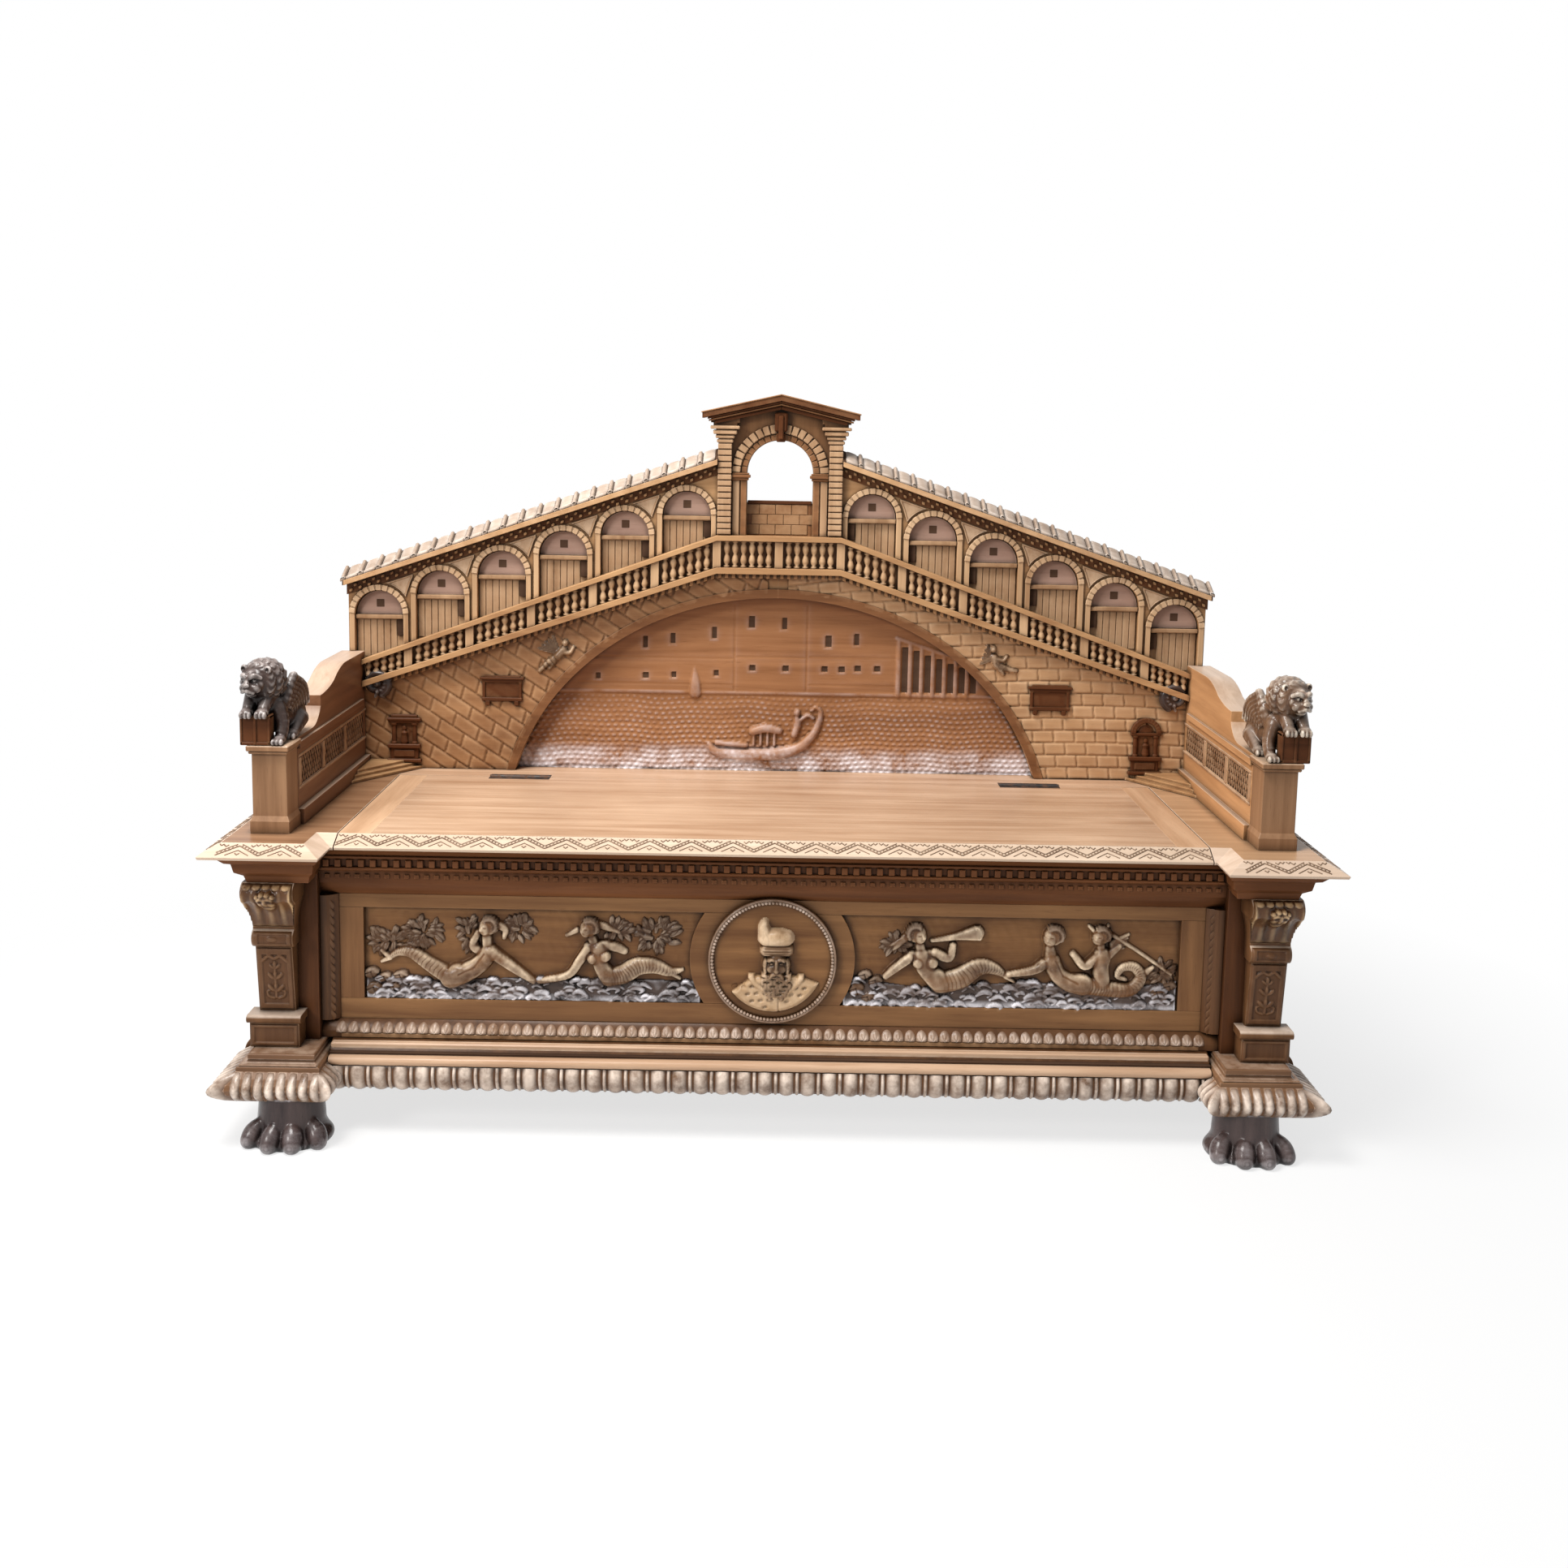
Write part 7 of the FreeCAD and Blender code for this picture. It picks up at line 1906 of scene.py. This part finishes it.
def stone_field(face, along, up, course, length, seed):
    """Blocks in courses with sunk joints; along and up are distances on the wall."""
    level = np.floor(up / course)
    shifted = along / length + 0.5 * np.mod(level, 2.0)
    stone = np.floor(shifted)
    joint = np.minimum(np.abs(up / course - np.round(up / course)) * course,
                       np.abs(shifted - np.round(shifted)) * length)
    tone = np.mod(np.sin(level * 12.9 + stone * 78.2 + seed) * 437.5, 1.0)
    face.height += 3.4 - 3.2 * np.exp(-(joint / 1.5) ** 2) + 0.9 * tone
    face.pale += 0.3 * tone


def spandrel_facing(side):
    """Stone facing of one side of the bridge with a small winged figure."""
    x_span = (-arm_inner - 1.0, -20.0) if side < 0 else (20.0, arm_inner + 1.0)
    face = Relief(x_span, (seat_top + 1.0, foot_rail_crown + 4.0), 2.2)
    if side < 0:
        lean = math.radians(33.0)
        up = face.z * math.cos(lean) + face.x * math.sin(lean)
        along = face.x * math.cos(lean) - 0.45 * face.z * math.sin(lean)
        stone_field(face, along, up, 27.0, 46.0, 1.0)
        body = [(-423, 771), (-435, 757), (-454, 743), (-470, 727)]
        arm = [(-428, 766), (-411, 765), (-404, 775)]
        head = (-420, 784)
        root, tips = (-434, 763), [(-445 - 7 * k, 795 - 6 * k) for k in range(5)]
    else:
        up = face.z + 0.00012 * (face.x - 640.0) ** 2
        stone_field(face, face.x + 0.12 * face.z, up, 25.0, 42.0, 4.0)
        body = [(431, 770), (437, 755), (453, 748), (476, 743)]
        arm = [(435, 767), (449, 764), (456, 772)]
        head = (429, 786)
        root, tips = (426, 766), [(417 - 3 * k, 792 - 9 * k) for k in range(5)]
    face.kind = FIGURE
    for tip in tips:
        face.limb([root, tip], [5.3, 3.0], 4.0, 0.8, 0.8)
        face.groove([root, tip], 1.2, 2.2)
    face.limb(body, [7.6, 8.4, 6.8, 3.8], 4.5, 0.95, 1.2)
    hip, knee = np.array(body[1]), np.array(body[2])
    face.limb([hip, 0.5 * (hip + knee) - (0.0, 7.0), knee - (2.0 * side, 12.0)], [6.0, 5.4, 3.0], 5.0, 0.95, 1.0)
    for k in range(4):
        spot = hip + (knee - hip) * (0.2 + 0.4 * k)
        face.groove([spot + (-5.0, 5.0), spot + (4.0, -7.0)], 1.4, 2.8)
    face.limb(arm, [4.6, 3.8, 2.8], 7.0, 0.95, 1.0)
    face.mound(head, (6.2, 7.0), 10.0, 5.0, 0.0, 1.0)
    bare = (arch_share(face, 9.0) > 1.0) & (face.z < foot_z(face.x) + 4.0)
    face.keen = np.where(face.zone == FIGURE, 3.2, 1.1)
    end = "left" if side < 0 else "right"
    carved_pieces(face, wall_front, bare, (
        ("stone_facing_" + end, GROUND, facing_wood if side < 0 else sunlit_facing),
        ("winged_figure_" + end, FIGURE, beard_wood)))


def parapet_stones():
    """Courses of stone on the board seen through the portico, under a dark coping."""
    stone = block((-15.7, -1.8, -9.7), (15.7, 1.0, 9.7), 0.9)
    meshes = []
    for level in range(3):
        z = handrail_crown + 10.0 + 20.0 * level
        shift = 16.0 * (level % 2)
        meshes.append(row(stone, facing_wood, 4, (-56.0 + shift, backing_front, z), (40.0 + shift, backing_front, z)))
    piece("parapet_stones", meshes, facing_wood, smooth=False)
    top = seat_top + 545.0
    coping = block((-64.0, backing_front - 3.0, top - 6.0), (64.0, backing_front + 12.0, top + 0.6), 1.2)
    piece("parapet_coping", coping, gable_wood, smooth=False)


def wall_bars(bars, x=0.0, z=0.0):
    """Blocks on the bridge wall about a place, each from two corners and its reach."""
    return [block((x + a[0], wall_front - reach, z + a[1]), (x + b[0], wall_front + 0.5, z + b[1]), 1.2)
            for a, b, reach in bars]


def wall_tablet(x, z):
    """Framed tablet left bare, with bracket feet and a stepped cornice."""
    bars = [((-34, -19), (34, 19), 6.0), ((-40, 15), (40, 22), 9.0), ((-44, 21), (44, 26), 12.0),
            ((-36, 25), (36, 29), 9.0), ((-40, -22), (40, -15), 10.0), ((-39, -18), (-33, 18), 9.0),
            ((33, -18), (39, 18), 9.0), ((-33, -31), (-24, -21), 10.0), ((24, -31), (33, -21), 10.0)]
    return wall_bars(bars, x, z)


def wall_shrine(rounded):
    """Small bracketed shrine: pedestal, ledge, two columns and a cap, flat or rounded."""
    y = wall_front
    bars = [((-20, 30), (20, 70), 5.0), ((-28, 0), (28, 6), 13.0), ((-23, 5), (23, 25), 9.0),
            ((-17, 9), (17, 21), 11.0), ((-27, 24), (27, 31), 13.5), ((-25, 66), (25, 71), 11.0)]
    if not rounded:
        bars += [((-28, 70), (28, 75), 13.0), ((-22, 74), (22, 80), 9.0)]
    meshes = wall_bars(bars)
    column = turned("column", [(5.0, 0.0), (5.0, 3.0), (3.4, 5.0), (3.8, 18.0), (3.1, 31.0), (5.2, 33.0),
                               (5.2, 36.0)], 12)
    meshes += [moved(column, Matrix.Translation((17.0 * side, y - 7.0, 30.5))) for side in (-1.0, 1.0)]
    figure = turned("figure", [(5.5, 0.0), (6.5, 4.0), (4.6, 14.0), (5.6, 19.0), (2.4, 22.5), (3.8, 25.0),
                               (3.4, 29.0), (0.8, 31.0)], 12)
    meshes.append(moved(figure, Matrix.Translation((0.0, y - 6.5, 31.0))))
    if rounded:
        rib = block((17.0, -12.0, -3.4), (25.0, 0.5, 3.4), 1.0)
        meshes.append(arc_of(rib, gable_wood, 13, (0.0, y, 71.0), 0.0, 0.5 * math.pi / 13.0, math.pi / 13.0))
        hood = [(0.5, 0.0), (18.0, 0.0), (16.0, 3.0), (9.0, 7.0), (0.5, 8.0)]
        shell = turned("shell", list(reversed([(r, -h) for r, h in hood])), 20)
        place = Matrix.Translation((0.0, y + 0.4, 71.0)) @ Matrix.Rotation(math.radians(-90.0), 4, "X")
        meshes.append(moved(shell, place))
    return meshes


def wall_pieces():
    """Two tablets and two shrines on the bridge wall."""
    meshes = wall_tablet(-545.0, seat_top + 162.0) + wall_tablet(545.0, seat_top + 162.0)
    size = Matrix.Diagonal((1.2, 1.0, 1.2, 1.0))
    for x, rounded in ((-740.0, False), (740.0, True)):
        place = Matrix.Translation((x, 0.0, seat_top + 13.0)) @ size
        meshes += [moved(mesh, place) for mesh in wall_shrine(rounded)]
    piece("wall_pieces", meshes, gable_wood, smooth=False, instead_of="wall_plaques")


# Consoles: carving draped on their fronts

def drape(node, xs, zs):
    """Depth of a solid's front at each place, not a number where there is none."""
    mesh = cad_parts[node].data
    tree = BVHTree.FromPolygons([v.co for v in mesh.vertices], [p.vertices for p in mesh.polygons])
    depth = np.full(xs.shape, np.nan)
    for spot in np.ndindex(xs.shape):
        hit = tree.ray_cast(Vector((xs[spot] / METRE, -1.0, zs[spot] / METRE)), Vector((0.0, 1.0, 0.0)))
        if hit[0] is not None:
            depth[spot] = hit[0].y * METRE
    return depth


def console_sheet(name, half_width, z_span, carve, finish):
    """Carved sheet on the front of both consoles; its edges sink into them."""
    face = Relief((-half_width, half_width), z_span, 1.3)
    carve(face)
    rim = np.minimum(half_width - np.abs(face.x), np.minimum(face.z - z_span[0], z_span[1] - face.z))
    face.height = (face.height + 1.0) * np.clip(rim / 2.0, 0.0, 1.0) - 0.5
    face.keen = 2.2
    face.x = face.x + console_middle
    depth = drape("console_right", face.x, face.z)
    piece(name, face.sheet(name, depth, np.isfinite(depth)), finish, twin=True)


def carve_shaft(face):
    """Sunk panel with a bracketed frame, a bell flower and leaves."""
    low, high = 220.0, 326.0
    inside = (np.abs(face.x) < 21.0) & (face.z > low + 8.0) & (face.z < high - 8.0)
    face.height += np.where(inside, 0.0, 2.6)
    face.limb([(-21, high - 20), (-10, high - 11), (0, high - 15), (10, high - 11), (21, high - 20)],
              [3, 3, 3, 3, 3], 1.0, 0.8, 0.8)
    face.limb([(0, 240), (0, 296)], [2.4, 2.0], 1.0, 0.9, 0.8)
    for z, size in ((252, 12), (274, 11), (292, 8)):
        for side in (-1, 1):
            face.mound((0.62 * size * side, z + 4), (0.75 * size, 0.32 * size), 3.0, 1.0, side * 0.75, 0.8)
        face.mound((0, z + 8), (3.2, 6.5), 3.4, 1.2, 0.0, 0.8)
    for side in (-1, 1):
        face.limb([(4 * side, 238), (13 * side, 242), (15 * side, 250), (10 * side, 252)], [2.4, 2.2, 1.8, 1.4],
                  1.0, 0.9, 0.8)


def carve_plinth(face):
    """Plain sunk panel in a frame."""
    inside = (np.abs(face.x) < 33.0) & (face.z > 166.0) & (face.z < 192.0)
    face.height += np.where(inside, 0.0, 2.2)


def carve_neck(face):
    """Small sunk frame with a boss."""
    inside = (np.abs(face.x) < 24.0) & (face.z > 340.0) & (face.z < 355.0)
    face.height += np.where(inside, 0.2, 2.4)
    face.mound((0, 347.5), (9.0, 4.6), 2.6, 0.4, 0.0, 0.6)


def carve_scroll(face):
    """Fluted barrel of the scroll with a small round mask under its rim."""
    rise = np.sqrt(np.clip(1.0 - ((face.z - 409.0) / 42.0) ** 2, 0.0, 1.0))
    flute = 0.5 + 0.5 * np.cos(2.0 * np.pi * face.x / 21.0)
    face.height += rise * (5.0 + 3.5 * flute)
    for k in range(5):
        face.mound((-32.0 + 16.0 * k, 444.0), (7.0, 4.6), 4.0, 4.0, 0.0, 0.8)

    def spot(x, z):
        return 1.1 * x, 421.0 + 0.95 * z

    face.mound(spot(0, -2), (15.0, 19.0), 10.0, 6.0, 0.0, 2.5)
    for side in (-1, 1):
        face.limb([spot(2.0 * side, 6), spot(6 * side, 8), spot(10 * side, 5)], [2.4, 2.8, 2.0], 14.5, 0.7, 1.2)
        face.groove([spot(4.0 * side, 2.5), spot(7.5 * side, 2.5)], 1.8, 3.0)
        face.mound(spot(6.5 * side, -5), (5.0, 4.4), 3.0, 14.0, 0.0, 2.0)
        for k in range(2):
            face.mound(spot((4 + 7 * k) * side, 14 - 4 * k), (4.6, 4.2), 6.0, 11.0 - 2.0 * k, 0.0, 1.0)
    face.limb([spot(0, 6), spot(0, -5)], [2.4, 4.0], 15.5, 0.8, 1.2)
    face.groove([spot(-4.5, -12), spot(4.5, -12)], 1.4, 2.4)


def consoles():
    """The four carved parts of a console's front."""
    for part, half_width, z_span, carve, finish in (
            ("shaft", 29.5, (217.0, 330.0), carve_shaft, console_wood),
            ("plinth", 40.5, (159.0, 198.0), carve_plinth, console_wood),
            ("neck", 33.0, (334.0, 360.0), carve_neck, console_wood),
            ("scroll", 42.5, (366.0, 449.0), carve_scroll, volute_wood)):
        console_sheet("console_" + part + "_carved", half_width, z_span, carve, finish)


# Arms and rail ends

def arm_lattice():
    """Crossed bars in the three sunk panels of each arm, the bars between the panels and the caps of the posts."""
    panel_length = 127.7
    bar_gap = 14.0
    fronts = [-152.0 + panel * (panel_length + bar_gap) for panel in range(3)]
    floor = 823.0
    cell = (14.2, 24.0)
    panel_foot = seat_top + 66.0
    panel_head = panel_foot + 2 * cell[1]
    lean = math.atan2(cell[1], cell[0])
    length = math.hypot(*cell)
    bar = block((-3.2, -0.5 * length, -1.3), (0.4, 0.5 * length, 1.3), 0.6)
    cross = joined("cross", [moved(bar, Matrix.Rotation(angle, 4, "X")) for angle in (lean, -lean)])
    crosses, grounds, bars = [], [], []
    for front in fronts:
        first = front + 0.5 * cell[0]
        for level in range(2):
            z = panel_foot + (level + 0.5) * cell[1]
            crosses.append(row(cross, lattice_wood, 9, (floor, first, z), (floor, first + 8 * cell[0], z)))
        # Painted shade: a dark sheet on the panel floor behind the crossed bars.
        grounds.append(block((floor - 0.6, front, panel_foot), (floor + 1.0, front + panel_length, panel_head), 0.2))
        bars.append(block((floor - 6.5, front - bar_gap + 1.0, panel_foot),
                          (floor - 3.0, front - 1.0, panel_head), 1.0))
    for z in (panel_foot - 6.5, panel_head + 1.5):
        bars.append(block((floor - 6.5, fronts[0] - bar_gap + 1.0, z), (floor - 3.0, wall_front, z + 5.0), 1.0))
    caps = [block((post_inner - reach, post_low[1] - reach, post_high[2] + low),
                  (post_high[0] + reach - 4.0, post_low[1] + 66.0, post_high[2] + high), 1.6)
            for reach, low, high in ((3.5, -15.0, -10.0), (6.5, -10.0, -0.4))]
    for name, meshes, finish in (("arm_lattice", crosses, lattice_wood), ("lattice_bars", bars, post_wood),
                                 ("lattice_ground", grounds, shadow_wood), ("post_caps", caps, post_wood)):
        piece(name, meshes, finish, smooth=False, twin=True)


def rail_scrolls():
    """Dark leaf scroll at the foot of each handrail, against the arm."""
    form = Figure((-34, -14, -36), (30, 16, 34), 1.6)
    turns = []
    for k in range(22):
        angle = 0.5 * k
        reach = 4.0 + 0.95 * k
        turns.append((reach * math.cos(angle), 0.0, reach * math.sin(angle)))
    form.limb(turns, [5.5 + 0.14 * k for k in range(22)], 1.0)
    form.blend(form.ball((0, -4, 0), (7, 7, 7)), 1.5)
    for k in range(5):
        angle = math.radians(150.0 + 28.0 * k)
        form.limb([(16 * math.cos(angle), -4, 16 * math.sin(angle)),
                   (27 * math.cos(angle + 0.25), -2, 27 * math.sin(angle + 0.25))], [5.5, 2.5], 1.5)
    one = form.mesh("rail_scroll", np.array((arm_inner - 27.0, rail_front + 14.0, foot_z(arm_inner) + 6.0)))
    piece("rail_scrolls", one, dark_wood, twin=True)


scene_board()
spandrel_facing(-1)
spandrel_facing(1)
parapet_stones()
wall_pieces()
consoles()
arm_lattice()
rail_scrolls()
